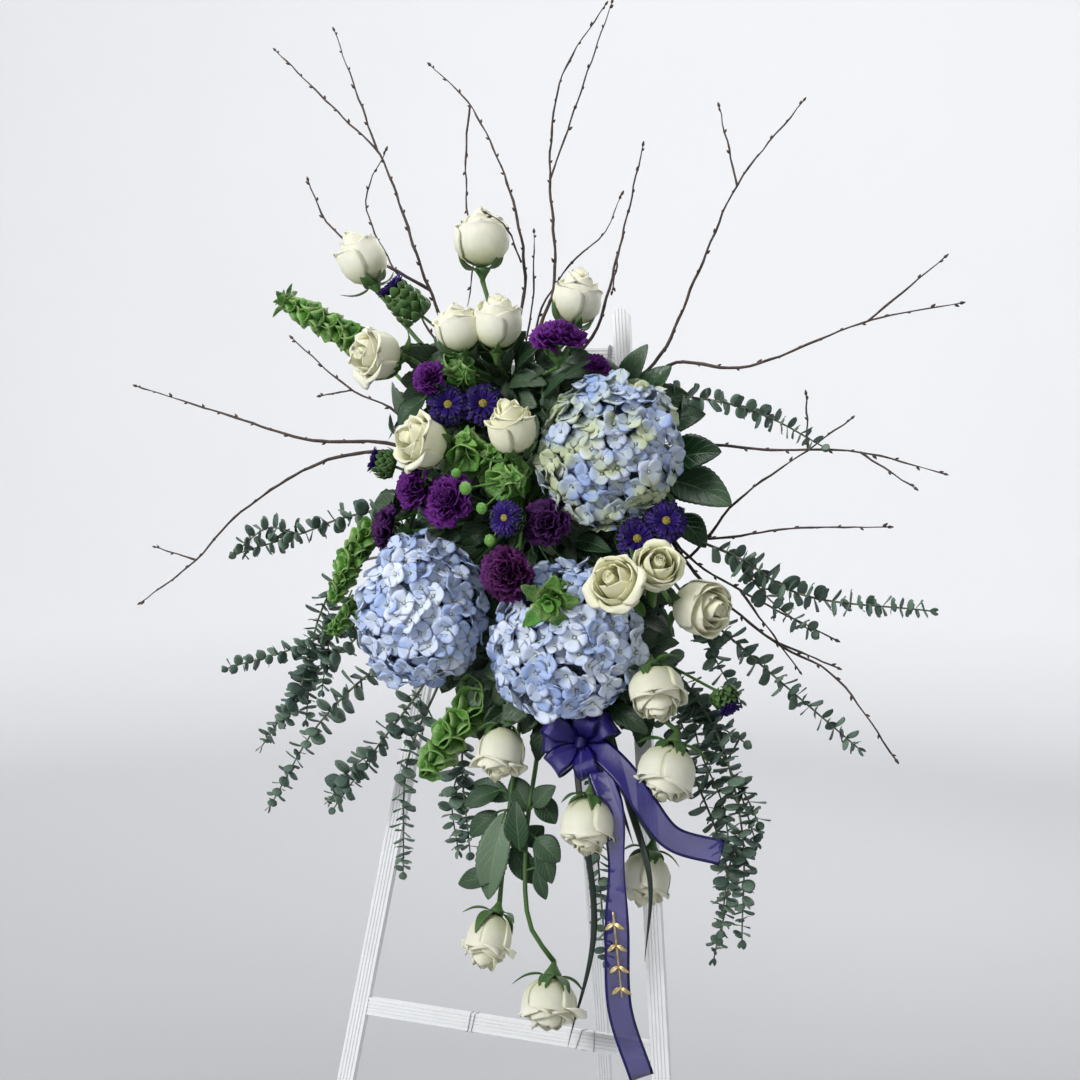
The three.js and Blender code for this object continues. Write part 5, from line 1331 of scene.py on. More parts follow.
@cache
def gold_plate():
    """Gold plate that is a little worn."""
    f = Finish("Gold plate", Roughness=0.3, Metallic=0.9)
    wear = f.noise(150)
    f.colour(f.ramp(wear, (0.3, (0.45, 0.32, 0.12)), (0.7, (0.85, 0.68, 0.36))))
    f.rough(wear, 0.3, 0.15)
    f.bump(wear, 0.0003, 0.5)
    return f.material


@cache
def pale_floor():
    """A plain floor with painted shade: dark grey near the middle, growing paler where it rises into the backdrop.
    """
    f = Finish("Pale floor", Roughness=0.7)
    away = f.node("ShaderNodeVectorMath", {0: f.where()}, operation="LENGTH").outputs["Value"]
    # Painted shade: the floor is dark grey near the middle and pales outward, as light falls off.
    painted_falloff_greys = [(0.2, (0.34, 0.345, 0.355)), (0.62, (0.6, 0.605, 0.615)), (0.85, (0.84, 0.845, 0.855))]
    pale = f.ramp(f.maths("DIVIDE", away, 6.0), *painted_falloff_greys)
    f.colour(f.mix(f.times(f.noise(1.5, 3), 0.06), pale, (0.5, 0.5, 0.5)))
    return f.material


# Shapes.


class Whorl(NamedTuple):
    """A ring of rose petals: their reach and top as shares of the bloom, half the angle that each spans, its
    curl at the rim, and how far it leans in."""

    petals: int
    reach: float
    top: float
    span: float
    curl: float
    lean_in: float


def whorls_of(opening, petals):
    """The whorls of a rose by how far it has opened, from the outside in."""
    if opening > 0.55:
        return [
            Whorl(5, 0.88, 0.74 + 0.1 * opening, 0.95, 1.2, 0.0),
            Whorl(3, 0.78, 0.9, 1.3, 0.6, 0.12),
            Whorl(3, 0.64, 0.99, 1.35, 0.15, 0.3),
        ]
    outer = petals - 2
    return [
        Whorl(outer, 1.0, 0.71 + 0.3 * opening, 0.9 if outer > 4 else 1.35, 0.5 + 0.6 * opening, 0.0),
        Whorl(3, 0.88, 0.84 + 0.1 * opening, 1.3, 0.35 + 0.4 * opening, 0.12 - 0.05 * opening),
        Whorl(3, 0.72, 0.94 - 0.02 * opening, 1.4, 0.2 + 0.2 * opening, 0.26 - 0.05 * opening),
        Whorl(2, 0.54, 1.0 - 0.06 * opening, 1.9, 0.1 + 0.1 * opening, 0.4 - 0.05 * opening),
    ]


def rose_petal_surface(bloom, chance, at, reach, top, span, curl, lean_in, foot):
    """One rose petal: cupped at its foot, round at its rim, and rolled back there by its curl."""
    radius, length = bloom.radius * MM, bloom.length * MM
    u, v = np.meshgrid(np.linspace(-1, 1, 13), 1 - np.linspace(1, 0, 15) ** 1.5)
    opened, shut = (np.interp(v, PETAL_HEIGHTS, reaches) for reaches in (OPEN_PETAL, SHUT_PETAL))
    profile = opened * bloom.open + shut * (1 - bloom.open)
    rim = np.clip((v - 0.5) / 0.5, 0, 1)
    narrow = (1 - rim**4) ** (1 / 2.6)
    narrow = narrow * (0.5 + 0.5 * np.sin(math.pi / 2 * np.minimum(1, 2.6 * v)))
    roll = np.clip((v - 0.74 + 0.06 * np.abs(u)) / 0.26, 0, 1.1) ** 2 * curl
    slant = chance.uniform(-0.5, 0.5)
    wave = 0.018 * np.sin(1.5 * math.pi * u + chance.uniform(0, TAU)) * v**3
    point = (0.06 + 0.05 * max(0.0, curl - 0.6)) * np.exp(-((u / 0.5) ** 2)) * v**4 * min(1.0, curl + 0.2)
    out = reach * profile * (1 - lean_in * v**2.2) + 0.05 * u + wave + 0.19 * roll * (1 + 0.5 * slant * u) + point
    up = foot + (top - foot) * v - 0.09 * roll - 0.05 * (u * v) ** 2 + 0.5 * point
    angle = at + span * u * narrow
    out = np.maximum(out, 0.04) * radius
    return joined(out * np.cos(angle), out * np.sin(angle), up * length)


def add_rose(skin, bloom, seed, petals):
    """A half-open rose: broad cupped petals that overlap in whorls round a rolled heart."""
    chance = random.Random(seed)
    radius, length = bloom.radius * MM, bloom.length * MM
    place = standing(base_of(bloom), aim_of(bloom), chance.uniform(0, TAU))
    cream = chance.uniform(0, 0.12) + 0.1 + 0.55 * bloom.cream
    for level, whorl in enumerate(whorls_of(bloom.open, petals)):
        for k in range(whorl.petals):
            at = TAU * (k + 0.43 * level) / whorl.petals + chance.uniform(-0.15, 0.15)
            top = whorl.top * chance.uniform(0.94, 1.04)
            curl = whorl.curl * chance.uniform(0.3, 1.5)
            foot = 0.03 * level
            surface = rose_petal_surface(
                bloom, chance, at, whorl.reach, top, whorl.span, curl, whorl.lean_in, foot
            )
            skin.sheet(moved(surface, place), PETAL, cream + 0.08 * level + 0.06 * chance.random())
    u, v = net(48, 7, 0)
    angle = 2.7 * TAU * u
    out = (0.4 - 0.35 * u) * radius * (1 - 0.5 * v**2) * (0.75 + 0.25 * v)
    out = out + 0.03 * radius * v**6
    up = length * (0.3 + v * (0.74 - 0.05 * bloom.open + 0.012 * np.sin(2 * angle) - 0.06 * (1 - u)))
    skin.sheet(moved(joined(out * np.cos(angle), out * np.sin(angle), up), place), PETAL, cream + 0.5)


def petal_pattern(wide, rows, columns, teeth=0.0, ruffle=0.0, foot=0.12):
    """A petal along Z, one long, that widens from its foot to a toothed and ruffled rim."""
    u, v = net(columns, rows)
    half = wide / 2 * (foot + (1 - foot) * v**1.1)
    saw = np.where(np.arange(columns) % 2 == 0, 1.0, -1.0) * teeth * v**4
    y = ruffle * np.sin(1.5 * math.pi * u + 0.6) * v**2 + 0.12 * v**2
    return joined(half * u, y, v * (1 - 0.16 * u * u) + saw)


def carnation_places(bloom, count, seed):
    """Where the petals of a carnation stand: flat at the rim and upright in the middle."""
    chance = random.Random(seed)
    radius, length = bloom.radius * MM, bloom.length * MM
    place = standing(base_of(bloom), aim_of(bloom))
    places = []
    for i in range(count):
        share = i / (count - 1)
        ring = round_way(i * GOLDEN_ANGLE + chance.uniform(-0.25, 0.25))
        tilt = math.radians(86 - 74 * share**1.1) + chance.uniform(-0.12, 0.12)
        way = ring * math.sin(tilt) + Z * math.cos(tilt)
        foot = ring * (0.16 * radius * (1 - share)) + Z * (length * (0.3 + 0.1 * share))
        reach = radius * (0.92 - 0.1 * share) * math.sin(tilt) ** 2
        reach += length * 0.62 * math.cos(tilt) ** 2
        turn = spun(facing(way, Z * math.sin(tilt) - ring * math.cos(tilt)), chance.uniform(-0.5, 0.5))
        places.append((place @ foot, place.to_3x3() @ turn, reach, chance.random()))
    return places


def aster_places(bloom, count, seed, upright=1.0):
    """Where the rays of an aster lie, in three rings, or stand in a brush where it is half closed."""
    chance = random.Random(seed)
    radius = bloom.radius * MM
    place = standing(base_of(bloom), aim_of(bloom))
    places = []
    for ring, (share, lift, tilt) in enumerate(ASTER_RINGS):
        rays = count - 3 * ring
        for k in range(rays):
            away = round_way(TAU * (k + 0.5 * ring) / rays + chance.uniform(-0.06, 0.06))
            lean = math.radians(tilt * upright + chance.uniform(-7, 7))
            way = away * math.sin(lean) + Z * math.cos(lean)
            foot = away * (0.12 * radius) + Z * (lift * radius)
            turn = place.to_3x3() @ facing(way, Z)
            places.append((place @ foot, turn, share * 0.88 * radius, chance.random()))
    return places


def floret_pattern(radius):
    """A hydrangea floret: four broad petals with a fold and a wavy rim, round a small bead."""
    skin = Skin()
    u, v = net(5, 6)
    half = 0.6 * np.sin(math.pi * np.clip(v**1.15 * 0.84 + 0.06, 0, 1)) ** 0.75
    for k, (lift, long, lean) in enumerate(FLORET_PETALS):
        x = long * (0.03 + 0.97 * v * (1 - 0.14 * u * u))
        fold = 0.14 * np.abs(u) * half
        z = lift * v**1.6 + 0.2 * np.sin(2.6 * v) * v - 0.22 * v**4 + fold + lean * half * u
        petal = radius * joined(x, half * u, z)
        skin.sheet(moved(petal, Matrix.Rotation(k * TAU / 4, 4, "Z")), PETAL)
    skin.turned([(0, 0), (0.1, 0.05), (0.08, 0.15), (0, 0.19)], 5, size=radius)
    skin.turned([(0, 0.02), (0.045, 0), (0.04, -0.9), (0, -0.95)], 4, size=radius)
    return skin


def blade_surface(
    foot, tip, wide, up, arch=0.1, fold=0.12, widest=0.45, rows=15, columns=9, saw=0.0, twist=0.0, ripple=0.0
):
    """A leaf from its foot to its tip: folded along the rib, arched, and toothed at its edges."""
    along = tip - foot
    length = along.length
    along = along.normalized()
    raised = (up - along * up.dot(along)).normalized()
    sideways = along.cross(raised)
    u, v = net(columns, rows)
    swell = np.sin(math.pi * np.clip(v, 1e-9, 1 - 1e-9) ** (math.log(0.5) / math.log(widest)))
    teeth = 1 + saw * (np.abs(u) > 0.99) * np.where(np.arange(rows) % 2, 1, -1)[:, None]
    half = wide / 2 * swell**0.75 * teeth
    rise = arch * length * np.sin(math.pi * v) + fold * wide * swell * np.abs(u) ** 1.3
    rise = rise + ripple * wide * np.sin(9 * v + 2.2 * u) * np.abs(u) ** 2 * swell
    angle = twist * (v - 0.5)
    x = half * u * np.cos(angle)
    rise = rise + half * u * np.sin(angle)
    point = np.array(foot) + length * v[..., None] * np.array(along)
    return point + x[..., None] * np.array(sideways) + rise[..., None] * np.array(raised)


def add_root(skin, hub):
    """The root of a group: a short peg that goes into the foam, with a rounded head outside it."""
    _, way, radius = HUBS[hub]
    r = radius * MM
    peg = [(0, -ROOT_DEPTH), (0.55 * r, 0.005 - ROOT_DEPTH)]
    head = [(0.78 * r, -0.3 * r), (0.8 * r, 0.2 * r), (0.5 * r, 0.55 * r), (0, 0.68 * r)]
    skin.turned(peg + head, 12, standing(head_of(hub), -in_frame(*way)), wave=0.06, waves=4)


def rooted(hub, name, end, count):
    """A stem's path from its root, past the places named for it, to its end."""
    return smooth(from_root(hub, [*spots(STEM_ROUTES.get(name, [])), end]), count)


def stem_route(name, bloom):
    """A stem's path from its root to the cup under its bloom."""
    neck = base_of(bloom) - aim_of(bloom) * (0.5 * bloom.radius * MM)
    return rooted(bloom.source, name, neck, 18)


def add_stem(skin, route, bloom, thick, cup):
    """A stem with a swelling under its bloom, and the cup that holds the bloom."""
    base, aim = base_of(bloom), aim_of(bloom)
    radii = np.full(len(route), thick)
    radii[-1] = thick * 1.15
    skin.rod(route, radii, tone=0.3)
    neck = Vector(route[-1]) - aim * (thick * 0.8)
    far = (base - neck).length
    rim = cup * bloom.radius * MM
    profile = [
        (0, 0),
        (thick * 1.05, 0.001),
        (thick * 1.2, 0.25 * far),
        (0.6 * rim, 0.5 * far),
        (rim, 0.8 * far),
        (0.98 * rim, far),
        (0.5 * rim, 1.02 * far),
        (0, far),
    ]
    skin.turned(profile, 12, standing(neck, aim), wave=0.05, tone=0.2)


def add_sepals(skin, bloom, sepals, seed):
    """Pointed sepals round the seat of a bloom, which curl away from it; some clasp a rose."""
    count, long, wide, spread = sepals
    chance = random.Random(seed)
    base, aim = base_of(bloom), aim_of(bloom)
    reach = bloom.radius * MM
    turn = standing(base, aim, chance.uniform(0, TAU)).to_3x3()
    for k in range(count):
        away = turn @ round_way(TAU * k / count + chance.uniform(-0.15, 0.15))
        clasps = sepals == ROSE_SEPALS and k % 2 == 0
        lean = (0.6 if clasps else spread + 0.2) + chance.uniform(-0.1, 0.14)
        way = (away * math.sin(lean) + aim * math.cos(lean)).normalized()
        foot = base - aim * 0.002 + away * (0.24 * reach)
        tip = foot + way * (long * reach) * chance.uniform(0.8, 1.15)
        broad, arch = (1.35 * wide, 0.13) if clasps else (wide, 0.12)
        surface = blade_surface(foot, tip, broad, away, arch, fold=0.16, widest=0.28, rows=9, columns=5)
        skin.sheet(surface, LEAF, chance.random() * 0.6)


def add_bracts(skin, bloom, deep, seed):
    """Small green bracts in rows, which clasp the base of an aster."""
    chance = random.Random(seed)
    base, aim = base_of(bloom), aim_of(bloom)
    place = standing(base, aim)
    r = bloom.radius * MM
    depth = deep * r
    ball = [(0, -1.02 * depth), (0.42 * r, -0.85 * depth), (0.72 * r, -0.45 * depth), (0.66 * r, 0.02 * r)]
    skin.turned([*ball, (0, 0.08 * r)], 12, place, wave=0.1, waves=9, tone=0.7)
    for row in range(5):
        share = row / 4
        ring = r * (0.34 + 0.5 * math.sin(math.pi * (0.25 + 0.6 * share)))
        low = -deep * r * (1 - share)
        for k in range(9):
            away = place.to_3x3() @ round_way(TAU * (k + 0.5 * row) / 9 + chance.uniform(-0.15, 0.15))
            foot = base + away * ring * 0.7 + aim * low
            tip = foot + (aim * 0.55 + away * (0.42 - 0.2 * share)) * r * chance.uniform(0.8, 1.2)
            surface = blade_surface(foot, tip, 0.55 * r, away, arch=0.15, fold=0.15, widest=0.4, rows=6, columns=5)
            skin.sheet(surface, THIN_LEAF, chance.random())


def collar_places(group):
    """Leaves that stand in the edges of the foam: their feet, the way each points, and the way it faces."""
    chance = random.Random(len(group))
    places = []
    if group == "middle":
        for k in range(52):
            side = -1 if k % 2 else 1
            up = 1138 + 250 * (k // 2 + chance.random()) / 26
            foot = in_frame(side * 119, up, chance.uniform(24, 76)) * MM
            way = in_frame(side * chance.uniform(0.25, 0.8), chance.uniform(-1, 0.8), chance.uniform(-0.35, 0.4))
            places.append((foot, way.normalized(), in_frame(side, 0.2, 0.35)))
        return places
    up, way = (1388, 1) if group == "upper" else (1108, -1)
    for k in range(22):
        across = -112 + 224 * (k + chance.random()) / 22
        foot = in_frame(across, up - way * 12, chance.uniform(26, 76)) * MM
        aim = in_frame(chance.uniform(-0.9, 0.9), way * chance.uniform(0.3, 0.9), chance.uniform(-0.35, 0.4))
        places.append((foot, aim.normalized(), in_frame(0.2, way, 0.35)))
    return places


def leaf_stalk(skin, neck, tip, routes, up):
    """A stalk to a leaf from the nearest place on the stems of its group."""
    nearest = min((Vector(p) for route in routes for p in route[1:-1]), key=lambda p: (p - neck).length)
    inside = neck.lerp(tip, 0.14) + up * (0.04 * (tip - neck).length)
    skin.rod(smooth([nearest, nearest.lerp(neck, 0.5) + up * 0.002, neck, inside], 9), 0.0013, sides=6, tone=0.4)


def spike_parts(hub, spike, stalks, seed, spacing):
    """A spike's stalk, bracts and tuft, added to a skin, and the places of its bells."""
    chance = random.Random(seed)
    path = smooth(from_root(hub, spike.route), 41)
    stalks.rod(path, np.linspace(0.0026, 0.0016, len(path)), tone=0.3)
    bell, tuft, long = spike.bell * MM, spike.tuft * MM, length_of(path)
    places = []
    share, row = spike.begin, 0
    while share < NEAR_TIP:
        middle, along = on_path(path, share)
        young = 1.0 - 0.5 * max(0.0, (share - 0.8) / 0.2)
        size = bell * (1.25 - 0.2 * share) * young
        for aim in round_aims(along, 5, row * 0.79 + chance.uniform(-0.2, 0.2)):
            lean = (aim + along * chance.uniform(0.2, 1.0)).normalized()
            turn = spun(facing(lean, along), chance.uniform(0, TAU))
            where = middle + aim * 0.0012 + along * chance.uniform(-0.2, 0.2) * size
            places.append((where, turn, size * chance.uniform(0.75, 1.12), chance.random()))
        for aim in round_aims(along, 2, row * 1.3):
            tip = middle + (aim * 1.25 - along * 0.35) * size
            bract = blade_surface(middle, tip, 0.5 * size, along, fold=0.14, widest=0.5, rows=7, columns=5)
            stalks.sheet(bract, PETAL, chance.random())
        share += spacing * bell * young / long
        row += 1
    before = Vector(path[-3])
    end = (Vector(path[-1]) - before).normalized()
    for k, aim in enumerate(round_aims(end, 15 if spike.tuft > 20 else 9, 0.4)):
        sideways, forward, reach = TUFT_RINGS[k % 3]
        way = (aim * sideways + end * forward).normalized()
        point = before + way * (tuft * chance.uniform(0.85, 1.25) * reach)
        twist = chance.uniform(-0.8, 0.8)
        leaf = blade_surface(
            before,
            point,
            tuft * 0.56,
            end - aim * 0.3,
            arch=0.12,
            fold=0.18,
            rows=11,
            columns=7,
            saw=0.1,
            twist=twist,
        )
        stalks.sheet(leaf, THIN_LEAF, chance.random())
    return places


def bell_pattern():
    """A bell one across its half: a thin deep cup with a soft wavy rim and a seed case inside."""
    skin = Skin()
    outside = [(0, 0), (0.26, 0.04), (0.56, 0.25), (0.8, 0.6), (0.96, 1.0)]
    inside = [(0.9, 1.02), (0.72, 0.62), (0.46, 0.32), (0, 0.2)]
    turns = np.linspace(0, TAU, 20, endpoint=False)
    points = np.cos(5 * turns) + 0.35 * np.cos(2 * turns + 0.7)
    grid = []
    for row, (r, h) in enumerate(outside + inside):
        share = h**3 * (0.08 if 0 < row < 8 else 0)
        reach = r * (1 + share * points)
        grid.append(joined(reach * np.cos(turns), reach * np.sin(turns), h + 0.5 * share * points))
    skin.body([(np.array(grid), True)])
    skin.turned([(0, 0.22), (0.15, 0.27), (0.12, 0.42), (0, 0.5)], 5)
    return skin


def add_round_buds(stalks, places):
    """Round green buds, each on a stalk from the nearest bell."""
    chance = random.Random(9)
    profile = [(0, 0), (0.75, 0.25), (1, 0.85), (0.7, 1.4), (0.25, 1.55), (0, 1.45)]
    for px, py, out, radius in ROUND_BUDS:
        seat = spot(px, py, out)
        aim = in_frame(chance.uniform(-0.3, 0.3), -0.2, 1).normalized()
        start = min((point for point, *_ in places), key=lambda point: (point - seat).length)
        stalks.rod(smooth([start, start.lerp(seat, 0.5) - aim * 0.004, seat], 9), 0.0011, sides=6)
        stalks.turned(profile, 18, standing(seat, aim), wave=0.05, waves=9, tone=0.1, size=radius * MM)


def round_leaf_pattern():
    """A round leaf along Z, one long, a little cupped."""
    skin = Skin()
    u, v = net(5, 7)
    half = 0.5 * np.sin(math.pi * np.clip(0.06 + 0.9 * v, 0, 1)) ** 0.55
    skin.sheet(joined(half * u, 0.12 * (u * u) * v - 0.1 * v * v, 0.02 + v * (1 - 0.05 * u * u)), 0.05)
    return skin


def aster_ray_pattern():
    """A ray along Z, one long, with a blunt tip."""
    skin = Skin()
    u, v = net(4, 6)
    half = 0.155 * np.sin(math.pi * np.clip(0.1 + 0.84 * v, 0, 1)) ** 0.45
    skin.sheet(joined(half * u, 0.04 * u * u - 0.1 * v * v, v), 0.03)
    return skin


def bud_pattern():
    """A pointed bud along Z, one long."""
    skin = Skin()
    skin.turned([(0, -0.1), (0.22, 0), (0.3, 0.3), (0.17, 0.72), (0, 1)], 6)
    return skin


def twig_curve(name, routes):
    """Curves with a thickness at each point: each route is a run of points with its two radii."""
    curve = bpy.data.curves.new(name, "CURVE")
    curve.dimensions = "3D"
    for path, foot, tip in routes:
        spline = curve.splines.new("POLY")
        spline.points.add(len(path) - 1)
        spline.points.foreach_set("co", np.c_[path, np.ones(len(path))].ravel())
        spline.points.foreach_set("radius", np.linspace(foot, tip, len(path)))
    return curve


def birch_routes(name, seed):
    """The paths of a birch group's twigs, each with a slight zigzag from bud to bud."""
    chance = random.Random(seed)
    routes = []
    mains = [(from_root(name, route), thick) for route, thick in BIRCH_TWIGS[name]]
    sides = [(spots(route), thick) for route, thick in BIRCH_SIDES[name]]
    for points, thick in mains + sides:
        path = smooth(points, max(10, int(length_of(points) / 0.011)))
        wander = np.zeros_like(path)
        for i in range(2, len(path) - 1):
            side = -1 if (i // 2) % 2 else 1
            wander[i] = side * np.array([chance.uniform(*limits) for limits in ZIGZAG])
        routes.append((path + 0.0011 * wander, thick * MM * 0.85, 0.0007))
    return routes


def bud_places(routes, spacing, seed):
    """Where the buds sit, to one side and the other of each twig, with one at its tip."""
    chance = random.Random(seed)
    places = []
    for path, foot, tip in routes:
        count = max(3, int(length_of(path) / spacing))
        points = by_length(path, count * 4)
        for i in range(count):
            at = min(4 * i + 2, len(points) - 2)
            if i < 0.12 * count:
                continue
            along = Vector(points[at + 1] - points[at]).normalized()
            aim = round_aims(along, 1, i * math.pi + chance.uniform(-0.6, 0.6))[0]
            thick = foot + (tip - foot) * at / len(points)
            size = chance.uniform(0.0038, 0.0062)
            seat = Vector(points[at]) + aim * thick * 0.7
            places.append((seat, facing(aim + along * 1.3, along), size, chance.random()))
        end = Vector(path[-1] - path[-2]).normalized()
        places.append((Vector(path[-1]) - end * 0.001, facing(end, aim), 0.006, chance.random()))
    return places


def eucalyptus_parts(name, twigs, seed, spacing, leaf):
    """The twigs of a eucalyptus group, added to a skin, and the places of its leaves."""
    chance = random.Random(seed)
    places = []
    mains = [(from_root(name, route), 0.0019, 0.3) for route in EUCALYPTUS[name]]
    sides = [(spots(route), 0.0011, 0.08) for route in EUCALYPTUS_SIDES[name]]
    for points, thick, begin in mains + sides:
        path = smooth(points, 61)
        twigs.rod(path, np.linspace(thick, 0.0008, len(path)), sides=7, tone=0.4)
        long = length_of(path)
        share, row = begin, 0
        while share < NEAR_TIP:
            middle, along = on_path(path, share)
            size = leaf * (1.06 - 0.42 * max(0.0, (share - 0.45) / 0.55))
            for aim in round_aims(along, 2, row * math.pi / 2 + chance.uniform(-0.3, 0.3)):
                lean = (aim + along * chance.uniform(-0.1, 0.75)).normalized()
                turn = spun(facing(lean, along), chance.uniform(-0.7, 0.7))
                places.append((middle + aim * 0.0006, turn, size * chance.uniform(0.85, 1.1), chance.random()))
            share += spacing * (1.15 - 0.45 * share) / long
            row += 1
        tip = Vector(path[-1])
        end = (tip - Vector(path[-3])).normalized()
        for aim in round_aims(end, 2, row * math.pi / 2):
            places.append((tip, facing(end + aim * 0.35, aim), leaf * 0.5, chance.random()))
    return places


def lumps_of(seed):
    """The way and the size of each low lump on a hydrangea head."""
    chance = random.Random(seed)
    return [
        (Vector([chance.uniform(-1, 1) for _ in range(3)]).normalized(), chance.uniform(0.03, 0.09))
        for _ in range(12)
    ]


def head_surface(head, lumps, share, rings, sides):
    """A rounded head with low lumps, as rings of points at a share of its size."""
    wide, high, deep = (half * MM for half in head.half)
    centre = spot(head.px, head.py, head.out)
    grid = np.zeros((rings, sides, 3))
    for i, up in enumerate(np.linspace(0, math.pi, rings)):
        for j, turn in enumerate(np.linspace(0, TAU, sides, endpoint=False)):
            aim = Vector((math.sin(up) * math.cos(turn), math.sin(up) * math.sin(turn), math.cos(up)))
            far = share * (1 + sum(size * max(0.0, aim.dot(way) - 0.6) / 0.4 for way, size in lumps))
            grid[i, j] = centre + Vector((aim.x * wide, aim.y * deep, aim.z * high)) * far
    return grid


def loop_parts(middle, reach, belly):
    """A loop's path out of the knot and back, which way its width lies, and how it is gathered."""
    far = in_frame(*reach) * MM
    towards = far.normalized()
    widthways = towards.cross(in_frame(0, 0, 1)).normalized()
    bulge = widthways.cross(towards).normalized()
    path = [
        middle + towards * (far.length * math.sin(t) ** 0.8) + bulge * (belly * MM * math.sin(2 * t))
        for t in np.linspace(0.03, 0.97, 33) * math.pi
    ]
    gathers = np.interp(np.linspace(0, 1, 33), [0, 0.2, 0.8, 1], [0.32, 1, 1, 0.32])
    return by_length(path, 33), [widthways] * 33, gathers


def tail_parts(middle, route, twist):
    """A tail's path down from the knot, which way its width lies, and how it is gathered."""
    path = smooth([middle.lerp(spot(*route[0]), 0.12), *spots(route)], 60)
    along = np.gradient(path, axis=0)
    front = np.array(in_frame(0.35, 0.1, 1))
    widthways = [np.cross(way, front) for way in along]
    share = np.linspace(0, 1, 60)
    if twist:
        turns = twist * np.exp(-(((share - 0.38) / 0.16) ** 2))
        for i, (way, turn) in enumerate(zip(along, turns)):
            about = Matrix.Rotation(turn, 3, Vector(way).normalized())
            widthways[i] = np.array(about @ Vector(widthways[i]).normalized())
    return path, widthways, np.interp(share, [0, 0.12, 1], [0.35, 1, 1])


def floor_mesh():
    """A round floor whose edge rises in a bend to an upright back."""
    bend, side, top, count = 2.0, 6.0, 4.5, 96
    rings = [((side - bend) * share, 0.0) for share in (0.25, 0.5, 0.75)]
    for turn in np.linspace(0, math.pi / 2, 15):
        rings.append((side - bend + bend * math.sin(turn), bend - bend * math.cos(turn)))
    rings.append((side, top))
    points = [(0, 0, 0)]
    for radius, height in rings:
        turns = (TAU * k / count for k in range(count))
        points.extend((radius * math.cos(turn), radius * math.sin(turn), height) for turn in turns)
    faces = []
    for k in range(count):
        after = (k + 1) % count
        faces.append((0, 1 + k, 1 + after))
        for low in range(1, 1 + (len(rings) - 1) * count, count):
            faces.append((low + k, low + count + k, low + count + after, low + after))
    mesh = bpy.data.meshes.new("floor")
    mesh.from_pydata(points, [], faces)
    mesh.materials.append(pale_floor())
    mesh.polygons.foreach_set("use_smooth", [True] * len(faces))
    return mesh


def ribbon_surface(path, widthways, wide, gathers, columns=9):
    """A ribbon along a path, gathered into pleats where its share is under one."""
    path = np.asarray(path)
    along = np.gradient(path, axis=0)
    along /= np.linalg.norm(along, axis=1, keepdims=True)
    rows = []
    for point, way, across, share in zip(path, along, widthways, gathers):
        across = np.array(across) - way * np.dot(across, way)
        across /= np.linalg.norm(across)
        through = np.cross(way, across)
        row = []
        for k in range(columns):
            u = -1 + 2 * k / (columns - 1)
            pleat = (1 - share) * wide * 0.16 * (1 if k % 2 else -1)
            crown = 0.06 * wide * (1 - u * u) * share
            row.append(point + across * (u * wide / 2 * share) + through * (pleat + crown))
        rows.append(row)
    return np.array(rows)


# Settings that a user would change.


def length_setting(name, description, default, least, most):
    return FloatProperty(
        name=name, description=description, default=default, min=least, max=most, unit="LENGTH"
    )


def count_setting(name, description, default, least, most):
    return IntProperty(name=name, description=description, default=default, min=least, max=most)


class SprayFlowers(bpy.types.PropertyGroup):
    rose_petals: count_setting("Rose petals", "Petals in each outer whorl of a rose", 5, 4, 7)
    floret_radius: length_setting("Floret radius", "Reach of a hydrangea floret's petals", 0.0145, 0.008, 0.03)
    floret_spacing: length_setting("Floret spacing", "Least distance between two florets", 0.0142, 0.008, 0.04)
    carnation_petals: count_setting("Carnation petals", "Petals in each carnation", 54, 20, 90)
    aster_rays: count_setting("Aster rays", "Rays in the outer ring of an aster", 26, 12, 40)


class SprayGreenery(bpy.types.PropertyGroup):
    bell_spacing: FloatProperty(
        name="Bell spacing",
        description="Distance between whorls, as a share of a bell's radius",
        default=1.25,
        min=0.6,
        max=2.5,
    )
    eucalyptus_spacing: length_setting(
        "Leaf pair spacing", "Distance between pairs of eucalyptus leaves", 0.0108, 0.006, 0.04
    )
    eucalyptus_leaf: length_setting("Eucalyptus leaf", "Length of a eucalyptus leaf", 0.0185, 0.008, 0.03)
    bud_spacing: length_setting("Bud spacing", "Distance between buds on a birch twig", 0.023, 0.01, 0.08)
    filler_leaves: count_setting("Filler leaves", "Dark leaves that fill the spray", 150, 40, 300)
    grass_width: length_setting("Grass width", "Width of a blade of lily grass", 0.009, 0.003, 0.02)


class SprayRibbon(bpy.types.PropertyGroup):
    width: length_setting("Ribbon width", "Width of the organza ribbon", 0.026, 0.01, 0.06)
    thickness: length_setting("Ribbon thickness", "Thickness of the cloth", 0.0005, 0.0002, 0.002)


def colour_setting(name, description, code):
    return FloatVectorProperty(
        name=name, description=description, default=shade(code), subtype="COLOR", min=0, max=1
    )


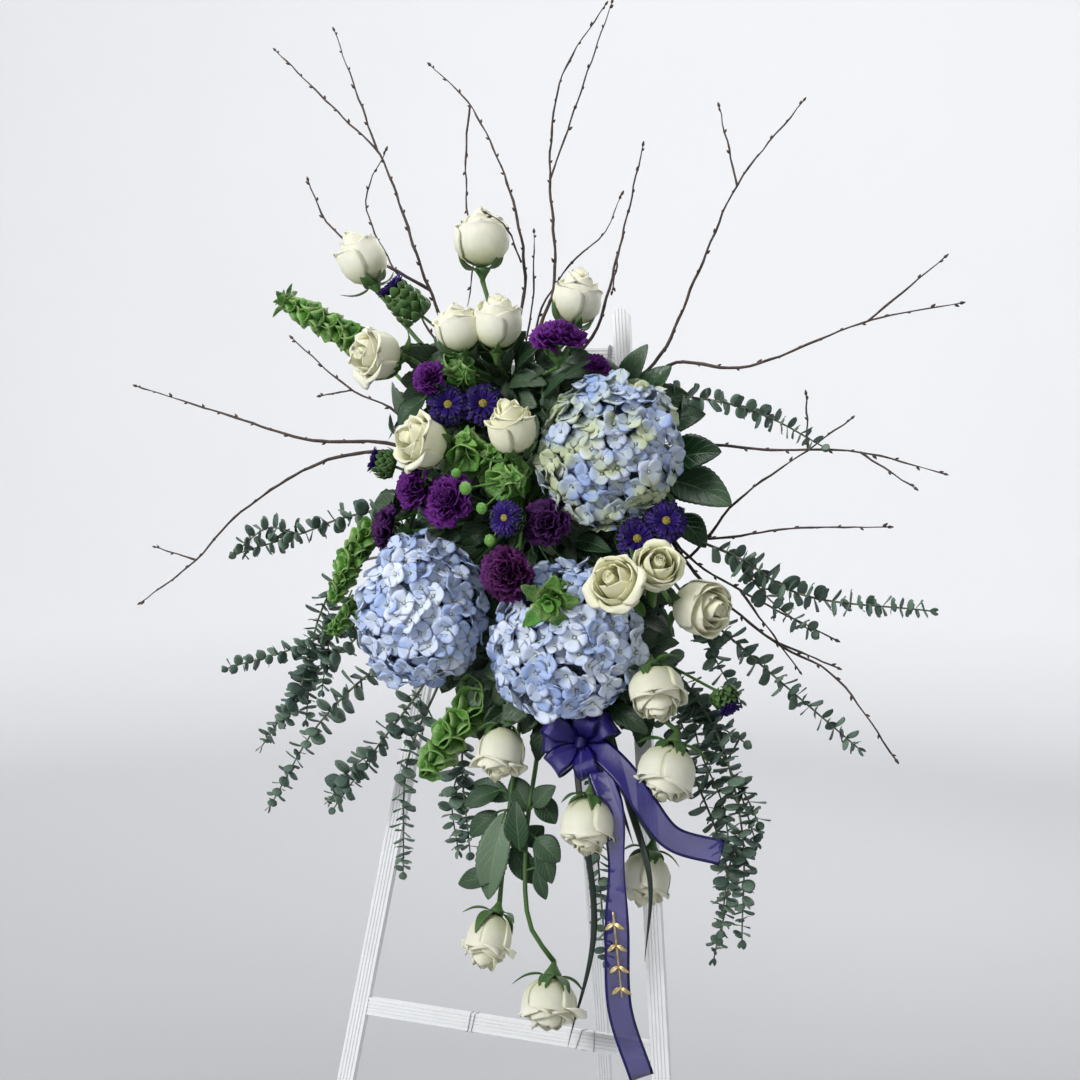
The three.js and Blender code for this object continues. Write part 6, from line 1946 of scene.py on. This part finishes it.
class SprayColours(bpy.types.PropertyGroup):
    easel_paint: colour_setting("Easel paint", "White paint of the easel", "#e6e7e8")
    rose_cream: colour_setting("Rose cream", "Rim of the rose petals", "#f6f4e2")
    rose_foot: colour_setting("Rose foot", "Green tint at the foot of the rose petals", "#c2cc8c")
    hydrangea_blue: colour_setting("Hydrangea blue", "Deepest petals of the hydrangeas", "#8ba6db")
    hydrangea_pale: colour_setting("Hydrangea pale", "Palest petals of the hydrangeas", "#dde5f4")
    hydrangea_young: colour_setting("Hydrangea young", "Young petals of the upper hydrangea", "#cdd68e")
    carnation_bright: colour_setting("Bright carnation", "Rim of the bright carnations", "#601878")
    # The dark carnation colour is partly a deep plum and partly painted shade, darkened for the carnation that
    # sits in shadow in the middle.
    carnation_dark: colour_setting("Dark carnation", "Rim of the dark carnations", "#300c3c")
    carnation_maroon: colour_setting("Maroon carnation", "Rim of the maroon carnation", "#480e40")
    aster_violet: colour_setting("Aster violet", "Rays of the asters", "#2c156c")
    stem_green: colour_setting("Stem green", "Stems, cups and sepals", "#2f5f26")
    rose_leaf: colour_setting("Rose leaf", "Broad leaves on the stems", "#24462a")
    dark_leaf: colour_setting("Dark leaf", "Leaves that fill the spray", "#143317")
    salal_leaf: colour_setting("Salal leaf", "Dark glossy leaves", "#16401f")
    bell_green: colour_setting("Bell green", "Bells of Ireland", "#468c29")
    eucalyptus: colour_setting("Eucalyptus", "Round grey-green leaves", "#4b655e")
    birch_bark: colour_setting("Birch bark", "Bark of the twigs", "#33231f")
    lily_grass: colour_setting("Lily grass", "Long dark blades", "#10271a")
    ribbon: colour_setting("Ribbon", "Organza ribbon", "#1e1274")


# Operators, one for each piece or group of like pieces.


class SPRAY_OT_easel(bpy.types.Operator):
    """Paints the easel, and finishes its hinge, the wire, the tray and the foam"""

    bl_idname = "spray.easel"
    bl_label = "Finish the easel"

    def execute(self, context):
        coats = [
            (white_paint("upright"), ("front_leg_left", "front_leg_right", "rear_leg")),
            (white_paint("level"), ("top_bar", "cross_bar")),
            (bright_steel(), ("hinge_bracket", "hinge_pin", "hanging_wire")),
            (tray_plastic(), ("foam_tray",)),
            (wet_foam(), ("foam_block",)),
        ]
        for coat, nodes in coats:
            for node in nodes:
                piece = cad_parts[node]
                if not piece.material_slots:
                    piece.data.materials.append(coat)
                for slot in piece.material_slots:
                    slot.material = coat
        return {"FINISHED"}


class SPRAY_OT_ties(bpy.types.Operator):
    """Winds thin wire round the cross bar in two places"""

    bl_idname = "spray.ties"
    bl_label = "Wind the wire ties"

    def execute(self, context):
        skin = Skin()
        corners = [(-1, -1), (1, -1), (1, 1), (-1, 1)]
        clear = 0.7
        for px, py, slant in WIRE_TIES:
            across = spot(px, py, 0).x
            points = []
            for k in range(41):
                side, part = divmod(k, 10)
                (a, b), (c, d) = corners[side % 4], corners[(side + 1) % 4]
                wide, high = a + (c - a) * part / 10, b + (d - b) * part / 10
                shift = slant * (k / 40 - 0.5) + 1.5 * high
                deep = BAR_MIDDLE[1] + wide * (BAR_HALF[0] + clear)
                up = BAR_MIDDLE[0] + high * (BAR_HALF[1] + clear)
                points.append(Vector((across + shift * MM, deep * MM, up * MM)))
            skin.rod(points, 0.0005, sides=6)
        place_piece("cross_bar_ties", skin, [], bright_steel())
        return {"FINISHED"}


class SPRAY_OT_roses(bpy.types.Operator):
    """Makes every rose from whorls of cupped petals"""

    bl_idname = "spray.roses"
    bl_label = "Make the roses"

    def execute(self, context):
        petals = context.scene.spray_flowers.rose_petals
        skins = {}
        for seed, (name, bloom) in enumerate(ROSES.items(), ROSE_SEEDS):
            add_rose(skins.setdefault(node_of(name), Skin()), bloom, seed, petals)
        for node, skin in skins.items():
            place_piece(node + "_petals", skin, [node], rose_petal())
        return {"FINISHED"}


class SPRAY_OT_carnations(bpy.types.Operator):
    """Makes the carnations from frilled petals set round their middles"""

    bl_idname = "spray.carnations"
    bl_label = "Make the carnations"

    def execute(self, context):
        count = context.scene.spray_flowers.carnation_petals
        skin = Skin()
        skin.sheet(petal_pattern(1.05, rows=6, columns=9, teeth=0.06, ruffle=0.12), 0.03)
        pattern = pattern_piece("frilled_petal", skin)
        places = {}
        for seed, (name, bloom) in enumerate(CARNATIONS.items(), CARNATION_SEEDS):
            places.setdefault(node_of(name), []).extend(carnation_places(bloom, count, seed))
        for seed, (node, where) in enumerate(places.items()):
            name = node + "_petals"
            coat = ruffled_petal(CARNATION_KINDS.get(node, "dark"))
            mesh = repeated(name, pattern, where, coat, spread=0.08, seed=seed)
            place_piece(name, mesh, [node])
        forget(pattern)
        return {"FINISHED"}


class SPRAY_OT_asters(bpy.types.Operator):
    """Makes the asters from three rings of rays and a grainy yellow eye"""

    bl_idname = "spray.asters"
    bl_label = "Make the asters"

    def execute(self, context):
        count = context.scene.spray_flowers.aster_rays
        pattern = pattern_piece("aster_ray_pattern", aster_ray_pattern())
        places, eyes = {}, Skin()
        dome = [(0, 0.14), (0.2, 0.18), (0.23, 0.3), (0.15, 0.39), (0, 0.42)]
        for seed, (name, bloom) in enumerate(ASTERS.items(), ASTER_SEEDS):
            upright = 0.55 if name in HALF_CLOSED else 1.0
            places.setdefault(node_of(name), []).extend(aster_places(bloom, count, seed, upright))
            seat = standing(base_of(bloom), aim_of(bloom))
            eyes.turned(dome, 16, seat, wave=0.03, waves=8, size=bloom.radius * MM)
        for seed, (node, where) in enumerate(places.items()):
            mesh = repeated(node + "_rays", pattern, where, aster_ray(), spread=0.08, seed=seed)
            place_piece(node + "_rays", mesh, [node])
        place_piece("aster_eyes", eyes, list(places), aster_eye())
        forget(pattern)
        return {"FINISHED"}


class SPRAY_OT_hydrangeas(bpy.types.Operator):
    """Covers the hydrangea heads with four-petalled florets"""

    bl_idname = "spray.hydrangeas"
    bl_label = "Make the hydrangeas"

    def execute(self, context):
        sizes = context.scene.spray_flowers
        pattern = pattern_piece("floret_pattern", floret_pattern(sizes.floret_radius))
        for name, head in HYDRANGEAS.items():
            lumps = lumps_of(head.seed)
            # The inner ball of each head is painted shade that shows through the gaps between the florets.
            shade_core = Skin()
            shade_core.body([(head_surface(head, lumps, 0.74, 17, 24), True)], 0.2)
            place_piece(name + "_core", shade_core, [name], hydrangea_shade())
            cover = Skin()
            cover.body([(head_surface(head, lumps, 0.9, 25, 36), True)])
            surface = cover.mesh(name + "_cover", marked=False)
            back = spot(head.px, head.py, head.out).y + 0.42 * head.half[2] * MM
            front = [list(face.vertices) for face in surface.polygons if face.center.y < back]
            shell = bpy.data.meshes.new(name + "_front")
            shell.from_pydata([point.co[:] for point in surface.vertices], [], front)
            inputs = {
                "Floret": pattern,
                "Spacing": sizes.floret_spacing,
                "Seed": head.seed,
                "Finish": hydrangea_petal("young" if name == "hydrangea_upper" else "blue"),
            }
            place_piece(name + "_florets", grown(shell, head_tree(), inputs), [name])
        forget(pattern)
        return {"FINISHED"}


class SPRAY_OT_stems(bpy.types.Operator):
    """Makes the stems of the flowers with their cups and sepals, and the leaves that they carry"""

    bl_idname = "spray.stems"
    bl_label = "Make the stems"

    def execute(self, context):
        spacing = context.scene.spray_greenery.bell_spacing
        bell = pattern_piece("bell_pattern", bell_pattern())
        up = in_frame(0.1, 0.35, 1).normalized()
        for group in ("upper", "middle", "lower"):
            stems, leaves, routes = Skin(), Skin(), []
            add_root(stems, group)
            for blooms, thick, cup, sepals in STEM_KINDS:
                for name, bloom in blooms.items():
                    if bloom.source != group:
                        continue
                    routes.append(stem_route(name, bloom))
                    seed = len(routes)
                    add_stem(stems, routes[-1], bloom, thick, cup)
                    add_sepals(stems, bloom, sepals, seed)
                    if blooms is ASTERS:
                        add_bracts(stems, bloom, 1.5 if name == "aster_upper_left" else 0.8, seed)
            for name, head in HYDRANGEAS.items():
                if head.source == group:
                    route = rooted(group, name, spot(head.px, head.py, head.out), 14)
                    stems.rod(route, 0.004, sides=10, tone=0.4)
            for k, (base, end, wide) in enumerate(STEM_LEAVES[group]):
                neck, tip = spot(*base), spot(*end)
                leaf_stalk(stems, neck, tip, routes, up)
                surface = blade_surface(
                    neck, tip, wide * MM, up, rows=31, columns=11, saw=0.035, twist=0.25, ripple=0.02
                )
                leaves.sheet(surface, LEAF, 1.0 if wide > 36 else (k * 0.37) % 0.3)
            nodes = ["flower_stems_" + group]
            if group in YOUNG_SPIKES:
                stalk = Skin()
                where = spike_parts(group, YOUNG_SPIKES[group], stalk, YOUNG_SEED, spacing)
                name = "young_bells_" + group
                mesh = repeated(name, bell, where, bell_green(), seed=5)
                place_piece(name, mesh, nodes)
                place_piece("young_stalk_" + group, stalk, nodes, bell_green())
            place_piece("stems_" + group, stems, nodes, stem_green())
            place_piece("leaves_" + group, leaves, nodes, rose_leaf())
        forget(bell)
        return {"FINISHED"}


class SPRAY_OT_filler(bpy.types.Operator):
    """Fills the spray with dark leaves, which hide the foam and its tray from the front and the sides"""

    bl_idname = "spray.filler"
    bl_label = "Fill with leaves"

    def execute(self, context):
        count = context.scene.spray_greenery.filler_leaves
        for group, (px, py, wide, high, share) in FILLER_FIELDS.items():
            chance = random.Random(len(group) * 31)
            stalks, leaves = Skin(), Skin()
            hub = head_of(group)
            for k in range(int(count * share)):
                turn = k * GOLDEN_ANGLE
                away = math.sqrt((k + 0.5) / (count * share))
                across, above = wide * math.cos(turn), high * math.sin(turn)
                near, end = 0.62 * away, away + 0.16
                foot = spot(px + near * across, py + near * above, 84 + 30 * chance.random())
                out = 88 + 44 * chance.random() * (1.2 - 0.6 * away)
                way = (spot(px + end * across, py + end * above, out) - foot).normalized()
                tip = foot + way * (0.034 + 0.03 * chance.random())
                up = in_frame(chance.uniform(-0.4, 0.4), chance.uniform(-0.2, 0.5), 1).normalized()
                inside = foot.lerp(tip, 0.2) + up * 0.002
                stalk = [hub.lerp(foot, 0.1), hub.lerp(foot, 0.6) + up * 0.006, foot, inside]
                stalks.rod(smooth(stalk, 8), np.linspace(0.0014, 0.001, 8), sides=5, tone=0.3)
                broad, twist = chance.uniform(0.022, 0.034), chance.uniform(-0.9, 0.9)
                surface = blade_surface(foot, tip, broad, up, arch=0.14, rows=15, twist=twist, **FILLER_LEAF)
                leaves.sheet(surface, THIN_LEAF, 0.6 * chance.random() ** 2)
            for foot, way, up in collar_places(group):
                tip = foot + way * chance.uniform(0.058, 0.08)
                neck = foot.lerp(tip, 0.2)
                stalks.rod(smooth([foot, neck, foot.lerp(tip, 0.4)], 5), 0.0011, sides=5, tone=0.3)
                broad, twist = chance.uniform(0.03, 0.042), chance.uniform(-0.6, 0.6)
                surface = blade_surface(neck, tip, broad, up, arch=0.16, rows=13, twist=twist, **FILLER_LEAF)
                leaves.sheet(surface, THIN_LEAF, 0.6 * chance.random() ** 2)
            nodes = ["flower_stems_" + group]
            place_piece("filler_stalks_" + group, stalks, nodes, stem_green())
            place_piece("filler_leaves_" + group, leaves, nodes, dark_leaf())
        return {"FINISHED"}


class SPRAY_OT_bells(bpy.types.Operator):
    """Makes the spikes of bells, with bells in whorls and a leafy tuft at each tip"""

    bl_idname = "spray.bells"
    bl_label = "Make the bells of Ireland"

    def execute(self, context):
        spacing = context.scene.spray_greenery.bell_spacing
        bell = pattern_piece("bell_pattern", bell_pattern())
        for seed, (node, spikes) in enumerate(BELLS.items()):
            stalks, places = Skin(), []
            add_root(stalks, node)
            for number, spike in enumerate(spikes, BELL_SEEDS + 10 * seed):
                places.extend(spike_parts(node, spike, stalks, number, spacing))
            if node == "bells_centre":
                add_round_buds(stalks, places)
            mesh = repeated(node + "_cups", bell, places, bell_green(), spread=0.12, seed=seed)
            place_piece(node + "_cups", mesh, [node])
            place_piece(node + "_stalks", stalks, [node], bell_green())
        forget(bell)
        return {"FINISHED"}


class SPRAY_OT_salal(bpy.types.Operator):
    """Makes the dark glossy salal leaves on their stalks"""

    bl_idname = "spray.salal"
    bl_label = "Make the salal leaves"

    def execute(self, context):
        stalks, leaves = Skin(), Skin()
        node = "salal_leaves"
        add_root(stalks, node)
        up = in_frame(0.2, 0.3, 1).normalized()
        for k, (base, end, wide) in enumerate(SALAL_LEAVES):
            neck, tip = spot(*base), spot(*end)
            route = from_root(node, [neck, neck.lerp(tip, 0.14) + up * 0.002])
            stalks.rod(smooth(route, 14), np.linspace(0.002, 0.0012, 14), sides=7, tone=0.3)
            surface = blade_surface(
                neck, tip, wide * MM, up, fold=0.1, rows=27, columns=13, saw=0.02, twist=0.2, ripple=0.025
            )
            leaves.sheet(surface, THICK_LEAF, (k * 0.31) % 0.5)
        place_piece("salal_stalks", stalks, [node], stem_green())
        place_piece("salal_blades", leaves, [node], salal_leaf())
        return {"FINISHED"}


class SPRAY_OT_eucalyptus(bpy.types.Operator):
    """Makes the eucalyptus sprays, with round leaves in pairs along each twig"""

    bl_idname = "spray.eucalyptus"
    bl_label = "Make the eucalyptus"

    def execute(self, context):
        sizes = context.scene.spray_greenery
        leaf = pattern_piece("round_leaf_pattern", round_leaf_pattern())
        for seed, node in enumerate(EUCALYPTUS):
            twigs = Skin()
            add_root(twigs, node)
            spacing, long = sizes.eucalyptus_spacing, sizes.eucalyptus_leaf
            places = eucalyptus_parts(node, twigs, EUCALYPTUS_SEEDS + seed, spacing, long)
            mesh = repeated(node + "_leaves", leaf, places, eucalyptus_leaf(), seed=seed)
            place_piece(node + "_leaves", mesh, [node])
            place_piece(node + "_twigs", twigs, [node], twig_green())
        forget(leaf)
        return {"FINISHED"}


class SPRAY_OT_birch(bpy.types.Operator):
    """Makes the birch twigs with their buds"""

    bl_idname = "spray.birch"
    bl_label = "Make the birch twigs"

    def execute(self, context):
        spacing = context.scene.spray_greenery.bud_spacing
        bud = pattern_piece("bud_pattern", bud_pattern())
        coat = birch_bark()
        for seed, node in enumerate(BIRCH_TWIGS):
            routes = birch_routes(node, BIRCH_SEEDS + seed)
            twigs = grown(twig_curve(node, routes), twig_tree(), {"Finish": coat})
            place_piece(node + "_twigs", twigs, [node])
            places = bud_places(routes, spacing, seed)
            buds = repeated(node + "_buds", bud, places, coat, spread=0.15, seed=seed)
            place_piece(node + "_buds", buds, [node])
            root = Skin()
            add_root(root, node)
            place_piece(node + "_root", root, [node], coat)
        forget(bud)
        return {"FINISHED"}


class SPRAY_OT_grass(bpy.types.Operator):
    """Makes the long blades of lily grass"""

    bl_idname = "spray.grass"
    bl_label = "Make the lily grass"

    def execute(self, context):
        wide = context.scene.spray_greenery.grass_width
        skin = Skin()
        add_root(skin, "lily_grass")
        count = 50
        narrow = np.interp(np.linspace(0, 1, count), [0, 0.08, 0.7, 1], [0.35, 1, 0.95, 0.05])
        for route in GRASS_BLADES:
            path = smooth(from_root("lily_grass", route), count)
            surface = ribbon_surface(path, [in_frame(1, 0, 0.35)] * count, wide, np.ones(count), 5)
            middle = surface[:, 2:3]
            skin.sheet(middle + (surface - middle) * narrow[:, None, None], LEAF)
        place_piece("lily_grass_blades", skin, ["lily_grass"], grass_blade())
        return {"FINISHED"}


class SPRAY_OT_ribbon(bpy.types.Operator):
    """Ties the organza ribbon: a knot, six loops and two tails"""

    bl_idname = "spray.ribbon"
    bl_label = "Tie the ribbon"

    def execute(self, context):
        sizes = context.scene.spray_ribbon
        wide, thick = sizes.width, sizes.thickness
        middle = spot(*KNOT)
        coat = organza()
        pieces = [
            (f"ribbon_loop_{k}", loop_parts(middle, *loop), "gathered") for k, loop in enumerate(RIBBON_LOOPS, 1)
        ]
        for name, route in RIBBON_TAILS.items():
            twist = 0.9 if name == "ribbon_tail_long" else 0.0
            pieces.append((name, tail_parts(middle, route, twist), "hung"))
        for name, (path, widthways, gathers), held in pieces:
            skin = Skin()
            skin.sheet(ribbon_surface(path, widthways, wide, gathers), thick)
            piece = place_piece(name, skin, ["ribbon"], coat)
            round(length_of(path), 4)
        knot, count = Skin(), 24
        turns = np.linspace(0, TAU, count, endpoint=False)
        path = [middle + Vector((0.006 * math.cos(t), -0.0015 + 0.0105 * math.sin(t), 0.0)) for t in turns]
        surface = ribbon_surface(path, [Vector((0.15, 0, 1))] * count, wide * 0.8, np.full(count, 0.6))
        knot.sheet(np.concatenate([surface, surface[:1]]), thick)
        piece = place_piece("ribbon_knot", knot, ["ribbon"], coat)
        round(length_of(path), 4)
        return {"FINISHED"}


class SPRAY_OT_sprig(bpy.types.Operator):
    """Makes the gold sprig that lies on the long tail"""

    bl_idname = "spray.sprig"
    bl_label = "Make the gold sprig"

    def execute(self, context):
        skin = Skin()
        path = smooth(spots(SPRIG_STEM), 25)
        skin.rod(path, np.linspace(0.0012, 0.0008, 25), 8)
        front = in_frame(0, 0, 1)
        leaf, pairs = 0.011, 4
        for i in range(pairs):
            at = int((i + 0.6) / pairs * 24)
            middle = Vector(path[at])
            along = Vector(path[at + 1] - path[at]).normalized()
            sideways = along.cross(front).normalized()
            for side in (-1, 1):
                tip = middle + sideways * (side * leaf) + along * (0.7 * leaf)
                surface = blade_surface(middle, tip, 0.45 * leaf, front, fold=0.1, rows=9, columns=7)
                skin.sheet(surface, THICK_LEAF)
        place_piece("gold_sprig_leaves", skin, ["gold_sprig"], gold_plate())
        return {"FINISHED"}


class SPRAY_OT_stage(bpy.types.Operator):
    """Sets the pale floor with its rising back, the soft lights and the camera"""

    bl_idname = "spray.stage"
    bl_label = "Set the stage"

    def execute(self, context):
        scene = context.scene
        floor = shown("floor", floor_mesh())
        floor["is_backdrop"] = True
        lights = [
            ("key", (-1.5, -2.9, 2.6), (0, -0.1, 1.15), 1.2, 96),
            ("fill", (2.8, -2.2, 1.5), (0, -0.1, 1.1), 2.0, 7),
            ("top", (-0.3, 0.1, 3.6), (0, -0.1, 1.1), 1.6, 34),
            ("back", (0.4, 2.2, 2.4), (0, -0.1, 1.1), 2.6, 26),
            ("wash", (0, 1.2, 4.2), (-1.6, 5.8, 1.6), 3.0, 135),
        ]
        for name, place, target, size, power in lights:
            light = bpy.data.lights.new(name, "AREA")
            light.size, light.energy = size, power
            lamp = shown(name, light)
            lamp.location = place
            lamp.rotation_euler = (Vector(target) - Vector(place)).to_track_quat("-Z", "Y").to_euler()
        world = bpy.data.worlds.new("studio")
        world.use_nodes = True
        sky = world.node_tree.nodes["Background"].inputs
        sky["Color"].default_value = (0.93, 0.95, 1, 1)
        sky["Strength"].default_value = 0.4
        scene.world = world
        scene.view_settings.view_transform = "Standard"
        camera = bpy.data.cameras.new("camera")
        camera.lens = 50
        camera.sensor_width = 36
        viewer = shown("camera", camera)
        viewer.location = EYE + SHIFT
        viewer.rotation_euler = AHEAD.to_track_quat("-Z", "Y").to_euler()
        scene.camera = viewer
        return {"FINISHED"}


OPERATORS = (
    SPRAY_OT_easel,
    SPRAY_OT_ties,
    SPRAY_OT_roses,
    SPRAY_OT_carnations,
    SPRAY_OT_asters,
    SPRAY_OT_hydrangeas,
    SPRAY_OT_stems,
    SPRAY_OT_filler,
    SPRAY_OT_bells,
    SPRAY_OT_salal,
    SPRAY_OT_eucalyptus,
    SPRAY_OT_birch,
    SPRAY_OT_grass,
    SPRAY_OT_ribbon,
    SPRAY_OT_sprig,
    SPRAY_OT_stage,
)
SETTINGS = {
    "spray_flowers": SprayFlowers,
    "spray_greenery": SprayGreenery,
    "spray_ribbon": SprayRibbon,
    "spray_colours": SprayColours,
}


class SPRAY_PT_panel(bpy.types.Panel):
    """Lists the settings and the steps that make the spray"""

    bl_idname = "SPRAY_PT_panel"
    bl_label = "Funeral spray"
    bl_space_type = "VIEW_3D"
    bl_region_type = "UI"
    bl_category = "Spray"

    def draw(self, context):
        for name, group in SETTINGS.items():
            box = self.layout.box()
            for key in group.__annotations__:
                box.prop(getattr(context.scene, name), key)
        for operator in OPERATORS:
            self.layout.operator(operator.bl_idname)


def register():
    for group in SETTINGS.values():
        bpy.utils.register_class(group)
    for name, group in SETTINGS.items():
        setattr(bpy.types.Scene, name, PointerProperty(type=group))
    for operator in OPERATORS:
        bpy.utils.register_class(operator)
    bpy.utils.register_class(SPRAY_PT_panel)


def unregister():
    bpy.utils.unregister_class(SPRAY_PT_panel)
    for operator in reversed(OPERATORS):
        bpy.utils.unregister_class(operator)
    for name in SETTINGS:
        delattr(bpy.types.Scene, name)
    for group in reversed(SETTINGS.values()):
        bpy.utils.unregister_class(group)


def main():
    """Makes the whole spray, and works out two boxes round it: one round the CAD parts and one round all that is
    shown.
    """
    register()
    for operator in OPERATORS:
        group, name = operator.bl_idname.split(".")
        getattr(getattr(bpy.ops, group), name)()
    boxes = {"cad": CAD_BOX, "visual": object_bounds()}
    plain = {key: [[float(x) for x in corner] for corner in box] for key, box in boxes.items()}


if __name__ == "__main__":
    main()
